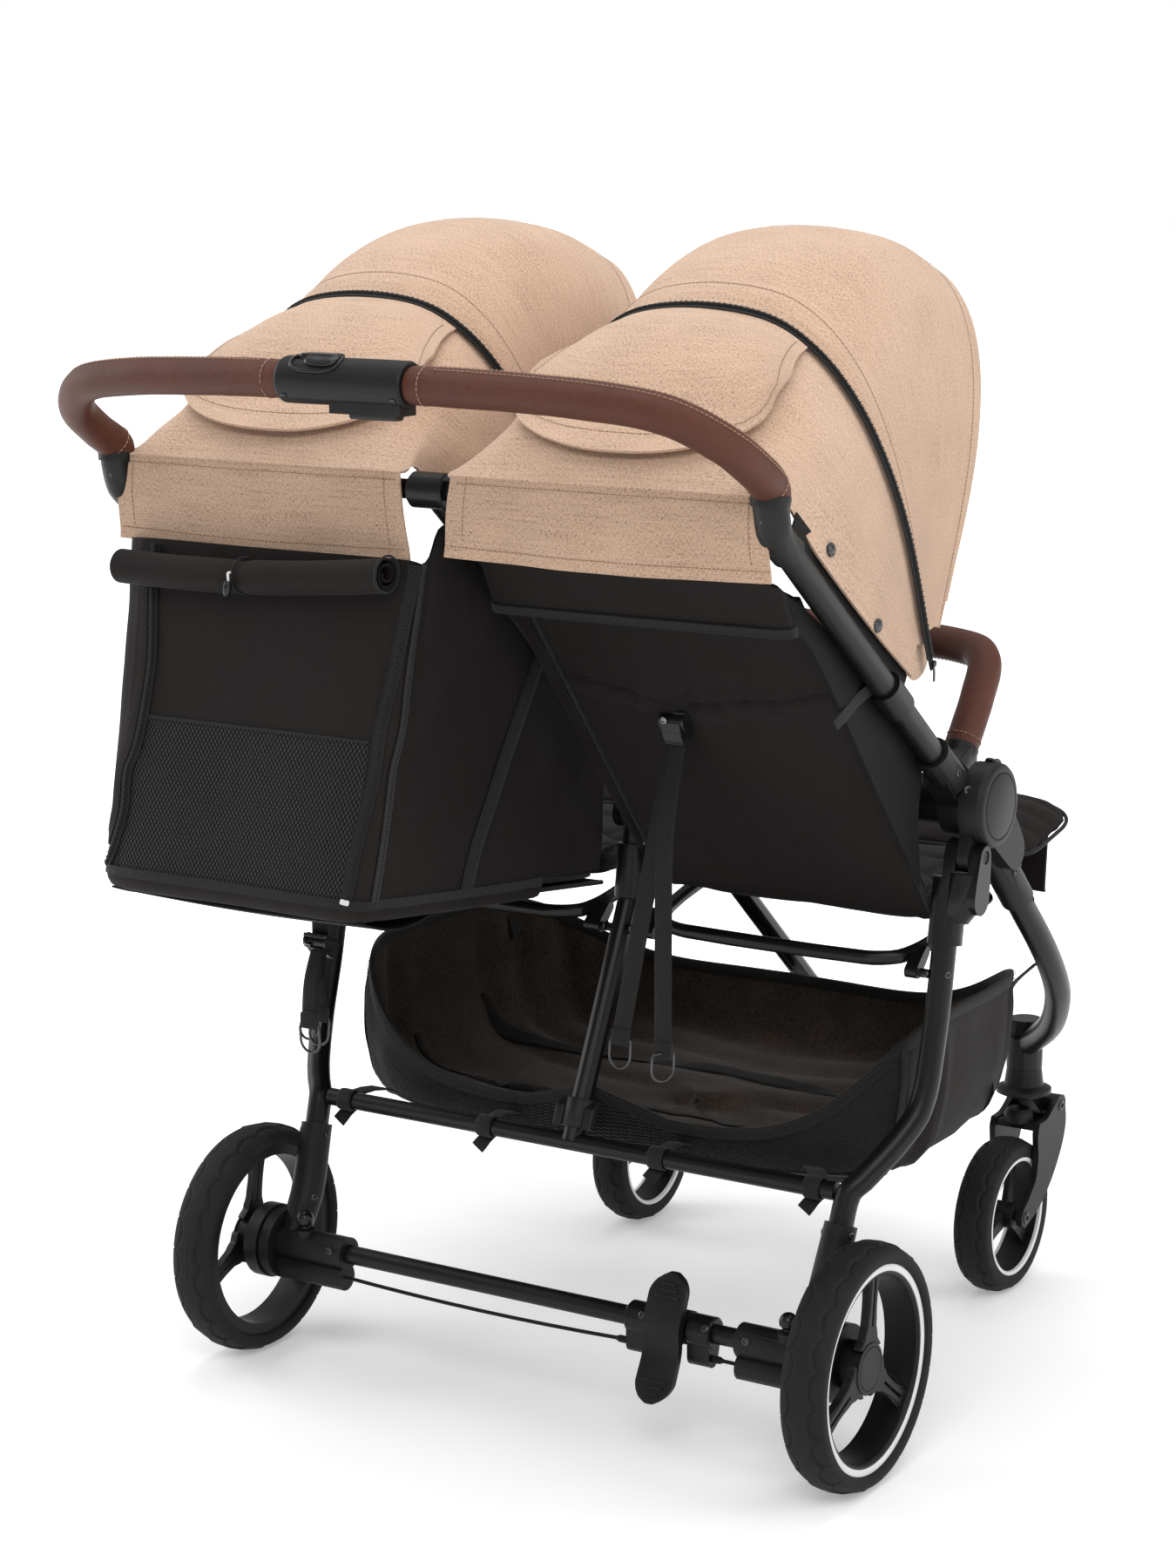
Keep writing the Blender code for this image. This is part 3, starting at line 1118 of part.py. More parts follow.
def seat_frame(sign):
    """U tube under a seat, from the hinge housing's sleeve to the centre front leg."""
    outer = SIDE_X - SLEEVE_R - SEAT_TUBE_R - CLEAR
    inner = SEAT_INNER_X
    middle = [(outer, SEAT_FRONT_Y, SEAT_FRONT_Z), (outer, -0.225, 0.4885), (outer - 0.004, -0.180, 0.4790),
              (outer - 0.018, -0.148, 0.4720), (outer - 0.048, SEAT_REAR_Y, SEAT_REAR_Z),
              (inner + 0.048, SEAT_REAR_Y, SEAT_REAR_Z), (inner + 0.014, -0.148, 0.4720),
              (inner + 0.002, -0.180, 0.4790), (inner, -0.225, 0.4885), (inner, SEAT_FRONT_Y, SEAT_FRONT_Z)]
    tube = place(side_name("seat_frame", sign), sweep(mirrored(sign, middle), SEAT_TUBE_R, 8), METAL)
    ears = []
    for x0, x1 in ((outer - 0.0095, outer + 0.0032), (0.0222, 0.0400)):
        ear = lens((-0.1650, 0.4752), 0.0056, (-0.1476, 0.4594), 0.0062)
        ears.append(extrude_outline(ear, *sorted((sign * x0, sign * x1))))
    fuse(tube, *ears)
    return tube


def seat_base(sign):
    """Seat board with its cushion, slung between the U tube's arms, and its two cross rods."""
    outer = SIDE_X - SLEEVE_R - SEAT_TUBE_R * 2 - CLEAR * 2
    inner = SEAT_INNER_X + SEAT_TUBE_R + CLEAR
    angle = math.degrees(math.atan2(FRONT_EDGE_Z - BACK_Z, FRONT_EDGE_Y - BACK_Y))
    start = polar(angle, SEAT_ROD_R - 0.002, BACK_Y, BACK_Z)
    length = math.hypot(FRONT_EDGE_Y - BACK_Y, FRONT_EDGE_Z - BACK_Z) - 2 * (SEAT_ROD_R - 0.002)
    low, high = sorted((sign * inner, sign * outer))
    base = pad(side_name("seat_base", sign), start, angle, length, low, high, 0.020, 0.007, BLACK_CLOTH,
               None, (1 / 3, 2 / 3), pull=0.0)
    fuse(base,
         disc((low, BACK_Y, BACK_Z), (1, 0, 0), SEAT_ROD_R, high - low, 10),
         disc((low, FRONT_EDGE_Y, FRONT_EDGE_Z), (1, 0, 0), SEAT_ROD_R, high - low, 10))
    return base


def seat_back(sign):
    """Backrest board with its cushion. The left one is reclined, the right one upright."""
    angle = RECLINED_ANGLE if sign > 0 else UPRIGHT_ANGLE
    start = polar(angle, SEAT_ROD_R + CLEAR, BACK_Y, BACK_Z)
    low, high = sorted((sign * BACK_INNER_X, sign * BACK_OUTER_X))
    length = RECLINED_LENGTH if sign > 0 else UPRIGHT_LENGTH
    return pad(side_name("seat_back", sign), start, angle, length, low, high, BACK_THICK - 2 * BACK_CROWN,
               BACK_CROWN, BLACK_CLOTH, (0, BACK_Y, BACK_Z), (1 / 3, 2 / 3), pull=0.0005)


def leg_rest(sign):
    """Padded leg rest, hinged on the seat's front rod."""
    start = polar(LEG_REST_ANGLE, SEAT_ROD_R + CLEAR, FRONT_EDGE_Y, FRONT_EDGE_Z)
    low, high = sorted((sign * 0.050, sign * 0.305))
    return pad(side_name("leg_rest", sign), start, LEG_REST_ANGLE, LEG_REST_LENGTH, low, high,
               LEG_REST_THICK - 0.010, 0.005, BLACK_CLOTH, (0, FRONT_EDGE_Y, FRONT_EDGE_Z), (0.25, 0.5, 0.75), rows=8)


def webbing(points, half_width, thickness, wide):
    """Flat strap along a path, its width along the given axis."""
    points = [Vector(p) for p in points]
    wide = Vector(wide)
    bm = bmesh.new()
    rings = []
    for i, point in enumerate(points):
        along = (points[min(i + 1, len(points) - 1)] - points[max(i - 1, 0)]).normalized()
        thin = along.cross(wide).normalized()
        rings.append([bm.verts.new(point + wide * a * half_width + thin * b * thickness / 2)
                      for a, b in ((-1, -1), (1, -1), (1, 1), (-1, 1))])
    for near, far in zip(rings, rings[1:]):
        for k in range(4):
            bm.faces.new((near[k], near[(k + 1) % 4], far[(k + 1) % 4], far[k]))
    bm.faces.new(rings[0])
    bm.faces.new(rings[-1])
    return bm


def recline_clip(sign):
    """Clip on the recline strap of a backrest, with the strap's two hanging ends.

    The upright seat's clip lies on its back; the reclined seat's hangs on its strap.
    """
    angle = math.radians(RECLINED_ANGLE if sign > 0 else UPRIGHT_ANGLE)
    along = Vector((0, math.cos(angle), math.sin(angle)))
    out = Vector((0, math.sin(angle), -math.cos(angle)))
    distance = RECLINED_CLIP_AT if sign > 0 else UPRIGHT_CLIP_AT
    base = Vector((CLIP_X[sign], BACK_Y, BACK_Z)) + along * distance + out * (BACK_THICK / 2 + CLEAR)
    if sign > 0:
        base = base - out * RECLINED_CLIP_SINK
        hang, drop, out = 0.050, 0.085, Vector((0, 0.35, -0.94)).normalized()
        along = Vector((0, 0.94, 0.35)).normalized()
    else:
        hang, drop = 0.0, 0.330
    start = base + Vector((0, 0, -hang))
    side = Vector((1, 0, 0))
    bm = bmesh.new()
    rings = []
    for distance, half_w, half_l in ((0.0, 0.013, 0.016), (0.010, 0.013, 0.015), (0.020, 0.010, 0.010)):
        middle = start + out * distance
        rings.append([bm.verts.new(middle + side * a * half_w + along * b * half_l)
                      for a, b in ((-1, -1), (1, -1), (1, 1), (-1, 1))])
    for near, far in zip(rings, rings[1:]):
        for k in range(4):
            bm.faces.new((near[k], near[(k + 1) % 4], far[(k + 1) % 4], far[k]))
    bm.faces.new(rings[0])
    bm.faces.new(rings[-1])
    clip = place(side_name("recline_clip", sign), bm, PLASTIC)
    end = start + out * 0.012
    strips = []
    if sign > 0:
        strips.append(webbing([base, start + out * 0.006], 0.0095, 0.0030, (1, 0, 0)))
    for shift, lean in ((0.004, 0.0), (0.0125, 0.018)):
        foot = end + Vector((-sign * shift * 0.8, shift + lean, -drop))
        strips.append(webbing([end + Vector((0, 0, 0.004)), foot], 0.0095, 0.0018, (1, 0, 0)))
    fuse(clip, *strips)
    return clip


def seat_side(sign):
    """Cloth between a backrest and the tubes: two side walls and the wall behind."""
    inner = 0.0330
    outer = SIDE_X - 0.0135
    if sign > 0:
        spread = (0.0, 0.006, 0.016, 0.024, 0.028, 0.0, 0.0, 0.0, 0.0, 0.0, 0.0)
        stations = [(inner, -0.120, 0.5160, 0.640), (inner, 0.010, 0.5300, 0.742), (inner, 0.120, 0.5430, 0.828),
                    (inner, 0.212, 0.5540, 0.858), (inner + 0.020, 0.2420, 0.5560, 0.866),
                    (0.185, 0.2440, 0.5570, 0.866), (outer - 0.020, 0.2420, 0.5560, 0.866),
                    (outer, 0.212, 0.5540, 0.858), (outer, 0.120, 0.5430, 0.828), (outer, 0.010, 0.5300, 0.742),
                    (outer, -0.120, 0.5160, 0.640)]
        lean = 0.050
    else:
        spread = (0.0,) * 11
        stations = [(inner, -0.130, 0.5480, 0.640), (inner, -0.050, 0.6500, 0.700), (inner, 0.060, 0.7900, 0.800),
                    (inner, 0.110, 0.8150, 0.845), (inner + 0.016, 0.1280, 0.8180, 0.866),
                    (0.185, 0.1300, 0.8180, 0.868), (outer - 0.016, 0.1280, 0.8180, 0.866),
                    (outer, 0.110, 0.8150, 0.845), (outer, 0.060, 0.7900, 0.800), (outer, -0.050, 0.6500, 0.700),
                    (outer, -0.130, 0.5480, 0.640)]
        lean = -0.028
    rows = []
    count = 5
    for i in range(count):
        t = i / (count - 1)
        row = []
        for (x, y, low, high), widen in zip(stations, spread):
            x -= widen * t
            behind = max(0.0, min(1.0, (y - 0.10) / 0.14)) if sign > 0 else max(0.0, min(1.0, (y - 0.09) / 0.04))
            row.append((sign * x, y - lean * t * behind, low + (high - low) * t))
        rows.append(row)
    middle = (sign * 0.185, 0.0, 0.70)
    return cloth(side_name("seat_side", sign), rows, SIDE_CLOTH, BLACK_CLOTH, middle)


# Canopies

def bow_point(t, angle, height, power, low_x, high_x):
    """Point on a canopy bow; t runs from 0 at the outer foot to 1 at the inner foot."""
    turn = math.pi * t
    c, s = math.cos(turn), math.sin(turn)
    middle = (low_x + high_x) / 2
    half = (high_x - low_x) / 2
    x = middle + half * math.copysign(abs(c) ** (2 / power), c)
    radius = height * abs(s) ** (2 / power)
    y, z = polar(angle, radius, CANOPY_Y, CANOPY_Z)
    return x, y, z


BOW_STEPS = 12
REAR_FOOT_T = 0.0024
FRONT_FOOT_T = 0.0110


def bow_row(sign, angle, height, power, foot_t):
    """Row of points over a bow, from its outer foot to its inner foot."""
    row = []
    for k in range(BOW_STEPS + 1):
        t = foot_t + (1 - 2 * foot_t) * k / BOW_STEPS
        x, y, z = bow_point(t, angle, height, power, CANOPY_INNER_X, CANOPY_OUTER_X)
        row.append((sign * x, y, z))
    return row


def canopy_rear(sign):
    """Rear canopy panel, from the skirt over the crossbar to the zip."""
    seam_y = CROSSBAR_Y + CROSSBAR_R + CANOPY_CLOTH + CLEAR
    seam_z = CROSSBAR_Z + CROSSBAR_R + CANOPY_CLOTH + 0.0035
    outer_side = [(SIDE_X + 0.0120, *edge_line(0.016)), (SIDE_X + 0.0090, *edge_line(0.145)),
                  (SIDE_X + 0.0060, *edge_line(0.262)), (SIDE_X - 0.0080, BRACKET_Y - 0.0200, seam_z)]
    inner_side = [(0.0260, BRACKET_Y - 0.0200, seam_z), (0.0230, *edge_line(0.262)),
                  (0.0200, *edge_line(0.145)), (0.0170, *edge_line(0.016))]
    first = len(outer_side)
    top_count = BOW_STEPS + 1 - 2 * first
    top = [(0.3300 - 0.3020 * k / (top_count - 1), seam_y, seam_z) for k in range(top_count)]
    edge = outer_side + top + inner_side
    rows = [[(sign * x, y, z) for x, y, z in edge]]
    for angle, height, power in ((46.0, 0.3270, 5.0), (55.0, 0.3420, 3.7), (63.5, 0.3460, 3.0),
                                 (ZIP_ANGLE, 0.3420, 2.67)):
        rows.append(bow_row(sign, angle, height, power, REAR_FOOT_T))
    skirt = []
    for drop, back in ((0.034, 0.0), (0.076, -0.005)):
        line = []
        for k in range(top_count):
            x, y, z = rows[0][first + k]
            line.append((x, y + back, z - drop))
        skirt.append(line)
    return cloth(side_name("canopy_rear", sign), rows, CANOPY_CLOTH, SAND, (sign * 0.185, -0.05, 0.85),
                 extra_rows=[(first, skirt)])


def edge_line(distance):
    """Lower canopy edge, which runs beside the upper tube at a small height above it."""
    y, z = polar(UPPER_ANGLE, 0.155 + distance)
    return y - 0.0190 * math.sin(math.radians(UPPER_ANGLE)), z + 0.0190 * math.cos(math.radians(UPPER_ANGLE))


def canopy_front(sign):
    """Front canopy panel, from the zip to the front bow, with the visor folded under it."""
    rows = []
    for angle, height, power in ((ZIP_ANGLE + 0.8, 0.3425, 2.67), (84.0, 0.3700, 2.72), (97.0, 0.3960, 2.76),
                                 (109.5, 0.4120, 2.80), (FRONT_BOW_ANGLE, 0.4200, 2.82)):
        rows.append(bow_row(sign, angle, height, power, FRONT_FOOT_T))
    return cloth(side_name("canopy_front", sign), rows, CANOPY_CLOTH, SAND, (sign * 0.185, -0.05, 0.85),
                 (0, CANOPY_Y, CANOPY_Z))


# Basket

def basket():
    """Cloth tub hung between the legs: open above, sagging floor, low back wall."""
    columns = 24
    levels = ((1.000, 0.0), (0.985, 0.30), (0.955, 0.62), (0.880, 0.90), (0.640, 1.0), (0.330, 1.05))
    rows = []
    for scale, depth in levels:
        row = []
        for k in range(columns):
            turn = 2 * math.pi * k / columns
            c, s = math.cos(turn), math.sin(turn)
            x = math.copysign(abs(c) ** 0.55, c)
            y = math.copysign(abs(s) ** 0.55, s)
            front = max(0.0, -y)
            half_x = BASKET_HALF_X - BASKET_FRONT_TAPER * front ** 2
            rim_z = BASKET_RIM_Z + 0.075 * abs(x) ** 4 * (0.62 - 0.38 * y) - 0.012 * max(0.0, y)
            floor_z = BASKET_FLOOR_Z + 0.012 * front
            z = rim_z + (floor_z - rim_z) * depth
            lean = 0.40 * (rim_z - z) * max(0.0, y)
            row.append((x * half_x * scale, BASKET_Y + y * BASKET_HALF_Y * scale + lean, z))
        rows.append(row)
    bm = bmesh.new()
    grid = [[bm.verts.new(p) for p in row] for row in rows]
    for near, far in zip(grid, grid[1:]):
        for k in range(columns):
            n = (k + 1) % columns
            bm.faces.new((near[k], near[n], far[n], far[k]))
    bm.faces.new(grid[-1])
    tub = place("basket", bm, CHARCOAL)
    solid = tub.modifiers.new("cloth_thickness", "SOLIDIFY")
    solid.thickness = BASKET_CLOTH
    solid.offset = 1.0
    solid.use_even_offset = True
    back = LOW_BAR_Y - LOW_BAR_R - CLEAR
    straps = [webbing([(x, start, LOW_BAR_Z), (x, back, LOW_BAR_Z)], 0.010, 0.0022, (1, 0, 0))
              for x, start in ((-0.190, -0.127), (-0.065, -0.118), (0.065, -0.118), (0.190, -0.127))]
    for sign in (1, -1):
        straps.append(webbing([(sign * 0.2790, -0.4100, 0.3640), (sign * (SIDE_X - 0.0195), -0.4100, 0.4117)],
                              0.010, 0.0022, (0, 1, 0)))
    fuse(tub, *straps)
    return tub


# Assembly

for side_sign in (1, -1):
    hinge_arm(side_sign)
    upper_tube(side_sign)
    hinge_housing(side_sign)
    bumper_button(side_sign)
    front_leg(side_sign)
    caster_button(side_sign)
    rear_leg(side_sign)
    wheel_housing(side_sign)
    brake_pin(side_sign)
    wheel_button(side_sign)
    brake_cable(side_sign)
    rear_wheel(side_sign)
    front_wheel(side_sign)
    caster(side_sign)
    fork(side_sign)
    grip(side_sign)
    seat_frame(side_sign)
    seat_base(side_sign)
    seat_back(side_sign)
    leg_rest(side_sign)
    recline_clip(side_sign)
    seat_side(side_sign)
    canopy_rear(side_sign)
    canopy_front(side_sign)
upper_tube_centre()
front_leg_centre()
rear_leg_centre()
rear_axle()
brake_pedal()
handle_housing()
fold_slider()
fold_trigger()
bumper_bar()
basket()
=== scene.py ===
"""Looks of the side-by-side double stroller.

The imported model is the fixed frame. This script gives its tubes, mouldings and wheels their
finish, makes the cloth, cushions, leatherette and trim, and sets the light and the camera.
Places are given from the middle of the rear axle on the floor, as in the part's source:
+X is the stroller's left, -Y is forward and +Z is up, in metres. at() takes such a place
to the model's own frame.
"""
import json
import math

import bmesh
import bpy
import numpy as np
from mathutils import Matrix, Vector, noise
from mathutils.bvhtree import BVHTree

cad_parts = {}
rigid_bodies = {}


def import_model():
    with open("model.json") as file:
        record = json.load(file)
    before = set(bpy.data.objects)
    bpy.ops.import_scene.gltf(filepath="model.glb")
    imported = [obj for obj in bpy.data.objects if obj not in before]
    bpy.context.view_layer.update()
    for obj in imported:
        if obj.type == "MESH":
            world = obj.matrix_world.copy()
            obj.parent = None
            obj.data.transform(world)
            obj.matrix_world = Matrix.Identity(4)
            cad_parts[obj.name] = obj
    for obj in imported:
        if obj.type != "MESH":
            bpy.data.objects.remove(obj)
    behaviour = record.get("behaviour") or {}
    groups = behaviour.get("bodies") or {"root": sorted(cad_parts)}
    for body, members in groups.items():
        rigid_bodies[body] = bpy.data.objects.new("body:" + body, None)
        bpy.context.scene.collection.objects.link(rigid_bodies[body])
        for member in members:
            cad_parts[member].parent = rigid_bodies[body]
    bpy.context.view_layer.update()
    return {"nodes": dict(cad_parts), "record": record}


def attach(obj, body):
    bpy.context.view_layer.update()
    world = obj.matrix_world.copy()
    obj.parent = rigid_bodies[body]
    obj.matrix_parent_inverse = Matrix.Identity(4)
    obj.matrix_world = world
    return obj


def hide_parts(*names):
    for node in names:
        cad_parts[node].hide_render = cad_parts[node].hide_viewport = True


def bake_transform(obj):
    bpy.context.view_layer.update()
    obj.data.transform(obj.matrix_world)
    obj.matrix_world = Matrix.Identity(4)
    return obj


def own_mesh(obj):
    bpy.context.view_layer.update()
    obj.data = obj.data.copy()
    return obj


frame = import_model()

AXLE_BACK = 0.1733
SIDES = ((1, "left"), (-1, "right"))
# Middle of a seat, across the stroller
SEAT_X = 0.185

# Places and sizes repeated from the part's source
SIDE_X = 0.352
HINGE = (-0.2, 0.617)
UPPER_ANGLE = 37.8
CANOPY_PIVOT = (-0.09, 0.761)
CANOPY_INNER_X = 0.0055
CANOPY_OUTER_X = 0.363
CROSSBAR = (0.1756, 0.9275)
CROSSBAR_R = 0.009
BRACKET_Y = 0.18
BRACKET_TOP = (0.18785, 0.94)
BRACKET_LEAN = 8.5
GRIP_R = 0.0165
HANDLE_BACK = (0.299, 1.032)
HOUSING_R = 0.0205
BACK_ROOT = (-0.185, 0.5035)
SEAT_FRONT = (-0.425, 0.514)
RECLINED_ANGLE = 7.0
UPRIGHT_ANGLE = 50.9
RECLINED_LENGTH = 0.385
UPRIGHT_LENGTH = 0.445
REAR_R = 0.1175
REAR_WHEEL_X = 0.35
FRONT_WHEEL = (0.228, -0.567, 0.084)


def at(x, y, z):
    """Place from the rear axle's middle, in the model's frame."""
    return Vector((x, y + AXLE_BACK, z))


def polar(angle, distance, origin=HINGE):
    """(y, z) at an angle in degrees from +Y, about the main hinge or another axis."""
    turn = math.radians(angle)
    return origin[0] + distance * math.cos(turn), origin[1] + distance * math.sin(turn)


# Node helpers for materials

class Nodes:
    """Short calls that add and join the nodes of one material."""

    def __init__(self, name):
        self.material = bpy.data.materials.new(name)
        self.material.use_nodes = True
        self.tree = self.material.node_tree
        self.shader = self.tree.nodes["Principled BSDF"]

    def add(self, kind, **inputs):
        node = self.tree.nodes.new(kind)
        for key, value in inputs.items():
            if key in node.inputs:
                self.plug(node.inputs[key], value)
            else:
                setattr(node, key, value)
        return node

    def plug(self, socket, value):
        if isinstance(value, bpy.types.NodeSocket):
            self.tree.links.new(value, socket)
        else:
            socket.default_value = value

    def coordinates(self, scale=(1, 1, 1), kind="Object", turn=0.0):
        source = self.add("ShaderNodeTexCoord").outputs[kind]
        mapping = self.add("ShaderNodeMapping", Vector=source, Scale=scale, Rotation=(0, 0, turn))
        return mapping.outputs[0]

    def noise(self, vector, scale, detail=3.0, rough=0.55):
        node = self.add("ShaderNodeTexNoise", Vector=vector, Scale=scale, Detail=detail, Roughness=rough)
        return node.outputs["Fac"]

    def wave(self, vector, scale, direction):
        node = self.add("ShaderNodeTexWave", Vector=vector, Scale=scale, Distortion=0.0)
        node.bands_direction = direction
        return node.outputs["Fac"]

    def voronoi(self, vector, scale, feature, randomness=1.0):
        node = self.add("ShaderNodeTexVoronoi", Vector=vector, Scale=scale, Randomness=randomness)
        node.feature = feature
        return node.outputs["Distance"]

    def math(self, operation, first, second):
        node = self.add("ShaderNodeMath")
        node.operation = operation
        for socket, value in zip(node.inputs, (first, second)):
            self.plug(socket, value)
        return node.outputs[0]

    def weighted(self, first, share, second, other):
        """first * share + second * other"""
        return self.math("ADD", self.math("MULTIPLY", first, share), self.math("MULTIPLY", second, other))

    def ramp(self, factor, stops):
        node = self.add("ShaderNodeValToRGB", Fac=factor)
        band = node.color_ramp
        while len(band.elements) < len(stops):
            band.elements.new(0.5)
        for element, (place, colour) in zip(band.elements, stops):
            element.position = place
            element.color = (*colour, 1.0)
        return node.outputs["Color"]

    def range(self, factor, low, high):
        node = self.add("ShaderNodeMapRange", Value=factor)
        node.inputs["To Min"].default_value = low
        node.inputs["To Max"].default_value = high
        return node.outputs[0]

    def mix(self, factor, first, second):
        node = self.add("ShaderNodeMix")
        node.data_type = "RGBA"
        self.plug(node.inputs[0], factor)
        for socket, value in ((node.inputs[6], first), (node.inputs[7], second)):
            self.plug(socket, (*value, 1.0) if isinstance(value, tuple) and len(value) == 3 else value)
        return node.outputs[2]

    def bump(self, height, strength, distance, normal=None):
        node = self.add("ShaderNodeBump", Height=height, Strength=strength, Distance=distance)
        if normal is not None:
            self.plug(node.inputs["Normal"], normal)
        return node.outputs[0]

    def finish(self, colour, roughness, normal=None, **fixed):
        self.plug(self.shader.inputs["Base Color"], colour)
        self.plug(self.shader.inputs["Roughness"], roughness)
        if normal is not None:
            self.plug(self.shader.inputs["Normal"], normal)
        for key, value in fixed.items():
            self.shader.inputs[key.replace("_", " ")].default_value = value
        return self.material


def scaled(colour, factor):
    return tuple(c * factor for c in colour)


def heather_cloth(name, pale, middle, dark):
    """Linen-look weave: pale and dark yarns in short slubs both ways over a plain weave."""
    n = Nodes(name)
    across = n.noise(n.coordinates((330, 1350, 1), "UV"), 1.0, 2.0, 0.6)
    along = n.noise(n.coordinates((1350, 330, 1), "UV"), 1.0, 2.0, 0.6)
    slub = n.weighted(across, 0.5, along, 0.5)
    cloud = n.noise(n.coordinates(), 14.0, 3.0, 0.6)
    streak = n.noise(n.coordinates((16, 330, 1), "UV"), 1.0, 2.0, 0.6)
    drift = n.weighted(n.math("SUBTRACT", cloud, 0.5), 0.1, n.math("SUBTRACT", streak, 0.5), 0.16)
    tone = n.math("ADD", slub, drift)
    colour = n.ramp(tone, ((0.36, dark), (0.45, middle), (0.53, pale), (0.64, scaled(pale, 1.12))))
    warp = n.wave(n.coordinates(kind="UV"), 420.0, "X")
    weft = n.wave(n.coordinates(kind="UV"), 420.0, "Y")
    weave = n.math("ADD", n.math("MULTIPLY", warp, weft), n.math("MULTIPLY", slub, 1.5))
    rough = n.range(tone, 0.78, 0.95)
    return n.finish(colour, rough, n.bump(weave, 0.55, 0.0006), Sheen_Weight=0.25, Sheen_Roughness=0.6,
                    Specular_IOR_Level=0.25)


def nylon_cloth(name, colour, sheen, kind="UV"):
    """Black woven nylon with a fine twill and soft cloudy creases."""
    n = Nodes(name)
    cloud = n.noise(n.coordinates(), 9.0, 4.0, 0.6)
    yarn = n.noise(n.coordinates((900, 900, 1), kind), 1.0, 1.0, 0.5)
    tone = n.weighted(cloud, 0.6, yarn, 0.4)
    base = n.ramp(tone, ((0.3, scaled(colour, 0.7)), (0.5, colour), (0.72, scaled(colour, 1.55))))
    ribs = n.wave(n.coordinates((1, 1, 1), kind, math.radians(38)), 330.0, "X")
    crease = n.noise(n.coordinates(), 22.0, 3.0, 0.5)
    fine = n.bump(ribs, 0.35, 0.0003)
    normal = n.bump(crease, 0.35, 0.004, fine)
    rough = n.range(cloud, 0.62, 0.82)
    return n.finish(base, rough, normal, Sheen_Weight=sheen, Sheen_Roughness=0.45, Specular_IOR_Level=0.17)


def melange_cloth(name, dark, light):
    """Charcoal melange of the basket: mottled brown and black fibres."""
    n = Nodes(name)
    fleck = n.noise(n.coordinates((420, 420, 420), "Object"), 1.0, 3.0, 0.7)
    cloud = n.noise(n.coordinates(), 26.0, 4.0, 0.6)
    tone = n.weighted(fleck, 0.75, cloud, 0.25)
    colour = n.ramp(tone, ((0.36, dark), (0.5, tuple((a + b) / 2 for a, b in zip(dark, light))), (0.66, light)))
    normal = n.bump(fleck, 0.5, 0.0008)
    return n.finish(colour, n.range(fleck, 0.82, 0.97), normal, Sheen_Weight=0.15, Specular_IOR_Level=0.2)


def net_cloth(name, yarn, hole_shade, pitch, see_through):
    """Knitted net: rounded holes in staggered rows, painted dark with the shade behind them, or see-through."""
    n = Nodes(name)
    scale = 1.0 / pitch
    first = n.voronoi(n.coordinates((scale, scale * 0.62, 1), "UV"), 1.0, "F1", 0.0)
    shifted = n.add("ShaderNodeMapping", Vector=n.add("ShaderNodeTexCoord").outputs["UV"],
                    Location=(0.5, 0.5, 0), Scale=(scale, scale * 0.62, 1)).outputs[0]
    second = n.voronoi(shifted, 1.0, "F1", 0.0)
    away = n.math("MINIMUM", first, second)
    thread = n.math("GREATER_THAN", away, 0.325)
    # The holes take a painted shade colour for the dark inside seen through the net.
    colour = n.mix(thread, hole_shade, yarn)
    n.plug(n.shader.inputs["Alpha"], n.range(thread, 1.0 - see_through, 1.0))
    return n.finish(colour, n.range(thread, 0.9, 0.55), n.bump(away, 0.8, 0.001), Specular_IOR_Level=0.35)


def leatherette(name, colour):
    """Pebbled leatherette: small cells with fine creases, darker between them."""
    n = Nodes(name)
    place = n.coordinates()
    cells = n.voronoi(place, 720.0, "DISTANCE_TO_EDGE")
    pores = n.noise(place, 1900.0, 2.0, 0.6)
    cloud = n.noise(place, 18.0, 3.0, 0.6)
    base = n.ramp(n.weighted(cells, 1.6, cloud, 0.5),
                  ((0.16, scaled(colour, 0.62)), (0.42, colour), (0.8, scaled(colour, 1.22))))
    height = n.math("ADD", n.math("MINIMUM", cells, 0.25), n.math("MULTIPLY", pores, 0.1))
    return n.finish(base, n.range(cloud, 0.4, 0.54), n.bump(height, 0.65, 0.0011), Specular_IOR_Level=0.27)


def coated_metal(name, colour, rough):
    """Powder-coated tube: satin black with an orange-peel ripple and faint dust specks."""
    n = Nodes(name)
    place = n.coordinates()
    peel = n.noise(place, 900.0, 2.0, 0.5)
    cloud = n.noise(place, 11.0, 3.0, 0.6)
    speck = n.noise(place, 2600.0, 1.0, 0.5)
    base = n.ramp(n.weighted(cloud, 0.5, speck, 0.5),
                  ((0.35, scaled(colour, 0.85)), (0.55, colour), (0.8, scaled(colour, 1.6))))
    return n.finish(base, n.range(cloud, rough - 0.05, rough + 0.07), n.bump(peel, 0.12, 0.0005),
                    Specular_IOR_Level=0.25)


def moulded_plastic(name, colour, rough, grain=0.25, gloss=0.22):
    """Moulded plastic with a spark-eroded grain and a painted highlight that makes its convex edges a little paler."""
    n = Nodes(name)
    place = n.coordinates()
    texture = n.noise(place, 1500.0, 3.0, 0.65)
    cloud = n.noise(place, 16.0, 3.0, 0.6)
    # Painted highlight: where pointiness finds a convex edge, the colour is mixed towards a paler one.
    edge = n.add("ShaderNodeNewGeometry").outputs["Pointiness"]
    lit_edges = n.range(n.math("MULTIPLY", n.math("SUBTRACT", edge, 0.5), 9.0), 0.0, 1.0)
    base = n.ramp(cloud, ((0.3, scaled(colour, 0.8)), (0.7, scaled(colour, 1.25))))
    share = n.math("MULTIPLY", n.math("MAXIMUM", lit_edges, 0.0), 0.35)
    edge_lit = n.mix(share, base, tuple(c * 2.6 + 0.01 for c in colour))
    return n.finish(edge_lit, n.range(cloud, rough - 0.06, rough + 0.08), n.bump(texture, grain, 0.0004),
                    Specular_IOR_Level=gloss)


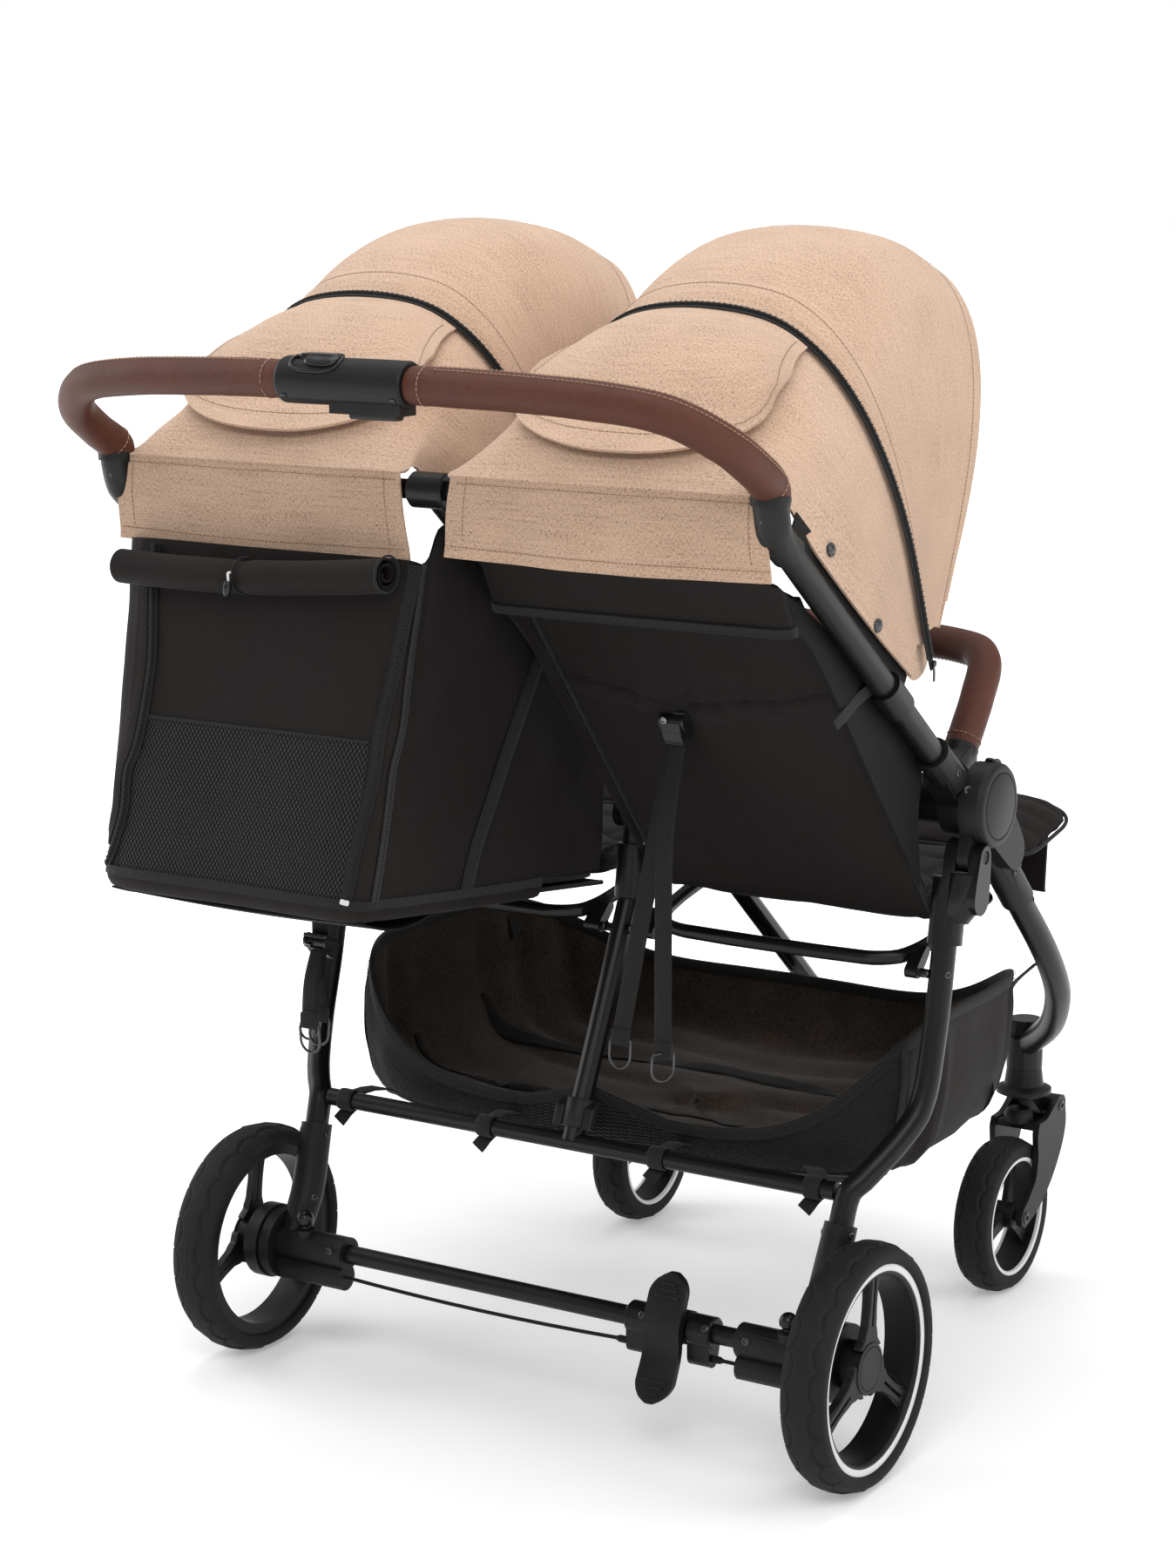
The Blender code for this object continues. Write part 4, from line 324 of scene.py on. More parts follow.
def tyre_foam(name):
    """Closed-cell foam tread, dull and dusty in patches."""
    n = Nodes(name)
    place = n.coordinates()
    cells = n.noise(place, 700.0, 3.0, 0.7)
    dust = n.noise(place, 30.0, 4.0, 0.65)
    base = n.ramp(dust, ((0.35, (0.007, 0.007, 0.0072)), (0.6, (0.011, 0.0108, 0.0105)),
                         (0.85, (0.02, 0.019, 0.018))))
    return n.finish(base, n.range(dust, 0.66, 0.86), n.bump(cells, 0.35, 0.0006), Specular_IOR_Level=0.28)


def ring_plastic(name):
    """White ring bonded to the rim's face."""
    n = Nodes(name)
    place = n.coordinates()
    cloud = n.noise(place, 24.0, 3.0, 0.6)
    base = n.ramp(cloud, ((0.3, (0.7, 0.7, 0.69)), (0.7, (0.82, 0.82, 0.81))))
    return n.finish(base, n.range(cloud, 0.28, 0.42), n.bump(n.noise(place, 800.0), 0.06, 0.0003))


def strap_webbing(name, colour):
    """Woven polyester webbing: cross ribs with a raised selvedge."""
    n = Nodes(name)
    ribs = n.wave(n.coordinates(kind="UV"), 190.0, "Y")
    yarn = n.noise(n.coordinates((900, 500, 1), "UV"), 1.0, 2.0, 0.6)
    tone = n.weighted(ribs, 0.6, yarn, 0.4)
    base = n.ramp(tone, ((0.2, scaled(colour, 0.5)), (0.8, scaled(colour, 1.5))))
    return n.finish(base, n.range(yarn, 0.62, 0.82), n.bump(tone, 0.7, 0.0006), Sheen_Weight=0.08,
                    Specular_IOR_Level=0.25)


def bright_metal(name, colour, rough):
    """Plated metal of snaps, wire loops and sliders."""
    n = Nodes(name)
    place = n.coordinates()
    brushed = n.noise(place, 1400.0, 2.0, 0.6)
    base = n.ramp(brushed, ((0.3, scaled(colour, 0.8)), (0.7, colour)))
    return n.finish(base, n.range(brushed, rough - 0.06, rough + 0.08), n.bump(brushed, 0.05, 0.0002), Metallic=1.0)


SAND = heather_cloth("sand_weave", (0.7, 0.48, 0.338), (0.56, 0.36, 0.238), (0.215, 0.122, 0.074))
BLACK = nylon_cloth("black_nylon", (0.0088, 0.0068, 0.006), 0.03)
BLACK_PAD = nylon_cloth("black_nylon_pad", (0.0088, 0.0068, 0.006), 0.03, "Object")
# Black lining, darker than the nylon; on the upright seat's outer wall it is painted shade for the recessed cloth.
LINING_AND_SHADE = nylon_cloth("black_lining_and_shade", (0.0044, 0.0038, 0.0036), 0.01)
BASKET_CLOTH = nylon_cloth("basket_twill", (0.0082, 0.0065, 0.0056), 0.02)
MELANGE = melange_cloth("basket_melange", (0.0085, 0.0062, 0.0048), (0.072, 0.05, 0.036))
# The second colour of each net is painted shade for its holes.
NET = net_cloth("window_net", (0.023, 0.0205, 0.0195), (0.0012, 0.0011, 0.0011), 0.0044, 0.05)
FINE_NET = net_cloth("basket_net", (0.012, 0.011, 0.011), (0.0025, 0.0025, 0.0025), 0.0026, 0.15)
LEATHER = leatherette("brown_leatherette", (0.092, 0.027, 0.0135))
METAL = coated_metal("black_coated_tube", (0.005, 0.0048, 0.0045), 0.34)
PLASTIC = moulded_plastic("black_moulding", (0.0062, 0.006, 0.0058), 0.44)
GLOSS = moulded_plastic("smooth_black_moulding", (0.0052, 0.005, 0.0048), 0.26, 0.08, 0.32)
FOAM = tyre_foam("tyre_foam")
WHITE = ring_plastic("white_ring")
STRAP = strap_webbing("black_webbing", (0.008, 0.0074, 0.007))
BINDING = strap_webbing("black_binding", (0.006, 0.0056, 0.0054))
THREAD = strap_webbing("light_thread", (0.42, 0.26, 0.17))
SAND_THREAD = strap_webbing("sand_thread", (0.33, 0.2, 0.125))
STEEL = bright_metal("plated_steel", (0.2, 0.2, 0.205), 0.3)
DARK_STEEL = bright_metal("blackened_steel", (0.075, 0.075, 0.078), 0.34)
GREY_TAPE = strap_webbing("dark_grey_zip", (0.021, 0.0205, 0.02))


# Mesh helpers

ACROSS = Vector((1, 0, 0))
# Stitches as pitch, length, radius and lift
SAND_STITCH = (0.0042, 0.003, 0.00035, 0.0008)
PAD_STITCH = (0.0042, 0.0028, 0.0004, 0.0006)
LEATHER_STITCH = (0.0046, 0.0033, 0.0006, 0.0006)
VOXEL = 0.0055
CLOTH_FRAMES = 20
# Least area of a cloth piece, as a share of its flat width times length
LEAST_AREA = 0.31
# Distance of the first stitch or zip tooth from the start of its path
START = 0.001


def turns(count, more=0):
    """Angles of so many even steps round a circle, with some more steps after the last."""
    return [2 * math.pi * k / count for k in range(count + more)]


def bent(value, power):
    """Power of a number that keeps its sign."""
    return math.copysign(abs(value) ** power, value)


def eased(marks, place):
    """Value at a place between (place, value) marks, with a soft start and end between each two."""
    for (near, low), (far, high) in zip(marks, marks[1:]):
        if near <= place <= far:
            f = (place - near) / (far - near)
            return low + (high - low) * f * f * (3 - 2 * f)
    return marks[-1][1]


def running(points):
    """Distance along a path at each of its points."""
    runs = [0.0]
    for a, b in zip(points, points[1:]):
        runs.append(runs[-1] + (b - a).length)
    return runs


def nearest(values, wanted):
    return min(range(len(values)), key=lambda i: abs(values[i] - wanted))


def heading(path, i):
    """Direction of a path at one of its points."""
    return (path[min(i + 1, len(path) - 1)] - path[max(i - 1, 0)]).normalized()


def quads(bm, verts, around=False, onward=False):
    """Makes the faces between rows of vertices, and gives each with its i, k and the next i, k."""
    rows, count = len(verts), len(verts[0])
    for i in range(rows if onward else rows - 1):
        for k in range(count if around else count - 1):
            j, n = (i + 1) % rows, (k + 1) % count
            yield bm.faces.new((verts[i][k], verts[i][n], verts[j][n], verts[j][k])), i, k, j, n


def lay(face, layer, u0, u1, v0, v1):
    """Gives a face of four corners its UV rectangle."""
    for loop, uv in zip(face.loops, ((u0, v0), (u1, v0), (u1, v1), (u0, v1))):
        loop[layer].uv = uv


def catmull(a, b, c, d, t):
    return 0.5 * (2 * b + (c - a) * t + (2 * a - 5 * b + 4 * c - d) * t * t + (3 * b - a - 3 * c + d) * t ** 3)


def smooth(points, steps):
    """Smooth curve through the points, with so many steps between each two."""
    knots = [Vector(p) for p in points]
    knots = [2 * knots[0] - knots[1], *knots, 2 * knots[-1] - knots[-2]]
    path = []
    for i in range(1, len(knots) - 2):
        for step in range(steps):
            path.append(catmull(*knots[i - 1:i + 3], step / steps))
    path.append(knots[-2])
    return path


def spaced(points, distance, phase):
    """(point, direction) at even distances along a path."""
    found = []
    left = phase
    for near, far in zip(points, points[1:]):
        piece = far - near
        length = piece.length
        if length < 1e-9:
            continue
        while left <= length:
            found.append((near + piece * (left / length), piece / length))
            left += distance
        left -= length
    return found


def path_length(points):
    return sum((b - a).length for a, b in zip(points, points[1:]))


def refine(rows, across, along):
    """Grid with smooth curves through its points, both ways."""
    wide = [smooth(row, across) for row in rows]
    columns = [smooth([row[k] for row in wide], along) for k in range(len(wide[0]))]
    return [[column[i] for column in columns] for i in range(len(columns[0]))]


def grid_normals(rows, inside):
    """Unit normals of a grid's points, which look away from the inside point."""
    normals = []
    last_i, last_k = len(rows) - 1, len(rows[0]) - 1
    for i, row in enumerate(rows):
        line = []
        for k in range(len(row)):
            a = row[min(k + 1, last_k)] - row[max(k - 1, 0)]
            b = rows[min(i + 1, last_i)][k] - rows[max(i - 1, 0)][k]
            line.append(a.cross(b).normalized())
        normals.append(line)
    middle_i, middle_k = len(rows) // 2, len(rows[0]) // 2
    if normals[middle_i][middle_k].dot(rows[middle_i][middle_k] - inside) < 0:
        normals = [[-n for n in line] for line in normals]
    return normals


def pushed(rows, normals, amount):
    """Grid moved along its normals by amount, a function of (i, k)."""
    return [[p + normals[i][k] * amount(i, k) for k, p in enumerate(row)] for i, row in enumerate(rows)]


def placed(name, data):
    """New object in the scene."""
    obj = bpy.data.objects.new(name, data)
    bpy.context.scene.collection.objects.link(obj)
    return obj


def make(name, bm, material, angle, body=None):
    """Named object from a bmesh, with its material, riding on a body."""
    bmesh.ops.recalc_face_normals(bm, faces=bm.faces)
    mesh = bpy.data.meshes.new(name)
    bm.to_mesh(mesh)
    bm.free()
    for m in material if isinstance(material, (list, tuple)) else [material]:
        mesh.materials.append(m)
    mesh.shade_smooth()
    mesh.set_sharp_from_angle(angle=math.radians(angle))
    obj = placed(name, mesh)
    if body is not None:
        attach(obj, body)
    return obj


def grid_mesh(bm, layer, rows):
    """Faces of a grid, with its UV map in metres: u across the rows and v from row to row."""
    verts = [[bm.verts.new(p) for p in row] for row in rows]
    across = running(rows[len(rows) // 2])
    along = running([row[len(rows[0]) // 2] for row in rows])
    for face, i, k, j, n in quads(bm, verts):
        lay(face, layer, across[k], across[n], along[i], along[j])
    return verts


def cloth_solid(name, rows, thickness, material, inside, body, hem):
    """Closed cloth: outer grid, inner grid and edge strips, with the hem a little thicker."""
    normals = grid_normals(rows, inside)
    last_i, last_k = len(rows) - 1, len(rows[0]) - 1

    def thicker(i, k):
        return hem if min(i, last_i - i, k, last_k - k) == 0 else 0.0

    outer = pushed(rows, normals, thicker)
    inner = pushed(rows, normals, lambda i, k: -thickness - thicker(i, k))
    bm = bmesh.new()
    layer = bm.loops.layers.uv.verify()
    top, under = grid_mesh(bm, layer, outer), grid_mesh(bm, layer, inner)
    ring = [(0, k) for k in range(last_k)] + [(i, last_k) for i in range(last_i)]
    ring += [(last_i, k) for k in range(last_k, 0, -1)] + [(i, 0) for i in range(last_i, 0, -1)]
    for (a, b), (c, d) in zip(ring, ring[1:] + ring[:1]):
        for loop in bm.faces.new((top[a][b], top[c][d], under[c][d], under[a][b])).loops:
            loop[layer].uv = (loop.vert.co.x + loop.vert.co.y, loop.vert.co.z)
    return make(name, bm, material, 60, body)


def grid_size(rows):
    """(width, length, area) of a grid, in metres."""
    width = max(path_length(row) for row in rows)
    length = max(path_length([row[k] for row in rows]) for k in range(len(rows[0])))
    area = 0.0
    for near, far in zip(rows, rows[1:]):
        for k in range(len(near) - 1):
            area += (near[k + 1] - near[k]).cross(far[k] - near[k]).length / 2
            area += (near[k + 1] - far[k + 1]).cross(far[k] - far[k + 1]).length / 2
    return width, length, area


def sewn(name, rows, thickness, material, inside, body, hem, node=None):
    """Closed cloth piece, which hides the node that it stands for; its flat size is worked out but not used."""
    piece = cloth_solid(name, rows, thickness, material, inside, body, hem)
    if node:
        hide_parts(node)
    width, length, area = grid_size(rows)
    area = max(LEAST_AREA * width * length, min(area, width * length))
    return piece


def frames(path, up):
    """(point, direction, side, up) along a path, with up kept near the given direction."""
    found = []
    for i, point in enumerate(path):
        along = heading(path, i)
        guide = up[i] if isinstance(up, list) else Vector(up)
        side = along.cross(guide)
        if side.length < 1e-6:
            side = along.cross(Vector((0.3, 0.9, 0.2)))
        side.normalize()
        found.append((point, along, side, side.cross(along).normalized()))
    return found


def profile_sweep(path, profile, up, bm=None, closed=False):
    """Solid with the profile of (side, up) points along a path."""
    bm = bm or bmesh.new()
    layer = bm.loops.layers.uv.verify()
    runs = running(path)
    around = running([Vector(p) for p in profile] + [Vector(profile[0])])
    rings = [[bm.verts.new(point + side * a + top * b) for a, b in profile] for point, _, side, top in frames(path, up)]
    for face, i, k, j, _ in quads(bm, rings, True, closed):
        lay(face, layer, around[k], around[k + 1], runs[i], runs[j] if j > i else runs[i] + (path[0] - path[-1]).length)
    if not closed:
        bm.faces.new(rings[0])
        bm.faces.new(rings[-1])
    return bm


def round_profile(radius, sides):
    return [(radius * math.cos(a), radius * math.sin(a)) for a in turns(sides)]


def strap_profile(width, thickness):
    """Flat strap with rounded selvedges."""
    w, t = width / 2, thickness / 2
    return [(-w, 0), (-w * 0.93, t * 0.8), (-w * 0.5, t), (w * 0.5, t), (w * 0.93, t * 0.8), (w, 0),
            (w * 0.93, -t * 0.8), (w * 0.5, -t), (-w * 0.5, -t), (-w * 0.93, -t * 0.8)]


def tape(name, path, width, thickness, up, material, body, closed=False):
    """Flat strap along a path, with its faces towards the up direction or directions."""
    return make(name, profile_sweep(path, strap_profile(width, thickness), up, None, closed), material, 50, body)


def strap(name, points, width, thickness, up, material, body, steps):
    tape(name, smooth(points, steps), width, thickness, up, material, body)


def cord(name, path, radius, sides, up, material, body, closed=False, angle=60):
    """Round cord, piping or wire along a path."""
    return make(name, profile_sweep(path, round_profile(radius, sides), up, None, closed), material, angle, body)


def stitches(name, lines, gauge, material, body=None, angle=60):
    """Rows of stitches along lines, each a path with its normals. gauge is pitch, length, radius and lift."""
    bm = bmesh.new()
    for line, normals in lines:
        stitch_row(bm, line, normals, *gauge)
    return make(name, bm, material, angle, body)


def stitch_row(bm, path, normals, pitch, length, radius, lift):
    """Row of short raised stitches along a path. normals is one direction or one for each point."""
    layer = bm.loops.layers.uv.verify()
    count = max(1, int((path_length(path) - START) / pitch))
    steps = running(path)
    for index, (point, along) in enumerate(spaced(path, pitch, START)[:count]):
        normal = normals[nearest(steps, START + index * pitch)] if isinstance(normals, list) else normals
        side = along.cross(normal).normalized()
        top = side.cross(along).normalized()
        rings = []
        for run_at, high in ((-0.5, 0.15), (-0.28, 0.9), (0.28, 0.9), (0.5, 0.15)):
            middle = point + along * (run_at * length) + top * (lift * high)
            rings.append([bm.verts.new(middle + side * a * radius + top * b * radius * 0.8)
                          for a, b in ((-1, -0.6), (0, 1), (1, -0.6))])
        for near, far in zip(rings, rings[1:]):
            for k in range(3):
                for loop in bm.faces.new((near[k], near[(k + 1) % 3], far[(k + 1) % 3], far[k])).loops:
                    loop[layer].uv = (loop.vert.co.x * 3, loop.vert.co.z * 3)
        bm.faces.new(rings[0])
        bm.faces.new(rings[-1])


def turned(profile, centre, axis, segments, bm=None):
    """Solid of revolution. Each profile point is (distance along the axis, radius)."""
    bm = bm or bmesh.new()
    layer = bm.loops.layers.uv.verify()
    axis = Vector(axis).normalized()
    guess = Vector((0, 0, 1)) if abs(axis.z) < 0.9 else Vector((0, 1, 0))
    side = (guess - axis * guess.dot(axis)).normalized()
    up = axis.cross(side)
    rings = []
    for along, radius in profile:
        middle = Vector(centre) + axis * along
        if radius <= 1e-9:
            rings.append([bm.verts.new(middle)])
            continue
        rings.append([bm.verts.new(middle + (side * math.cos(a) + up * math.sin(a)) * radius)
                      for a in turns(segments)])
    closed = profile[0][1] > 0 and profile[-1][1] > 0
    for near, far in zip(rings, rings[1:] + rings[:1] if closed else rings[1:]):
        for k in range(segments):
            n = (k + 1) % segments
            if len(near) == 1:
                corners = (near[0], far[n], far[k])
            elif len(far) == 1:
                corners = (near[k], near[n], far[0])
            else:
                corners = (near[k], near[n], far[n], far[k])
            for loop in bm.faces.new(corners).loops:
                loop[layer].uv = (loop.vert.co.x + loop.vert.co.y, loop.vert.co.z)
    return bm


def screw(bm, centre, axis, radius, height=0.0014):
    """Pan-head screw or rivet with a round socket."""
    socket = radius * 0.45
    profile = [(-0.0006, 0), (-0.0006, radius * 0.96), (0, radius), (height * 0.55, radius * 0.94),
               (height * 0.9, radius * 0.72), (height, socket * 1.15), (height * 0.92, socket),
               (height * 0.25, socket * 0.9), (height * 0.25, 0)]
    turned(profile, centre, axis, 18, bm)


# Canopies

# Where the upper tube starts, from the hinge, and how high the cloth's edge lies above its middle
TUBE_START = 0.155
EDGE_LIFT = 0.019


def edge_line(distance):
    """Lower canopy edge, at a small height above the upper tube."""
    y, z = polar(UPPER_ANGLE, TUBE_START + distance)
    turn = math.radians(UPPER_ANGLE)
    return y - EDGE_LIFT * math.sin(turn), z + EDGE_LIFT * math.cos(turn)


def bow(sign, angle, height, power, foot):
    """Row of points over a canopy bow, from its outer foot to its inner foot."""
    middle = (CANOPY_INNER_X + CANOPY_OUTER_X) / 2
    half = (CANOPY_OUTER_X - CANOPY_INNER_X) / 2
    row = []
    for k in range(13):
        turn = math.pi * (foot + (1 - 2 * foot) * k / 12)
        c, s = math.cos(turn), math.sin(turn)
        x = middle + half * bent(c, 2 / power)
        y, z = polar(angle, height * abs(s) ** (2 / power), CANOPY_PIVOT)
        row.append(at(sign * x, y, z))
    return row


def canopy_middle(sign):
    return at(sign * SEAT_X, -0.05, 0.85)


def rear_canopy_rows(sign):
    """Control rows of the rear canopy panel, from the crossbar seam to the zip."""
    seam_y = CROSSBAR[0] + CROSSBAR_R + 0.0033
    seam_z = CROSSBAR[1] + CROSSBAR_R + 0.0065
    outer = [(0.363, -0.056, 0.759), (0.361, *edge_line(0.145)), (0.358, *edge_line(0.262)),
             (0.344, BRACKET_Y - 0.02, seam_z)]
    inner = [(0.026, BRACKET_Y - 0.02, seam_z), (0.023, *edge_line(0.262)),
             (0.02, *edge_line(0.145)), (0.017, *edge_line(0.04))]
    top = [(0.33 - 0.302 * k / 4, seam_y, seam_z) for k in range(5)]
    rows = [[at(sign * x, y, z) for x, y, z in outer + top + inner]]
    for angle, height, power, foot in ((46.0, 0.327, 5.0, 0.0012), (55.0, 0.342, 3.7, 0.0034),
                                       (63.5, 0.346, 3.0, 0.0068), (71.6, 0.342, 2.67, 0.011)):
        rows.append(bow(sign, angle, height, power, foot))
    return rows


def front_canopy_rows(sign):
    """Control rows of the front canopy panel, from the zip to the front bow."""
    return [bow(sign, angle, height, power, 0.012)
            for angle, height, power in ((72.4, 0.3425, 2.67), (84.0, 0.37, 2.72), (97.0, 0.396, 2.76),
                                         (109.5, 0.412, 2.8), (121.0, 0.42, 2.82))]


def fold(x, centre, width):
    """Rounded ridge of height 1."""
    return math.exp(-((x - centre) / width) ** 2)


def rear_canopy_wrinkle(i, k, rows):
    """Height of the soft creases of the rear panel."""
    u = k / (len(rows[0]) - 1)
    v = i / (len(rows) - 1)
    point = rows[i][k]
    low = max(0.0, 1 - v / 0.55)
    drape = noise.noise(Vector((point.x * 9.0, point.y * 4.0, point.z * 4.0))) * 0.0034
    pulls = sum(fold(u + 0.3 * v, place, 0.03) * height
                for place, height in ((0.36, 0.0024), (0.46, -0.0018), (0.58, 0.0022), (0.7, -0.002)))
    corner = sum(fold(abs(u - 0.5) - 0.1 * v, place, 0.022) for place in (0.215, 0.262)) * 0.003
    side = 1 - fold(u, 0.0, 0.1) - fold(u, 1.0, 0.1)
    return (drape * (0.35 + 0.65 * low) + pulls * low * min(1.0, v / 0.12)
            - corner * low * min(1.0, v / 0.08)) * max(0.0, side)


def rear_canopy(sign, side):
    """Rear panel with its creases and hems, from the seam over the crossbar to the zip."""
    inside = canopy_middle(sign)
    rows = refine(rear_canopy_rows(sign), 5, 8)
    normals = grid_normals(rows, inside)
    rows = pushed(rows, normals, lambda i, k: 0.0004 + rear_canopy_wrinkle(i, k, rows))
    sewn(f"canopy_rear_panel_{side}", rows, 0.0018, SAND, inside, "handle_frame", 0.0004,
         f"canopy_rear_{side}")
    return rows, normals


def canopy_skirt(sign, side):
    """Skirt that hangs behind the crossbar, with a stitched hem and turned ends."""
    seam_y = CROSSBAR[0] + CROSSBAR_R + 0.0042
    seam_z = CROSSBAR[1] + CROSSBAR_R + 0.0058
    left, right = (0.3475, 0.026) if sign > 0 else (0.349, 0.03)
    columns, levels = 56, 14
    drop = 0.079 if sign > 0 else 0.072
    rows = []
    for i in range(levels + 1):
        t = i / levels
        row = []
        for k in range(columns + 1):
            u = k / columns
            x = left + (right - left) * u
            flare = fold(u, 1.0, 0.05) + fold(u, 0.0, 0.04)
            wave = noise.noise(Vector((sign * x * 11.0, t * 0.8, 3.0 + sign))) * 0.005 * t
            wave += math.sin(u * 23.0 + sign) * 0.0011 * t
            belly = 0.0035 * math.sin(math.pi * min(1.0, t * 1.15)) - 0.003 * t
            curl = flare * (0.003 * t * t - 0.002 * t)
            gather = 0.01 * t * (fold(u, 1.0, 0.1) - 0.35 * fold(u, 0.0, 0.12))
            sag = 0.0035 * math.sin(math.pi * u) * t
            row.append(at(sign * (x - gather), seam_y + wave + belly + curl, seam_z - drop * t - sag))
        rows.append(row)
    inside = at(sign * SEAT_X, 0.0, 0.9)
    sewn(f"canopy_skirt_{side}", rows, 0.0016, SAND, inside, "handle_frame", 0.0005)
    normals = grid_normals(rows, inside)
    seam = [p + n * 0.0004 + Vector((0, -0.001, 0.0006)) for p, n in zip(rows[0], normals[0])]
    cord(f"canopy_seam_{side}", seam, 0.0017, 8, (0, 0, 1), SAND, "handle_frame")

    def upright_line(column):
        return [row[column] for row in rows[:levels - 1]], [line[column] for line in normals[:levels - 1]]

    stitches(f"canopy_skirt_stitches_{side}",
             ((rows[levels - 2], normals[levels - 2]), upright_line(3), upright_line(columns - 3),
              (rows[1], normals[1])), SAND_STITCH, SAND_THREAD, "handle_frame")


def surface_point(rows, normals, u, v, lift):
    """Point on a refined grid at u across and v along, both from 0 to 1, lifted off it."""
    a = min(max(u, 0.0), 1.0) * (len(rows[0]) - 1)
    b = min(max(v, 0.0), 1.0) * (len(rows) - 1)
    k, i = min(int(a), len(rows[0]) - 2), min(int(b), len(rows) - 2)
    fa, fb = a - k, b - i

    def blend(g):
        low = g[i][k].lerp(g[i][k + 1], fa)
        high = g[i + 1][k].lerp(g[i + 1][k + 1], fa)
        return low.lerp(high, fb)

    return blend(rows) + blend(normals).normalized() * lift


def peekaboo_flap(sign, side, rows, normals):
    """Flap over the rear window: hung from the zip, with a rounded lower edge that lifts off."""
    columns, levels = 36, 24
    grid = []
    for i in range(levels + 1):
        s = i / levels
        line = []
        for k in range(columns + 1):
            w = 2 * k / columns - 1
            bottom = 0.1 + 0.46 * abs(w) ** 2.6
            v = 0.955 + (bottom - 0.955) * s
            half = 0.16 + 0.004 * s
            edge = max(abs(w) ** 6, s ** 5)
            ripple = noise.noise(Vector((w * 1.7 + sign, s * 2.2, 5.0))) * 0.003
            ripple += 0.0016 * math.sin(5.2 * s + 2.4 * w) * fold(w, 0.5, 0.6)
            lift = 0.0034 + 0.004 * s + 0.0045 * edge * s + ripple * (0.25 + 0.75 * s)
            line.append(surface_point(rows, normals, 0.495 + half * w, v, max(0.0028, lift)))
        grid.append(line)
    inside = canopy_middle(sign)
    sewn(f"canopy_flap_{side}", grid, 0.0016, SAND, inside, "handle_frame", 0.0006)
    flap_normals = grid_normals(grid, inside)
    rim = ([(i, 2) for i in range(2, levels - 1)] + [(levels - 2, k) for k in range(3, columns - 2)]
           + [(i, columns - 2) for i in range(levels - 2, 1, -1)])
    stitches(f"canopy_flap_stitches_{side}", (([grid[i][k] for i, k in rim], [flap_normals[i][k] for i, k in rim]),),
             SAND_STITCH, SAND_THREAD, "handle_frame")


def zip_line(name, path, normals, body, width):
    """Zip along a path: tape with raised coil and its teeth."""
    w = width / 2
    profile = [(-w, -0.0004), (-w, 0.0006), (-0.0024, 0.001), (-0.0018, 0.0024), (0.0, 0.0029),
               (0.0018, 0.0024), (0.0024, 0.001), (w, 0.0006), (w, -0.0004)]
    make(name, profile_sweep(path, profile, normals), BINDING, 45, body)
    bm = bmesh.new()
    pitch = 0.0028
    steps = running(path)
    spot = 0
    for index, (point, along) in enumerate(spaced(path, pitch, START)):
        while spot < len(steps) - 2 and steps[spot + 1] < START + index * pitch:
            spot += 1
        top = normals[spot]
        side = along.cross(top).normalized()
        shift = 0.0006 if index % 2 else -0.0006
        middle = point + top * 0.0028 + side * shift
        corners = [bm.verts.new(middle + side * a * 0.0017 + along * b * 0.0008 + top * c * 0.0006)
                   for c in (-1, 1) for a, b in ((-1, -1), (1, -1), (1, 1), (-1, 1))]
        for face in ((0, 1, 2, 3), (4, 5, 6, 7), (0, 1, 5, 4), (1, 2, 6, 5), (2, 3, 7, 6), (3, 0, 4, 7)):
            bm.faces.new([corners[f] for f in face])
    make(f"{name}_teeth", bm, GREY_TAPE, 30, body)


def front_canopy(sign, side):
    """Front panel with its raised rear flange, and the visor folded in under its front edge."""
    inside = canopy_middle(sign)
    body = f"canopy_{side}"
    rows = refine(front_canopy_rows(sign), 5, 7)
    normals = grid_normals(rows, inside)
    count = len(rows) - 1

    def height(i, k):
        v = i / count
        u = k / (len(rows[0]) - 1)
        flange = 0.0034 * (fold(v, 0.075, 0.042) + 0.5 * fold(v, 0.035, 0.03))
        point = rows[i][k]
        billow = noise.noise(Vector((point.x * 7.0, point.y * 5.0, point.z * 5.0 + sign))) * 0.003
        stretch = -0.005 * math.sin(math.pi * v) * abs(math.cos(math.pi * u)) ** 2
        foot = 1 - fold(u, 0.0, 0.05) - fold(u, 1.0, 0.05)
        return 0.0003 + flange + (billow * math.sin(math.pi * v) + stretch) * max(0.0, foot)

    rows = pushed(rows, normals, height)
    panel = sewn(f"canopy_front_panel_{side}", rows, 0.0018, SAND, inside, None, 0.0005,
                 f"canopy_front_{side}")
    middle = len(rows[0]) // 2
    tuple(rows[0][middle])
    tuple(rows[-1][middle])
    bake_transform(panel)
    bow_path = [p + n * -0.0065 + Vector((0, 0.003, 0)) for p, n in zip(rows[-1], normals[-1])]
    cord(f"canopy_front_bow_{side}", bow_path[2:-2], 0.0035, 8, (0, 0, 1), PLASTIC, body)
    columns = len(rows[0])
    visor = []
    for step, (depth, out) in enumerate(((0.0, 0.001), (0.004, 0.003), (0.01, 0.0016), (0.022, -0.004),
                                         (0.038, -0.0085), (0.054, -0.011))):
        line = []
        for k in range(1, columns - 1):
            u = k / (columns - 1)
            back = (rows[-4][k] - rows[-1][k]).normalized()
            shape = math.sin(math.pi * u) ** 0.5
            forward = back * -0.0035 if step in (1, 2) else Vector()
            line.append(rows[-1][k] + normals[-1][k] * (out - 0.0035) + back * depth * shape + forward)
        visor.append(line)
    sewn(f"canopy_visor_{side}", refine(visor, 1, 3), 0.0014, SAND, inside, body, 0.0003)
    sewing = stitches(f"canopy_front_stitches_{side}",
                      [(rows[level], normals[level]) for level in (int(count * 0.135), count - 2)],
                      SAND_STITCH, SAND_THREAD)
    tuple(rows[0][middle])
    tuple(rows[-1][middle])
    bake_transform(sewing)


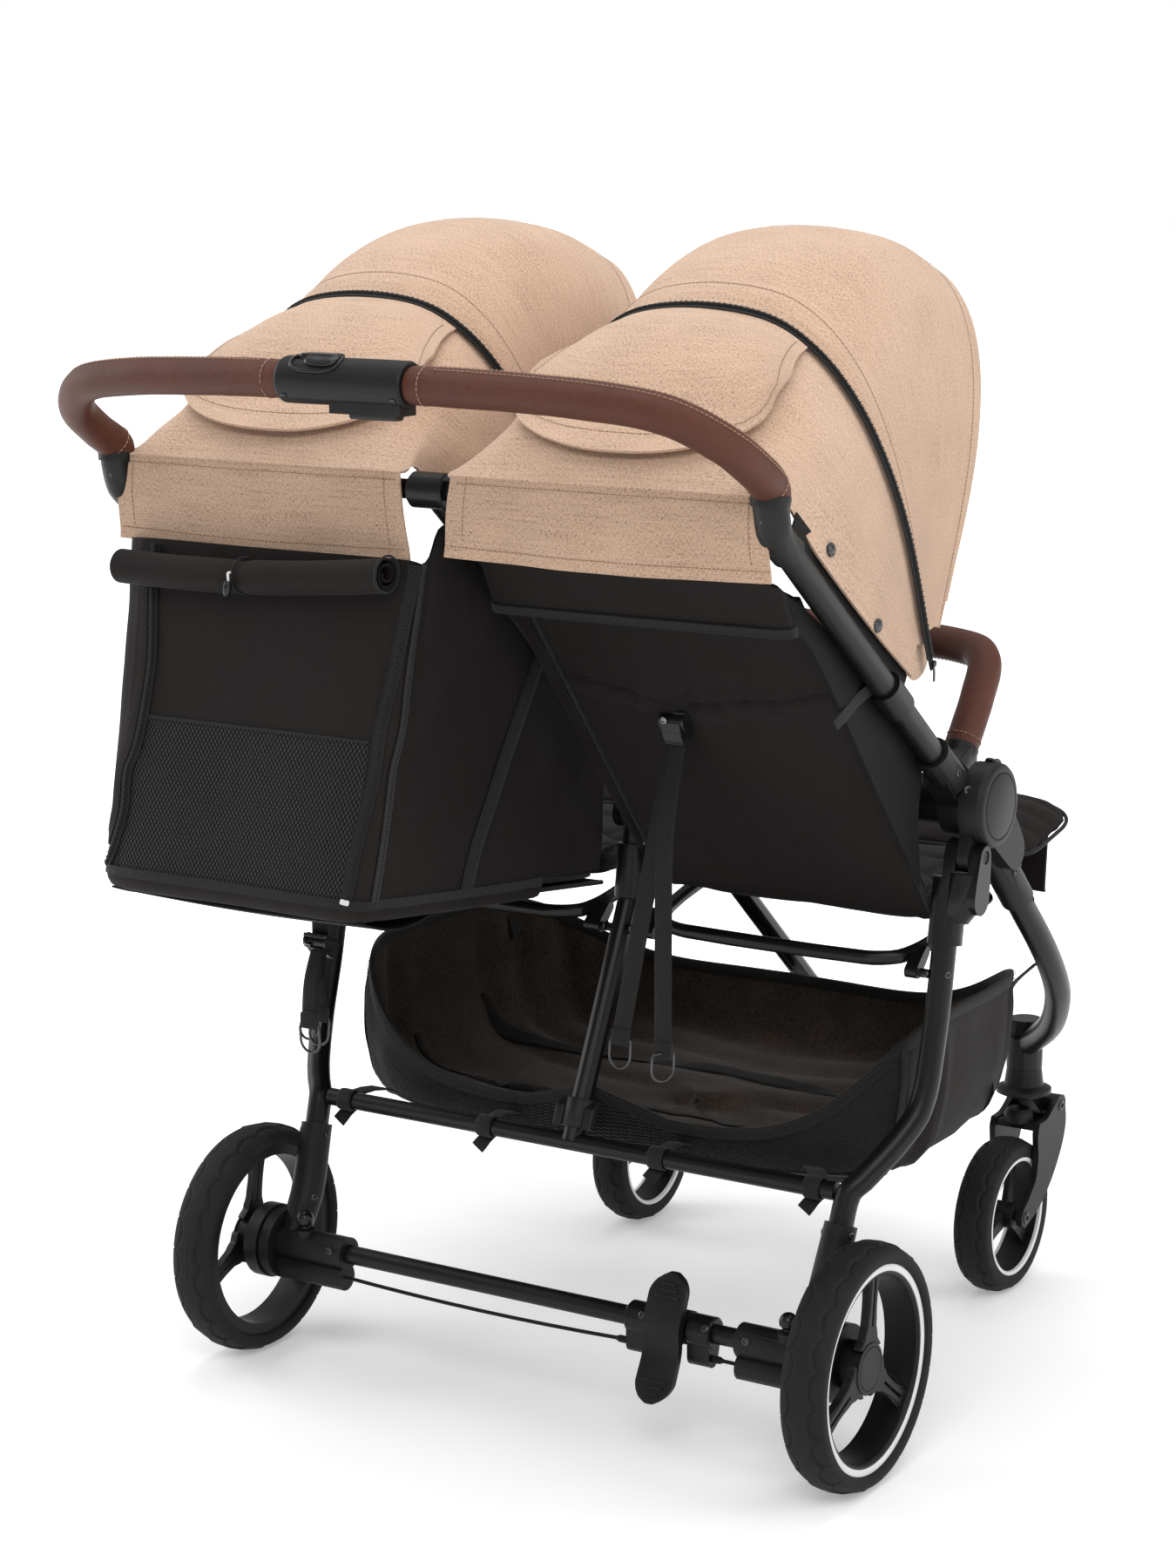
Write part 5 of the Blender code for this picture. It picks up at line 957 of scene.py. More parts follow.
def canopy_zip(side, rows, normals):
    """Black zip between the two panels, with its coil and end tape."""
    back = [(rows[-3][k] - rows[-1][k]).normalized() for k in range(len(rows[-1]))]
    path = [p + n * 0.0046 + b * 0.003 for p, n, b in zip(rows[-1], normals[-1], back)]
    path.insert(0, path[0] + (path[0] - path[1]).normalized() * 0.013)
    zip_line(f"canopy_zip_{side}", path, [normals[-1][0]] + list(normals[-1]), "handle_frame", 0.012)
    foot, along = path[0], (path[0] - path[1]).normalized()
    tail = [foot + along * -0.004, foot + along * 0.005, foot + along * 0.0105 + Vector((0, -0.001, -0.001))]
    strap(f"canopy_zip_tail_{side}", tail, 0.008, 0.0016, normals[-1][0], BINDING, "handle_frame", 3)
    bm = bmesh.new()
    place = foot + along * 0.006 + normals[-1][0] * 0.0022
    turned([(0, 0), (0, 0.003), (0.0022, 0.003), (0.0026, 0.002), (0.0026, 0)], place, normals[-1][0], 10, bm)
    profile_sweep(smooth([place, place + Vector((0, -0.002, -0.008)), place + Vector((0, -0.002, -0.017))], 3),
                  strap_profile(0.0034, 0.0012), normals[-1][0], bm)
    make(f"canopy_zip_pull_{side}", bm, DARK_STEEL, 40, "handle_frame")


def snap_stud(bm, centre, axis):
    """Pressed snap with a domed cap and a rolled rim."""
    turned([(-0.001, 0), (-0.001, 0.0058), (0.0004, 0.0064), (0.0016, 0.006), (0.0019, 0.005),
            (0.0014, 0.0042), (0.0022, 0.0026), (0.0026, 0.0)], centre, axis, 20, bm)


def canopy_snaps(sign, side, rows, normals):
    bm = bmesh.new()
    for target in (at(sign * 0.36, 0.1, 0.891), at(sign * 0.36, 0.009, 0.813)):
        _, i, k = min(((p - target).length, i, k) for i, row in enumerate(rows[:16]) for k, p in enumerate(row[:20]))
        snap_stud(bm, rows[i][k] + normals[i][k] * 0.0008, normals[i][k])
    make(f"canopy_snaps_{side}", bm, DARK_STEEL, 35, "handle_frame")


def canopy_lining(sign, side):
    """Black lining between the upper tube and the canopy's lower edge."""
    rows = []
    for i in range(5):
        row = []
        for k in range(25):
            distance = 0.04 + 0.27 * k / 24
            y, z = polar(UPPER_ANGLE, TUBE_START + distance)
            rise = 0.002 + 0.03 * i / 4
            turn = math.radians(UPPER_ANGLE)
            wave = 0.0012 * math.sin(k * 0.8 + i)
            row.append(at(sign * (0.356 + wave * 0.4), y - rise * math.sin(turn), z + rise * math.cos(turn)))
        rows.append(row)
    sewn(f"canopy_lining_{side}", rows, 0.0014, LINING_AND_SHADE, canopy_middle(sign), "handle_frame", 0.0)


def canopy_corners(sign, side):
    """Round cloth corners at the two feet of a canopy, where its panels meet."""
    y, z = -0.074, 0.7775
    radius = 0.025
    for edge, x in (("outer", CANOPY_OUTER_X - 0.0042), ("inner", CANOPY_INNER_X + 0.0042)):
        bm = turned([(-0.001, 0), (-0.001, radius - 0.001), (0.0, radius), (0.001, radius - 0.001), (0.001, 0)],
                    at(sign * x, y, z), (1, 0, 0), 48)
        corner = make(f"canopy_corner_{edge}_{side}", bm, SAND, 60, "handle_frame")


for sign, side in SIDES:
    rear_rows, rear_normals = rear_canopy(sign, side)
    canopy_lining(sign, side)
    canopy_skirt(sign, side)
    peekaboo_flap(sign, side, rear_rows, rear_normals)
    front_canopy(sign, side)
    canopy_corners(sign, side)
    canopy_zip(side, rear_rows, rear_normals)
    canopy_snaps(sign, side, rear_rows, rear_normals)


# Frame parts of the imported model, with rounder curves

CUTS = 2
CORE_RADIUS = 0.0606


def edge_table(triangles):
    """(edges, which edge each triangle side is): sides run 0-1, 1-2 and 2-0."""
    sides = np.sort(triangles[:, [[0, 1], [1, 2], [2, 0]]].reshape(-1, 2), axis=1)
    edges, which = np.unique(sides, axis=0, return_inverse=True)
    return edges, which.reshape(-1, 3)


def triangle_normals(points, triangles):
    a, b, c = (points[triangles[:, k]] for k in range(3))
    return np.cross(b - a, c - a)


def corner_normals(points, triangles, which, sharp):
    """Unit normal at each triangle corner, averaged over the faces that no sharp edge parts."""
    labels = np.arange(len(triangles) * 3)
    order = np.argsort(which.reshape(-1), kind="stable")
    ranked = which.reshape(-1)[order]
    first = np.flatnonzero((ranked[:-1] == ranked[1:]) & ~sharp[ranked[:-1]])
    near, far = order[first], order[first + 1]

    def corner(slot, step):
        return slot // 3 * 3 + (slot % 3 + step) % 3

    flat = triangles.reshape(-1)
    crossed = flat[near] == flat[corner(far, 1)]
    left = np.concatenate((near, corner(near, 1)))
    right = np.concatenate((np.where(crossed, corner(far, 1), far), np.where(crossed, far, corner(far, 1))))
    for _ in range(60):
        low = np.minimum(labels[left], labels[right])
        changed = labels.copy()
        np.minimum.at(changed, left, low)
        np.minimum.at(changed, right, low)
        changed = changed[changed]
        if np.array_equal(changed, labels):
            break
        labels = changed
    total = np.zeros((len(labels), 3))
    np.add.at(total, labels, np.repeat(triangle_normals(points, triangles), 3, axis=0))
    normals = total[labels]
    return normals / np.maximum(np.linalg.norm(normals, axis=1, keepdims=True), 1e-12)


def curved(points, triangles, angle):
    """Triangles cut in four, with each edge's middle moved onto the curve that its normals give."""
    edges, which = edge_table(triangles)
    faces = triangle_normals(points, triangles)
    faces /= np.maximum(np.linalg.norm(faces, axis=1, keepdims=True), 1e-12)
    order = np.argsort(which.reshape(-1), kind="stable")
    ranked = which.reshape(-1)[order]
    counts = np.bincount(which.reshape(-1), minlength=len(edges))
    sharp = counts != 2
    pair = np.flatnonzero(ranked[:-1] == ranked[1:])
    cosine = np.sum(faces[order[pair] // 3] * faces[order[pair + 1] // 3], axis=1)
    sharp[ranked[pair[cosine < math.cos(math.radians(angle))]]] = True
    for _ in range(CUTS):
        normals = corner_normals(points, triangles, which, sharp).reshape(-1, 3, 3)
        start, end = points[triangles], points[np.roll(triangles, -1, axis=1)]
        middle = (start + end) / 2
        after = np.roll(normals, -1, axis=1)
        move = -0.25 * (np.sum((middle - start) * normals, axis=2, keepdims=True) * normals
                        + np.sum((middle - end) * after, axis=2, keepdims=True) * after)
        size = np.linalg.norm(move, axis=2, keepdims=True)
        most = np.minimum(0.12 * np.linalg.norm(end - start, axis=2, keepdims=True), 0.0015)
        move = (move * np.minimum(1.0, most / np.maximum(size, 1e-12))).reshape(-1, 3)
        flat = which.reshape(-1)
        ranking = np.lexsort((np.linalg.norm(move, axis=1), flat))
        last = ranking[np.append(np.flatnonzero(np.diff(flat[ranking])), len(flat) - 1)]
        added = middle.reshape(-1, 3)[last] + move[last]
        mids = which + len(points)
        a, b, c = triangles.T
        ab, bc, ca = mids.T
        old_sharp = edges[sharp]
        sharp_mid = np.flatnonzero(sharp) + len(points)
        points = np.concatenate((points, added))
        triangles = np.concatenate([np.stack(group, axis=1) for group in
                                    ((a, ab, ca), (ab, b, bc), (ca, bc, c), (ab, bc, ca))])
        halves = np.sort(np.concatenate((np.stack((old_sharp[:, 0], sharp_mid), axis=1),
                                         np.stack((old_sharp[:, 1], sharp_mid), axis=1))), axis=1)
        edges, which = edge_table(triangles)
        size = len(points)
        sharp = np.isin(edges[:, 0] * size + edges[:, 1], halves[:, 0] * size + halves[:, 1])
    return points, triangles, edges[sharp]


def rounder(name, material, angle=40, reshape=None):
    """Piece with rounder curves from a node's own mesh, which stands for the node and rides on its body."""
    bm = bmesh.new()
    bm.from_mesh(frame["nodes"][name].data)
    bmesh.ops.remove_doubles(bm, verts=bm.verts, dist=0.00002)
    bmesh.ops.triangulate(bm, faces=bm.faces)
    bm.verts.ensure_lookup_table()
    points = np.array([v.co[:] for v in bm.verts])
    triangles = np.array([[v.index for v in f.verts] for f in bm.faces])
    bm.free()
    points, triangles, sharp = curved(points, triangles, angle)
    if reshape:
        points = reshape(points)
    mesh = bpy.data.meshes.new(f"{name}_look")
    mesh.from_pydata(points.tolist(), [], triangles.tolist())
    mesh.materials.append(material)
    mesh.shade_smooth()
    ends = np.empty(len(mesh.edges) * 2, dtype=np.int64)
    mesh.edges.foreach_get("vertices", ends)
    ends = np.sort(ends.reshape(-1, 2), axis=1)
    size = len(points)
    marks = np.isin(ends[:, 0] * size + ends[:, 1], sharp[:, 0] * size + sharp[:, 1])
    mesh.attributes.new("sharp_edge", "BOOLEAN", "EDGE").data.foreach_set("value", marks)
    piece = placed(f"{name}_look", mesh)
    even = piece.modifiers.new("even", "WEIGHTED_NORMAL")
    even.keep_sharp = True
    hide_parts(name)
    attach(piece, body_of[name])


def tyre_core(sign):
    """Shrinks the tyre part of a front wheel's copy, so that it stays inside the tread made below."""
    centre_x, centre = sign * FRONT_WHEEL[0], at(0, *FRONT_WHEEL[1:])

    def shrink(points):
        y, z = points[:, 1] - centre.y, points[:, 2] - centre.z
        radius = np.hypot(y, z)
        pressed = (CORE_RADIUS + (radius - CORE_RADIUS) * 0.7) / np.maximum(radius, 1e-9)
        scale = np.where(radius > CORE_RADIUS, pressed, 1.0)
        inward = np.where(radius > CORE_RADIUS, 0.8, 1.0)
        return np.stack((centre_x + (points[:, 0] - centre_x) * inward, centre.y + y * scale, centre.z + z * scale),
                        axis=1)

    return shrink


def leaning_pedal(points):
    """Leans the brake pedal's two pads: the lower one back and the upper one forward."""
    middle = (points[:, 2].max() + points[:, 2].min()) / 2
    rise = points[:, 2] - middle
    moved = points.copy()
    moved[:, 1] -= 0.46 * np.sign(rise) * np.maximum(0.0, np.abs(rise) - 0.014)
    return moved


body_of = {name: body for body, names in frame["record"]["behaviour"]["bodies"].items() for name in names}


def both(*stems):
    return [f"{stem}_{side}" for stem in stems for _, side in SIDES]


TUBES = [f"{stem}_{place}" for stem in ("upper_tube", "front_leg", "rear_leg") for place in ("left", "right", "centre")]
TUBES += ["rear_axle"]
MOULDINGS = [*both("hinge_arm", "hinge_housing", "wheel_housing"), "brake_pedal", "handle_housing",
             *both("caster", "fork", "rear_rim")]
SMALL = ["fold_slider", "fold_trigger", *both("bumper_button", "wheel_button", "caster_button")]
for name in TUBES:
    rounder(name, METAL)
for name in both("seat_frame"):
    rounder(name, METAL, 47)
for name in MOULDINGS:
    rounder(name, PLASTIC, reshape=leaning_pedal if name == "brake_pedal" else None)
for sign, side in SIDES:
    rounder(f"front_wheel_{side}", PLASTIC, reshape=tyre_core(sign))
for name in SMALL:
    rounder(name, GLOSS)
for stem, material in (("brake_pin", DARK_STEEL), ("brake_cable", STRAP)):
    for name in both(stem):
        for place in frame["nodes"][name].material_slots:
            place.material = material


# Seats

class Board:
    """Frame of a cushion in the side plane: x across, distance along it and height out of its face."""

    def __init__(self, sign, start, angle):
        turn = math.radians(angle)
        self.sign = sign
        self.start = at(0, *start)
        self.along = Vector((0, math.cos(turn), math.sin(turn)))
        self.normal = Vector((0, -math.sin(turn), math.cos(turn)))
        if self.normal.z < 0:
            self.normal.negate()

    def place(self, x, distance, height):
        return self.start + Vector((self.sign * x, 0, 0)) + self.along * distance + self.normal * height

    def local(self, point):
        offset = point - self.start
        return self.sign * offset.x, offset.dot(self.along), offset.dot(self.normal)


BASE_ANGLE = math.degrees(math.atan2(SEAT_FRONT[1] - BACK_ROOT[1], SEAT_FRONT[0] - BACK_ROOT[0]))
LEG_ANGLE = 169.0
BACK_X = (0.0365, 0.3351)
BASE_X = (0.0413, 0.3206)
LEG_X = (0.05, 0.305)


def loft(rings, bm=None):
    """Solid through rings of points, each with as many points as the others."""
    bm = bm or bmesh.new()
    layer = bm.loops.layers.uv.verify()
    verts = [[bm.verts.new(p) for p in ring] for ring in rings]
    runs = running([ring[0] for ring in rings])
    for face, i, k, j, n in quads(bm, verts, True):
        width = (rings[i][n] - rings[i][k]).length
        lay(face, layer, k * width, (k + 1) * width, runs[i], runs[j])
    bm.faces.new(verts[0])
    bm.faces.new(verts[-1])
    return bm


def rounded_block(bm, centre, axes, sizes, edge):
    """Block with rounded upright edges and a chamfered top. axes are three unit vectors."""
    a, b, c = axes
    half_a, half_b, high = sizes[0] / 2, sizes[1] / 2, sizes[2]
    rings = []
    for level, grow in ((0.0, 0.0), (high - edge, 0.0), (high - edge * 0.3, -edge * 0.3), (high, -edge)):
        ring = []
        for corner_a, corner_b, start in ((1, 1, 0), (-1, 1, 90), (-1, -1, 180), (1, -1, 270)):
            for step in range(4):
                turn = math.radians(start + 30 * step)
                x = corner_a * (half_a + grow - 2 * edge) + 2 * edge * math.cos(turn)
                y = corner_b * (half_b + grow - 2 * edge) + 2 * edge * math.sin(turn)
                ring.append(Vector(centre) + a * x + b * y + c * level)
        rings.append(ring)
    return loft(rings, bm)


def pillow(board, x_range, length, half_thick, crown, droop):
    """Closed crowned form whose sides pull in between the corners."""
    pull, across, along = 0.003, 18, 22
    low, high = x_range
    middle, half = (low + high) / 2, (high - low) / 2
    bm = bmesh.new()
    grids = {}
    for side in (1, -1):
        grid = []
        for i in range(along + 1):
            v = -math.cos(math.pi * i / along)
            line = []
            for k in range(across + 1):
                u = -math.cos(math.pi * k / across)
                edge = max(0.0, 1 - max(abs(u), abs(v)) ** 10) ** 0.5
                dome = (1 - abs(u) ** 3) * (1 - abs(v) ** 3)
                rise = edge * (half_thick + crown * dome)
                corner = 1 - (0.055 * (abs(u) * abs(v)) ** 7 if droop == 0 else 0.15 * (abs(u) * abs(v)) ** 3.5)
                x = middle + u * (half - pull * (1 - v * v)) * corner
                distance = length / 2 + v * (length / 2 - pull * (1 - u * u)) * corner
                line.append(board.place(x, distance, side * rise - droop * abs(u) ** 4))
            grid.append(line)
        grids[side] = grid
    top = [[bm.verts.new(p) for p in line] for line in grids[1]]
    under = [[top[i][k] if i in (0, along) or k in (0, across) else bm.verts.new(grids[-1][i][k])
              for k in range(across + 1)] for i in range(along + 1)]
    for grid in (top, under):
        list(quads(bm, grid))
    bmesh.ops.recalc_face_normals(bm, faces=bm.faces)
    return bm


def remesh_evenly(obj):
    """Rebuilds the object's mesh in even voxels."""
    remesh = obj.modifiers.new("remesh", "REMESH")
    remesh.mode = "VOXEL"
    remesh.voxel_size = VOXEL
    graph = bpy.context.evaluated_depsgraph_get()
    mesh = bpy.data.meshes.new_from_object(obj.evaluated_get(graph))
    obj.modifiers.clear()
    for material in obj.data.materials:
        if material.name not in mesh.materials:
            mesh.materials.append(material)
    obj.data = mesh


def inflate(obj, limit):
    """Short cloth run under pressure. No point moves further than limit(point)."""
    scene = bpy.context.scene
    start = [v.co.copy() for v in obj.data.vertices]
    cloth = obj.modifiers.new("fill", "CLOTH")
    cloth.settings.quality = 5
    cloth.settings.mass = 0.15
    cloth.settings.use_pressure = True
    cloth.settings.uniform_pressure_force = 4.0
    cloth.settings.effector_weights.gravity = 0.0
    cloth.point_cache.frame_start = 1
    cloth.point_cache.frame_end = CLOTH_FRAMES
    for step in range(1, CLOTH_FRAMES + 1):
        scene.frame_set(step)
    graph = bpy.context.evaluated_depsgraph_get()
    ends = [v.co.copy() for v in obj.evaluated_get(graph).data.vertices]
    obj.modifiers.remove(cloth)
    scene.frame_set(1)
    for vert, near, far in zip(obj.data.vertices, start, ends):
        move = far - near
        most = limit(near)
        if move.length > most:
            move = move.normalized() * most
        vert.co = near + move


def soften(obj):
    bm = bmesh.new()
    bm.from_mesh(obj.data)
    for _ in range(2):
        bmesh.ops.smooth_vert(bm, verts=bm.verts, factor=0.5, use_axis_x=True, use_axis_y=True, use_axis_z=True)
    bm.to_mesh(obj.data)
    bm.free()


def quilt_groove(x, distance, channels, sides):
    """Depth from 0 to 1 of the sewn lines across a pad, with small puckers beside them."""
    depth, width = 0.0, 0.005
    for place in channels:
        gap = abs(distance - place)
        depth = max(depth, math.exp(-(gap / width) ** 2))
        depth += 0.1 * math.exp(-((gap - 0.01) / 0.007) ** 2) * math.sin(x * 2 * math.pi / 0.019 + place * 90)
    for place in sides:
        depth = max(depth, math.exp(-(abs(x - place) / width) ** 2))
    return depth


def cushion(name, node, board, x_range, length, half_thick, crown, body, channels, sides=(), cap=0.0045,
            depth=0.0042, two_sided=False, droop=0.0):
    """Sewn pad: blown up by a short cloth run, then its channels, puckers, piping and stitches."""
    low, high = x_range
    obj = make(name, pillow(board, x_range, length, half_thick, crown, droop), BLACK_PAD, 180)
    remesh_evenly(obj)

    def closeness(point):
        x, distance, _ = board.local(point)
        u = abs(2 * (x - low) / (high - low) - 1)
        v = abs(2 * distance / length - 1)
        return max(0.0, 1 - max(u, v) ** 6)

    def middle_height(x):
        return -droop * abs(2 * (x - low) / (high - low) - 1) ** 4

    inflate(obj, lambda point: 0.0004 + cap * closeness(point))
    soften(obj)
    for vert in obj.data.vertices:
        x, distance, height = board.local(vert.co)
        puff = noise.noise(Vector((x * 16, distance * 16, height * 8 + board.sign))) * 0.0011
        groove = quilt_groove(x, distance, channels, sides) * depth * closeness(vert.co) ** 0.5
        middle = middle_height(x)
        if height > middle or two_sided:
            vert.co += board.normal * ((puff - groove) * (1 if height > middle else -1))
    obj.data.shade_smooth()
    fine = obj.modifiers.new("fine", "SUBSURF")
    fine.levels = 1
    fine.render_levels = 1
    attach(obj, body)
    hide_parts(node)
    surface, cell = {}, 0.008
    for vert in obj.data.vertices:
        x, distance, height = board.local(vert.co)
        if height > middle_height(x):
            surface.setdefault((round(x / cell), round(distance / cell)), []).append(height)

    def top_height(x, distance):
        found = surface.get((round(x / cell), round(distance / cell)), [half_thick])
        return sum(found) / len(found)

    lines = []
    for place in channels:
        xs = [low + 0.014 + (high - low - 0.028) * k / 40 for k in range(41)]
        lines.append(([board.place(x, place, top_height(x, place) - 0.0006) for x in xs], board.normal))
    for place in sides:
        ds = [0.014 + (length - 0.028) * k / 40 for k in range(41)]
        lines.append(([board.place(place, d, top_height(place, d) - 0.0006) for d in ds], board.normal))
    stitches(f"{name}_stitches", lines, PAD_STITCH, GREY_TAPE, body)
    edge = []
    middle, half = (low + high) / 2, (high - low) / 2
    power = 0.2 if droop == 0 else 0.46
    for turn in turns(96):
        u, v = bent(math.cos(turn), power), bent(math.sin(turn), power)
        edge.append(board.place(middle + u * (half - 0.0012 - 0.003 * (1 - v * v)),
                                length / 2 + v * (length / 2 - 0.0012 - 0.003 * (1 - u * u)), -droop * abs(u) ** 4))
    cord(f"{name}_piping", edge, 0.0022, 8, board.normal, BINDING, body, True)


def side_cloth_rows(sign):
    """Control rows of the cloth between a backrest and the tubes, from the low edge to the high edge."""
    inner, outer = 0.033, SIDE_X - 0.0135
    if sign > 0:
        spread = (0.01, 0.016, 0.02, 0.024, 0.028, 0.0, 0.0, 0.0, 0.0, 0.0, 0.0)
        stations = [(inner, -0.158, 0.514, 0.65), (inner, 0.002, 0.529, 0.784), (inner, 0.142, 0.545, 0.889),
                    (inner, 0.212, 0.554, 0.862), (inner + 0.02, 0.242, 0.556, 0.866),
                    (SEAT_X, 0.244, 0.557, 0.866), (outer - 0.02, 0.242, 0.556, 0.866),
                    (outer, 0.212, 0.554, 0.858), (outer, 0.12, 0.543, 0.846), (outer, 0.01, 0.53, 0.77),
                    (outer, -0.12, 0.516, 0.674)]
    else:
        spread = (0.0,) * 11
        stations = [(inner, -0.13, 0.548, 0.666), (inner, -0.05, 0.64, 0.728), (inner, 0.06, 0.77, 0.812),
                    (inner, 0.11, 0.815, 0.848), (inner + 0.016, 0.128, 0.818, 0.866),
                    (SEAT_X, 0.13, 0.818, 0.868), (outer - 0.016, 0.128, 0.818, 0.866),
                    (outer, 0.11, 0.815, 0.848), (outer, 0.06, 0.77, 0.812), (outer, -0.05, 0.64, 0.728),
                    (outer, -0.13, 0.548, 0.666)]
    rows = []
    for i in range(5):
        t = i / 4
        row = []
        for (x, y, low, high), widen in zip(stations, spread):
            if sign > 0:
                behind = -0.05 * max(0.0, min(1.0, (y - 0.1) / 0.14))
            else:
                behind = 0.028 * max(0.0, min(1.0, (y - 0.09) / 0.04))
            row.append(at(sign * (x - widen * t), y + behind * t, low + (high - low) * t))
        rows.append(row)
    return rows


def seat_cloth_middle(sign):
    return at(sign * SEAT_X, 0.0, 0.7)


# Columns of the refined side cloth where its end wall starts and ends, and its last column and window row
WALL_START, WALL_END, LAST_COLUMN = 24, 36, 60
WINDOW_ROW = 15


def surface_tree(rows, columns):
    """Ray-cast tree of the faces in a grid's first columns, the last of which may join the first point again."""
    count = len(rows[0])
    faces = [(i * count + k, i * count + (k + 1) % count, (i + 1) * count + (k + 1) % count, (i + 1) * count + k)
             for i in range(len(rows) - 1) for k in range(columns)]
    return BVHTree.FromPolygons([p for row in rows for p in row], faces)


class SeatCloth:
    """Refined side cloth of one seat, with places on its end wall by x and height fraction."""

    def __init__(self, sign):
        self.sign = sign
        self.rows = refine(side_cloth_rows(sign), 6, 8)
        self.normals = grid_normals(self.rows, seat_cloth_middle(sign))
        self.rows = pushed(self.rows, self.normals, lambda i, k: 0.0006 + self.crease(i, k))
        self.normals = grid_normals(self.rows, seat_cloth_middle(sign))

    def crease(self, i, k):
        point = self.rows[i][k]
        t = i / (len(self.rows) - 1)
        wall = WALL_START <= k <= WALL_END
        soft = noise.noise(Vector((point.x * 6, point.y * 7, point.z * 7 + self.sign)))
        fine = noise.noise(Vector((point.x * 22, point.y * 22 + 4, point.z * 22)))
        edge = math.sin(math.pi * t)
        if self.sign > 0 and wall:
            return (soft * 0.003 + fine * 0.0006) * edge
        drag = math.sin((point.y * 0.8 + point.z * 1.3) * 46 + soft * 3.0)
        return (soft * 0.0042 + fine * 0.0009 + drag * 0.001) * edge

    def strip(self, first, last, low=0, high=None):
        high = len(self.rows) - 1 if high is None else high
        return [row[first:last + 1] for row in self.rows[low:high + 1]]

    def wall(self, x, t, lift):
        """Point on the end wall and its corners."""
        count = len(self.rows) - 1
        height = min(max(t, 0.0), 1.0) * count
        i = min(int(height), count - 1)
        share = height - i

        def along_row(row, normals):
            for k in range(16, 44):
                a, b = self.sign * row[k].x, self.sign * row[k + 1].x
                if a <= x <= b:
                    f = (x - a) / max(1e-9, b - a)
                    return row[k].lerp(row[k + 1], f), normals[k].lerp(normals[k + 1], f)
            k = 44 if x > 0.2 else 18
            return row[k], normals[k]

        low, low_normal = along_row(self.rows[i], self.normals[i])
        high, high_normal = along_row(self.rows[i + 1], self.normals[i + 1])
        normal = low_normal.lerp(high_normal, share).normalized()
        return low.lerp(high, share) + normal * lift, normal


def wall_path(cloth, marks, lift):
    """Smooth path on the end wall through (x, t) marks, with its normals."""
    spots = [cloth.wall(mark.x, mark.y, lift) for mark in smooth([Vector((x, t, 0)) for x, t in marks], 5)]
    return [point for point, _ in spots], [normal for _, normal in spots]


def seat_piece(name, rows, sign, material, thickness=0.0016, hem=0.0004, node=None):
    """Cloth piece of one seat's walls."""
    sewn(name, rows, thickness, material, seat_cloth_middle(sign), "chassis", hem,
         node)


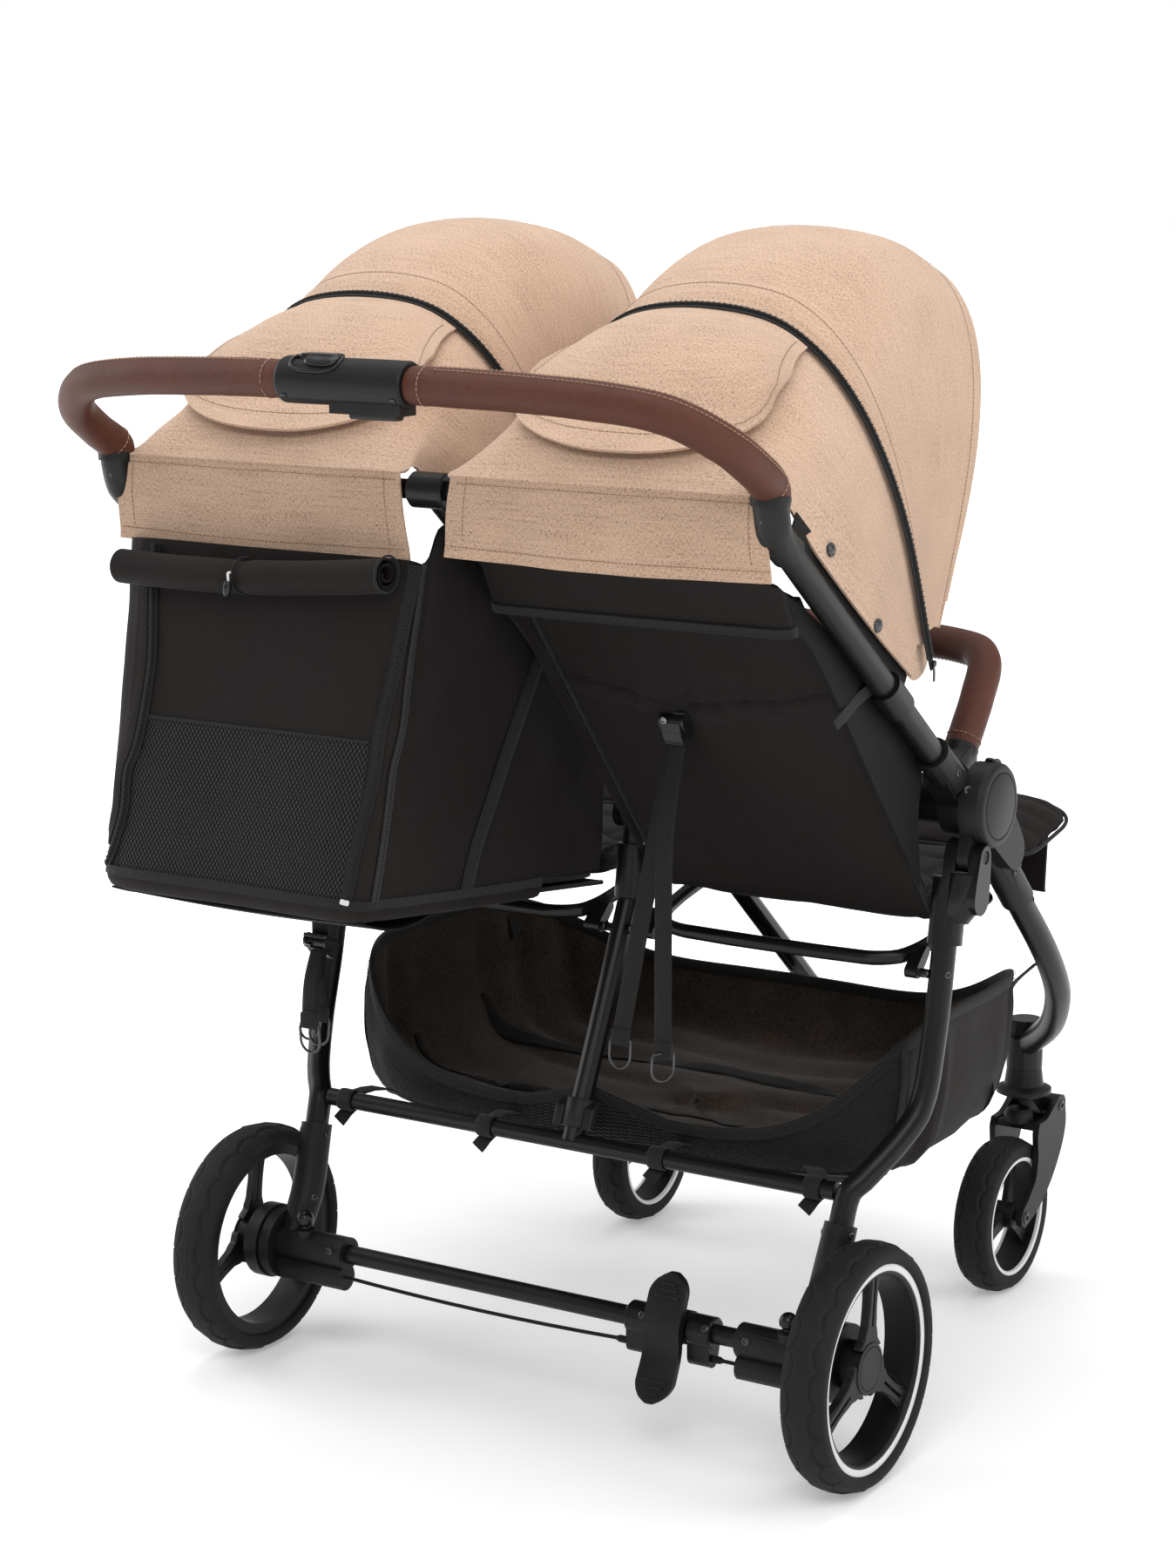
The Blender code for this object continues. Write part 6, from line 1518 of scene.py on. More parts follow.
def reclined_seat_cloth():
    """Walls of the reclined seat, its end wall's net window, zips, tapes and bottom rail."""
    cloth = SeatCloth(1)
    seat_piece("seat_wall_inner_left", cloth.strip(0, WALL_START), 1, BLACK, node="seat_side_left")
    seat_piece("seat_wall_outer_left", cloth.strip(WALL_END, LAST_COLUMN), 1, BLACK)
    seat_piece("seat_window_cloth_left", cloth.strip(WALL_START, WALL_END, WINDOW_ROW, 32), 1, BLACK)
    seat_piece("seat_window_net_left", cloth.strip(WALL_START, WALL_END, 0, WINDOW_ROW), 1, NET, 0.0008, 0.0)

    seam = [cloth.wall(0.04 + 0.28 * k / 30, 0.47, 0.001) for k in range(31)]
    tape("seat_window_seam_left", [p for p, _ in seam], 0.003, 0.001, [n for _, n in seam], BINDING, "chassis")
    left_marks = [(0.3, 0.985), (0.2996, 0.871), (0.2969, 0.744), (0.2955, 0.602), (0.3032, 0.396),
                  (0.314, 0.3), (0.3155, 0.177), (0.327, 0.059), (0.335, 0.006)]
    right_marks = [(0.01, 0.99), (0.011, 0.924), (0.021, 0.689), (0.03, 0.481), (0.037, 0.313),
                   (0.045, 0.163), (0.052, 0.01)]
    for name, marks in (("outer", left_marks), ("inner", right_marks)):
        points, normals = wall_path(cloth, marks, 0.001)
        zip_line(f"seat_window_zip_{name}", points, normals, "chassis", 0.012)
    points = [row[20] + normal[20] * 0.0016 for row, normal in zip(cloth.rows, cloth.normals)]
    normals = [normal[20] for normal in cloth.normals]
    tape("seat_window_tape_left", points, 0.01, 0.002, normals, GREY_TAPE, "chassis")
    stitches("seat_window_tape_stitches_left", (([p + n * 0.0012 for p, n in zip(points, normals)], normals),),
             (0.0044, 0.003, 0.0004, 0.0006), BINDING, "chassis", 50)
    points, normals = wall_path(cloth, [(x + 0.011, t) for x, t in left_marks[1:-1]], 0.0014)
    tape("seat_window_fold_left", points, 0.011, 0.0024, normals, BLACK, "chassis")
    stop, normal = cloth.wall(0.052, 0.004, 0.003)
    rail = (stop - cloth.wall(0.045, 0.163, 0.003)[0]).normalized()
    bm = rounded_block(None, stop, (rail, normal.cross(rail), normal), (0.005, 0.0085, 0.0022), 0.0006)
    make("seat_window_zip_stop_left", bm, WHITE, 40, "chassis")

    count = len(cloth.rows[0])
    rail_normals = cloth.normals[0][4:count - 4]
    rail_points = [p + n * 0.0012 + Vector((0, 0, -0.0015)) for p, n in zip(cloth.rows[0][4:count - 4], rail_normals)]
    tape("seat_rail_binding_left", rail_points, 0.009, 0.003, rail_normals, BINDING, "chassis")
    tree = surface_tree(cloth.rows, 22)
    marks = ((0, -0.029, 0.756), (0, -0.0213, 0.7385), (0, 0.0168, 0.6725), (0, 0.05, 0.612),
             (0, 0.07, 0.568), (0, 0.08, 0.538))
    places = [tree.ray_cast(at(-0.04, spot.y, spot.z), ACROSS)[0] for spot in smooth(marks, 8)]
    web = [place + ACROSS * -0.0016 for place in places if place]
    tape("seat_wall_web_left", web, 0.02, 0.0018, -ACROSS, STRAP, "chassis")
    rings = []
    for point, normal in zip(rail_points, rail_normals):
        rings.append([point - normal * a - Vector((0, 0, b)) for a, b in
                      ((-0.0008, 0.003), (0.0004, 0.0095), (0.0035, 0.015), (0.009, 0.018), (0.015, 0.0185),
                       (0.015, 0.0165), (0.0095, 0.0155), (0.005, 0.0125), (0.0026, 0.008), (0.002, 0.002))])
    make("seat_rail_roll_left", loft(rings), BLACK, 60, "chassis")
    tray = []
    for i in range(9):
        t = i / 8
        y = 0.236 - 0.15 * t
        z = 0.536 - 0.01 * math.sin(math.pi * min(1.0, t * 1.3)) - 0.0165 * t
        tray.append([at(0.04 + 0.292 * k / 24, y, z - 0.003 * math.sin(math.pi * k / 24)) for k in range(25)])
    seat_piece("seat_tray_left", refine(tray, 2, 2), 1, LINING_AND_SHADE, 0.0014)


def rolled_cover():
    """Window cover rolled up under the skirt, held by a cord with its toggle."""
    rings = []
    windings = 2.35
    outline = [(0.0182 - 0.012 * k / 63, -100 + 360 * windings * k / 63) for k in range(64)]
    inner = [(radius - 0.0013, turn) for radius, turn in reversed(outline)]
    stations = 44
    for i in range(stations + 1):
        x = 0.3265 - 0.3045 * i / stations
        centre = at(x, 0.215, 0.8425 + 0.0125 * (i / stations) ** 2 - 0.003 * math.sin(math.pi * i / stations))
        pinch = 1 - 0.14 * math.exp(-((x - 0.1835) / 0.008) ** 2)
        ring = []
        for radius, turn in outline + inner:
            angle = math.radians(turn + 5 * math.sin(i * 0.12))
            swell = 1 + 0.03 * noise.noise(Vector((x * 14, math.cos(angle), math.sin(angle))))
            ring.append(centre + Vector((0, math.cos(angle) * 1.06, math.sin(angle) * 0.96)) * radius * pinch * swell)
        rings.append(ring)
    roll = make("window_cover_roll", loft(rings), BLACK, 55, "chassis")
    end = at(0.022, 0.215, 0.855)
    ring_path = [end + Vector((0, math.cos(a) * 1.06, math.sin(a) * 0.96)) * 0.0172 for a in turns(40)]
    cord("window_cover_end_binding", ring_path, 0.0012, 6, ACROSS, BINDING, "chassis", True, 50)
    stitches("window_cover_end_teeth", (([p + ACROSS * -0.0012 for p in ring_path], -ACROSS),),
             (0.003, 0.0018, 0.0005, 0.0004), GREY_TAPE, "chassis", 50)
    knot = at(0.1835, 0.215, 0.8425)
    loop = [knot + Vector((0.0006 * math.sin(3 * a), math.cos(a) * 1.06, math.sin(a))) * 0.0164 for a in turns(36)]
    cord("window_cover_cord", loop, 0.0011, 6, ACROSS, STRAP, "chassis", True)
    pale = [knot + Vector(p) for p in ((0.001, 0.0165, 0.0045), (0.0016, 0.02, 0.004), (0.0016, 0.02, -0.001),
                                       (0.002, 0.0195, -0.0055))]
    cord("window_cover_cord_end", smooth(pale, 5), 0.0012, 8, ACROSS, WHITE, "chassis")
    bm = turned([(0, 0), (0.0004, 0.0024), (0.002, 0.0036), (0.006, 0.004), (0.01, 0.0038), (0.0135, 0.0028),
                 (0.0148, 0.0012), (0.0148, 0)], knot + Vector((0.0016, 0.0205, -0.003)), (0.1, 0.05, -1), 16)
    make("window_cover_toggle", bm, GLOSS, 40, "chassis")


def upright_seat_cloth():
    """Side walls of the upright seat and the flap over the top of its backrest."""
    cloth = SeatCloth(-1)
    seat_piece("seat_wall_inner_right", cloth.strip(0, 20), -1, BLACK, node="seat_side_right")
    # The outer wall takes the darker lining as painted shade of its recess.
    seat_piece("seat_wall_outer_right", cloth.strip(40, LAST_COLUMN), -1, LINING_AND_SHADE)
    seat_piece("seat_flap_right", cloth.strip(20, 40), -1, BLACK, 0.003, 0.0006)
    normals = cloth.normals[1][20:41]
    edge = [p + n * 0.0012 for p, n in zip(cloth.rows[1][20:41], normals)]
    tape("seat_flap_binding_right", edge, 0.01, 0.0032, normals, BINDING, "chassis")
    lines = [([p + n * 0.0018 + Vector((0, 0, shift)) for p, n in zip(edge, normals)], normals)
             for shift in (-0.003, 0.003)]
    stitches("seat_flap_stitches_right", lines, (0.004, 0.0028, 0.0004, 0.0004), GREY_TAPE, "chassis", 50)
    strap("seat_side_web_right", [at(-0.337, 0.039, 0.726), at(-0.3405, 0.03, 0.733), at(-0.342, 0.0, 0.747),
                                  at(-0.348, -0.028, 0.756)], 0.013, 0.0018, (-1, 0, 0), STRAP, "chassis", 5)


def seam_height(x):
    """Distance along the upright board of the sagging seam, at a place across it."""
    return eased(((0.03, 0.327), (0.051, 0.312), (0.103, 0.3035), (0.141, 0.29), (0.178, 0.2925),
                  (0.252, 0.3056), (0.328, 0.3194), (0.345, 0.323)), x)


def back_cover(name, board, length, body, upright):
    """Nylon cover on the rear of a backrest, with its seams, sag and pulls."""
    low, high = 0.0372, 0.3344
    columns, levels = 84, 120
    rows = []
    for i in range(levels + 1):
        d = 0.003 + (length - 0.006) * i / levels
        v = 2 * d / length - 1
        row = []
        for k in range(columns + 1):
            u = 2 * k / columns - 1
            x = (low + high) / 2 + u * (high - low) / 2
            dome = (1 - abs(u) ** 4) * (1 - abs(v) ** 6)
            rise = 0.0078 + 0.004 * dome
            soft = noise.noise(Vector((x * 7, d * 6, 2.0 + board.sign)))
            fine = noise.noise(Vector((x * 26, d * 30, 7.0)))
            rise += (soft * 0.0026 + fine * 0.0007) * dome ** 0.5
            if upright:
                seam = seam_height(x)
                below = seam - d
                rise += 0.0042 * fold(below, 0.013, 0.0095) * dome ** 0.4
                rise -= 0.003 * fold(below, 0.0, 0.0022)
                rise += 0.0018 * fold(below, -0.006, 0.005)
                ripple = math.sin(x * 210 + 5 * soft) * 0.001 + math.sin(x * 95 + 2) * 0.0012
                rise += ripple * (fold(below, 0.012, 0.02) + 0.5 * fold(below, -0.015, 0.015)) * dome
                pull = abs((x - 0.15) * 0.5 + (d - 0.3))
                rise += 0.0016 * fold(pull, 0.0, 0.006) * fold(x, 0.1, 0.045)
                rise -= 0.0014 * fold(d, 0.095 + 0.004 * math.sin(x * 14), 0.0016)
                rise += 0.0012 * fold(x, 0.3235, 0.0035) + 0.0012 * fold(x, 0.0485, 0.0035)
                dent = ((x - 0.158) / 0.03) ** 2 + ((d - 0.275) / 0.03) ** 2
                rise -= 0.003 * math.exp(-dent)
            row.append(board.place(x, d, -rise))
        rows.append(row)
    inside = board.place(SEAT_X, length / 2, 0.2)
    sewn(name, rows, 0.0014, BLACK, inside, body, 0.0005)
    for side, x in (("a", 0.0382), ("b", 0.3334)):
        line = [board.place(x, 0.004 + (length - 0.008) * k / 60, -0.0078) for k in range(61)]
        cord(f"{name}_piping_{side}", line, 0.0024, 8, board.normal, BINDING, body)
    if upright:
        xs = [0.045 + 0.282 * k / 60 for k in range(61)]
        lines = [([board.place(x, seam_height(x) + shift, height) for x in xs], -board.normal)
                 for shift, height in ((0.0035, -0.013), (-0.0035, -0.0138))]
        stitches(f"{name}_stitches", lines, (0.0044, 0.003, 0.0003, 0.0004), BINDING, body, 50)


def recline_clip(side, base, along, out, body, ends):
    """Webbing clip with its screw, cheeks and ribbed lever, and the two ends of its strap."""
    across = ACROSS
    up = -along if along.z < 0 else along
    bm = rounded_block(None, base, (across, up, out), (0.027, 0.025, 0.004), 0.0012)
    for shift in (-0.012, 0.012):
        outline = lens_ring((0.003, 0.006), 0.0075, (-0.01, 0.0085), 0.0045)
        rings = [[base + across * (shift + edge) + up * a + out * b for a, b in outline] for edge in (-0.0013, 0.0013)]
        loft(rings, bm)
    turned([(-0.0125, 0), (-0.0125, 0.006), (0.0125, 0.006), (0.0125, 0)], base + up * 0.0025 + out * 0.0068,
           across, 20, bm)
    lever = [(0.007, 0.013), (0.002, 0.016), (-0.006, 0.0185), (-0.015, 0.019), (-0.0155, 0.0168),
             (-0.007, 0.0145), (0.0, 0.01)]
    loft([[base + across * s + up * a + out * b for a, b in lever] for s in (-0.01, 0.01)], bm)
    for k in range(6):
        a, b = -0.0145 + 0.0026 * k, 0.0188 - 0.0005 * k
        centre = base + up * a + out * b
        turned([(-0.0098, 0), (-0.0098, 0.001), (0.0098, 0.001), (0.0098, 0)], centre, across, 8, bm)
    make(f"recline_clip_body_{side}", bm, GLOSS, 40, body)
    bm = bmesh.new()
    screw(bm, base + up * 0.0085 + out * 0.0115 + across * 0.0075, (out + up * 0.4).normalized(), 0.0042)
    make(f"recline_clip_screw_{side}", bm, STEEL, 40, body)
    for index, points in enumerate(ends):
        strap(f"recline_strap_{side}_{index}", points, 0.019, 0.0018, (0, 1, 0), STRAP, body, 8)
        foot = points[-1]
        bm = rounded_block(None, foot + Vector((0, -0.0022, 0.002)),
                           (ACROSS, Vector((0, 0, 1)), Vector((0, 1, 0))), (0.0192, 0.016, 0.0046), 0.001)
        make(f"recline_strap_fold_{side}_{index}", bm, STRAP, 40, body)


def lens_ring(first, first_r, second, second_r, steps=7):
    """Outline of two circles joined by their tangents, as (a, b) places."""
    da, db = second[0] - first[0], second[1] - first[1]
    distance = math.hypot(da, db)
    facing = math.atan2(db, da)
    spread = math.acos((first_r - second_r) / distance)
    ring = []
    for k in range(steps + 1):
        turn = facing + spread + (2 * math.pi - 2 * spread) * k / steps
        ring.append((first[0] + first_r * math.cos(turn), first[1] + first_r * math.sin(turn)))
    for k in range(steps + 1):
        turn = facing - spread + 2 * spread * k / steps
        ring.append((second[0] + second_r * math.cos(turn), second[1] + second_r * math.sin(turn)))
    return ring


HARNESS_WEB = (0.025, 0.0016)


def side_ups(path):
    """Up directions of a strap whose width lies across the object."""
    return [ACROSS.cross(heading(path, i)) for i in range(len(path))]


def harness(side, base, back, back_body):
    """Five-point harness: shoulder, waist and crotch straps, buckle, tabs and sliders."""
    buckle_at = base.place(SEAT_X, 0.085, 0.0265)
    up = base.normal
    across = ACROSS
    for shift, end in ((-1, "a"), (1, "b")):
        x_top = SEAT_X + shift * 0.052
        x_low = SEAT_X + shift * 0.016
        points = [back.place(x_top, 0.33, 0.012), back.place(x_top, 0.325, 0.019), back.place(x_top, 0.27, 0.02),
                  back.place(x_top - shift * 0.01, 0.17, 0.0205), back.place(x_top - shift * 0.024, 0.07, 0.024),
                  base.place(x_low + shift * 0.004, 0.02, 0.033), base.place(x_low, 0.066, 0.03)]
        path = smooth(points, 6)
        piece = tape(f"harness_shoulder_{side}_{end}", path, *HARNESS_WEB, side_ups(path), STRAP, None)
        base.place(SEAT_X, 0.03, 0.02)
        back.place(SEAT_X, 0.06, 0.02)
        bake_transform(piece)
        pad_rings = []
        for i in range(13):
            d = 0.292 - 0.0115 * i
            middle = back.place(x_top - shift * 0.01 * (0.292 - d) / 0.1, d, 0.0215)
            full = 1 - abs(2 * i / 12 - 1) ** 8
            half, thick = 0.019 * (0.75 + 0.25 * full), 0.004 * (0.35 + 0.65 * full)
            pad_rings.append([middle + across * half * bent(math.cos(a), 0.5) + back.normal * thick * math.sin(a)
                              for a in turns(20)])
        pad = make(f"harness_pad_{side}_{end}", loft(pad_rings), BLACK_PAD, 60, back_body)
        waist = [base.place(SEAT_X + shift * 0.128, 0.016, 0.016), base.place(SEAT_X + shift * 0.12, 0.022, 0.024),
                 base.place(SEAT_X + shift * 0.075, 0.055, 0.0275), base.place(SEAT_X + shift * 0.022, 0.08, 0.03)]
        tape(f"harness_waist_{side}_{end}", smooth(waist, 6), *HARNESS_WEB, up, STRAP, "chassis")
        bm = rounded_block(None, base.place(SEAT_X + shift * 0.062, 0.061, 0.027), (across, base.along, up),
                           (0.012, 0.032, 0.005), 0.0012)
        make(f"harness_slider_{side}_{end}", bm, GLOSS, 40, "chassis")
    crotch = [base.place(SEAT_X, 0.172, 0.015), base.place(SEAT_X, 0.168, 0.024), base.place(SEAT_X, 0.135, 0.0265),
              base.place(SEAT_X, 0.1, 0.028)]
    tape(f"harness_crotch_{side}", smooth(crotch, 6), 0.03, 0.0018, up, STRAP, "chassis")
    bm = turned([(-0.006, 0), (-0.006, 0.023), (-0.002, 0.025), (0.004, 0.025), (0.0075, 0.0225), (0.0085, 0.013),
                 (0.007, 0.0105), (0.007, 0)], buckle_at, up, 36)
    make(f"harness_buckle_{side}", bm, GLOSS, 35, "chassis")
    bm = turned([(0.006, 0), (0.006, 0.0098), (0.0082, 0.0098), (0.0092, 0.008), (0.0096, 0)], buckle_at, up, 30)
    make(f"harness_button_{side}", bm, WHITE, 35, "chassis")


def cover_strip(side, base, back):
    """Cloth that covers the fold between a seat base and its backrest."""
    rows = []
    for i in range(13):
        t = i / 12
        if t < 0.5:
            middle = base.place(0, 0.04 - 0.08 * t * 0.9, 0.0205 + 0.002 * math.sin(math.pi * t))
        else:
            middle = back.place(0, 0.004 + 0.08 * (t - 0.5) * 0.9, 0.015 + 0.002 * math.sin(math.pi * t))
        rows.append([middle + Vector((base.sign * (0.05 + 0.265 * k / 16), 0, 0)) for k in range(17)])
    piece = sewn(f"seat_fold_cover_{side}", refine(rows, 2, 2), 0.002, BLACK, at(0, -0.2, 0.2), None, 0.0004)
    base.place(SEAT_X, 0.03, 0.02)
    back.place(SEAT_X, 0.034, 0.015)
    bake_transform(piece)


def leg_flap(side, leg):
    """Cloth flap that hangs under a leg rest, and its hem."""
    rows = []
    for i in range(9):
        t = i / 8
        row = []
        for k in range(29):
            x = LEG_X[0] + 0.008 + (LEG_X[1] - LEG_X[0] - 0.016) * k / 28
            wave = math.sin(x * 62 + leg.sign) * 0.0035 * t
            row.append(leg.place(x, 0.078 - 0.012 * t + wave, -0.008 - 0.056 * t))
        rows.append(row)
    body = f"leg_rest_{side}"
    flap = sewn(f"leg_rest_flap_{side}", rows, 0.0022, BLACK, leg.place(0.18, -0.2, 0), body, 0.0006)
    hem = cord(f"leg_rest_flap_hem_{side}", rows[-1], 0.002, 8, (0, 0, 1), BINDING, body)
    for piece in (flap, hem):
        tuple(leg.normal)
        tuple(leg.place(0.18, 0.078, -0.008))
        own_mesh(piece)


for sign, side in SIDES:
    base = Board(sign, polar(BASE_ANGLE, 0.005, BACK_ROOT), BASE_ANGLE)
    angle, length = (RECLINED_ANGLE, RECLINED_LENGTH) if sign > 0 else (UPRIGHT_ANGLE, UPRIGHT_LENGTH)
    back = Board(sign, polar(angle, 0.0073, BACK_ROOT), angle)
    leg = Board(sign, polar(LEG_ANGLE, 0.0073, SEAT_FRONT), LEG_ANGLE)
    cushion(f"seat_base_pad_{side}", f"seat_base_{side}", base, BASE_X, 0.23, 0.0085, 0.0045, "chassis",
            (0.077, 0.153), (0.09, 0.272))
    cushion(f"seat_back_pad_{side}", f"seat_back_{side}", back, BACK_X, length, 0.005, 0.0025, f"back_{side}",
            (length / 3, length * 2 / 3), (0.095, 0.277), cap=0.0035, depth=0.0034)
    cushion(f"leg_rest_pad_{side}", f"leg_rest_{side}", leg, LEG_X, 0.15, 0.0085, 0.005, f"leg_rest_{side}",
            (0.03, 0.06, 0.09, 0.12), cap=0.004, depth=0.0034, two_sided=True, droop=0.01)
    leg_flap(side, leg)
    back_cover(f"seat_back_cover_{side}", back, length, f"back_{side}", sign < 0)
    cover_strip(side, base, back)
    harness(side, base, back, f"back_{side}")

reclined_seat_cloth()
rolled_cover()
upright_seat_cloth()

upright = Board(-1, polar(UPRIGHT_ANGLE, 0.0, BACK_ROOT), UPRIGHT_ANGLE)
clip_base = upright.place(0.15, 0.273, -0.0113)
clip_end = clip_base - upright.normal * 0.006 - upright.along * 0.011
inner_hook, outer_hook = at(-0.1027, 0.02, 0.4), at(-0.1535, 0.026, 0.396)
recline_clip("right", clip_base, upright.along, -upright.normal, "back_right",
             [[clip_end + Vector((0, 0, 0.004)), clip_end.lerp(inner_hook, 0.25) + Vector((0, 0.004, 0)),
               clip_end.lerp(inner_hook, 0.62) + Vector((0, 0.003, 0)), inner_hook],
              [clip_end + Vector((0, 0, 0.002)), clip_end.lerp(outer_hook, 0.3) + Vector((0.002, 0.013, 0)),
               clip_end.lerp(outer_hook, 0.66) + Vector((0.001, 0.008, 0)), outer_hook]])


# Tyres and the white rings of the wheels

def tread_depth(share, phase):
    """Depth of the tread's scallops at a place across the tread (-1 to 1) and round it, in metres."""
    side = abs(share)
    swing = abs(2 * phase)
    arch = 0.97 - 0.52 * math.sqrt(max(0.0, 1 - min(1.0, swing) ** 2))
    gap = side - arch
    groove = 0.0019 * math.exp(-(gap / 0.06) ** 2)
    dish = 0.0011 / (1 + math.exp(-gap / 0.03))
    middle = -0.0004 * math.exp(-(side / 0.035) ** 2)
    return groove + dish + middle


def tyre(name, node, body, centre, radius, half, bore, count):
    """Foam tyre with a crowned tread, scalloped shoulders and a fine centre rib."""
    around = 20
    shoulder = half * 0.8
    section = [(-half * 0.86, bore, None), (-half * 0.955, bore + 0.0012, None),
               (-half, bore + (radius - bore) * 0.3, None), (-half * 0.995, radius - half * 0.42, None),
               (-half * 0.955, radius - half * 0.25, -1.0)]
    for k in range(27):
        share = -1 + 2 * k / 26
        crown = radius - half * 0.16 * abs(share) ** 3.2 - half * 0.03 * share * share
        section.append((shoulder * share * 1.08, crown, share * 0.96))
    section += [(-along, r, mark) for along, r, mark in reversed(section[:5])]
    segments = count * around
    rings = []
    for i, turn in enumerate(turns(segments)):
        c, s = math.cos(turn), math.sin(turn)
        ring = []
        for along, r, mark in section:
            shift = 0.5 if along > 0 else 0.0
            phase = (i / around + shift) % 1.0 - 0.5
            cut = tread_depth(mark, phase) if mark is not None else 0.0
            ring.append(centre + Vector((along, c * (r - cut), s * (r - cut))))
        rings.append(ring)
    bm = bmesh.new()
    layer = bm.loops.layers.uv.verify()
    for face, *_ in quads(bm, [[bm.verts.new(p) for p in ring] for ring in rings], True, True):
        for loop in face.loops:
            loop[layer].uv = (loop.vert.co.y, loop.vert.co.z)
    piece = make(name, bm, FOAM, 60, body)
    if node:
        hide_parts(node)


def white_ring(name, body, centre, axis, face, inner, outer):
    """Thin bonded ring with rounded edges on a wheel's face."""
    bm = turned([(face - 0.003, inner), (face, inner), (face + 0.0006, inner + 0.0006),
                 (face + 0.0009, (inner + outer) / 2), (face + 0.0006, outer - 0.0006), (face, outer),
                 (face - 0.003, outer)], centre, axis, 144)
    make(name, bm, WHITE, 35, body)


def spoke_plates(name, body, centre, sign, first, reach, low, high, widths, slot, cut):
    """Three tapered spokes with a long groove, on the outer side of a wheel's own spokes."""
    bm = bmesh.new()
    steps = 40
    for third in range(3):
        turn = math.radians(first + 120 * third)
        along = Vector((0, math.cos(turn), math.sin(turn)))
        across = Vector((0, -math.sin(turn), math.cos(turn)))
        rings = []
        for k in range(steps + 1):
            r = reach[0] + (reach[1] - reach[0]) * k / steps
            half = eased(widths, r)
            inside = min(1.0, max(0.0, (r - slot[0]) / 0.003), max(0.0, (slot[1] - r) / 0.003))
            depth = 0.004 * inside
            outline = [(-half, low), (-half, high - 0.0012), (-half + 0.001, high), (-cut - 0.0003, high),
                       (-cut, high - depth), (cut, high - depth), (cut + 0.0003, high), (half - 0.001, high),
                       (half, high - 0.0012), (half, low)]
            rings.append([centre + along * r + across * a + Vector((sign * b, 0, 0)) for a, b in outline])
        loft(rings, bm)
    make(name, bm, PLASTIC, 35, body)


for sign, side in SIDES:
    hub = at(sign * REAR_WHEEL_X, 0, REAR_R)
    tyre(f"rear_tread_{side}", f"rear_tyre_{side}", f"rear_wheel_{side}", hub, REAR_R, 0.0225, 0.0993, 22)
    white_ring(f"rear_ring_{side}", f"rear_wheel_{side}", hub, (sign, 0, 0), 0.0182, 0.0925, 0.0994)
    bm = turned([(0.011, 0), (0.011, 0.0246), (0.0122, 0.025), (0.013, 0.0244), (0.0131, 0.0214), (0.0124, 0.0211),
                 (0.0124, 0.0207), (0.0132, 0.0203), (0.0134, 0.0)], hub, (sign, 0, 0), 64)
    make(f"rear_hub_disc_{side}", bm, PLASTIC, 35, f"rear_wheel_{side}")
    spoke_plates(f"rear_spoke_plates_{side}", f"rear_wheel_{side}", hub, sign, 97, (0.02, 0.089), 0.0036, 0.0118,
                 ((0.02, 0.02), (0.03, 0.0125), (0.042, 0.0088), (0.062, 0.007), (0.078, 0.007),
                  (0.089, 0.0095)), (0.04, 0.086), 0.0014)
    hub = at(sign * FRONT_WHEEL[0], *FRONT_WHEEL[1:])
    tyre(f"front_tread_{side}", None, f"front_wheel_{side}", hub, FRONT_WHEEL[2], 0.02, 0.0612, 20)
    for index, out in enumerate((1, -1)):
        white_ring(f"front_ring_{side}_{index}", f"front_wheel_{side}", hub, (out, 0, 0), 0.0186, 0.0604, 0.0668)


# Handlebar grips and bumper bar

def carried(path, first):
    """Up directions along a path that turn no more than the path does."""
    ups = []
    up = Vector(first)
    for i in range(len(path)):
        along = heading(path, i)
        up = (up - along * up.dot(along)).normalized()
        ups.append(up)
    return ups


def leather_bar(name, node, body, path, ups, radius, seam):
    """Leatherette sleeve on a tube, with a sewn seam along it and a stitched cuff at each end."""
    sides = 40
    bm = bmesh.new()
    layer = bm.loops.layers.uv.verify()
    rings = []
    runs = running(path)
    places = frames(path, ups)
    for i, (point, _, side, up) in enumerate(places):
        ring = []
        end = min(runs[i], runs[-1] - runs[i])
        roll = 0.0009 * math.exp(-(end / 0.0016) ** 2)
        for turn in turns(sides):
            gap = abs((turn - seam + math.pi) % (2 * math.pi) - math.pi) * radius
            groove = 0.0006 * math.exp(-(gap / 0.0011) ** 2)
            puff = 0.00035 * math.exp(-((gap - 0.0026) / 0.0018) ** 2)
            soft = noise.noise(Vector((runs[i] * 38, math.cos(turn) * 1.3, math.sin(turn) * 1.3))) * 0.00035
            r = radius + 0.0002 - roll - groove + puff + soft
            ring.append(bm.verts.new(point + (side * math.cos(turn) + up * math.sin(turn)) * r))
        rings.append(ring)
    for face, i, k, j, _ in quads(bm, rings, True):
        lay(face, layer, k * 2 * math.pi * radius / sides, (k + 1) * 2 * math.pi * radius / sides, runs[i], runs[j])
    bm.faces.new(rings[0])
    bm.faces.new(rings[-1])
    piece = make(name, bm, LEATHER, 50, body)
    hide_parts(node)
    lines = []
    for offset in (-0.004, 0.004):
        turn = seam + offset / radius
        outs = [(point, side * math.cos(turn) + up * math.sin(turn)) for i, (point, _, side, up) in enumerate(places)
                if min(runs[i], runs[-1] - runs[i]) >= 0.016]
        lines.append(([point + out * (radius + 0.0004) for point, out in outs], [out for _, out in outs]))
    stitches(f"{name}_stitches", lines, LEATHER_STITCH, THREAD, body)
    lines = []
    for end in (0.014, runs[-1] - 0.014):
        point, _, side, up = places[nearest(runs, end)]
        ring = [point + (side * math.cos(a) + up * math.sin(a)) * (radius + 0.0003) for a in turns(36, 1)]
        lines.append((ring, [(p - point).normalized() for p in ring]))
    stitches(f"{name}_cuff_stitches", lines, LEATHER_STITCH, THREAD, body)


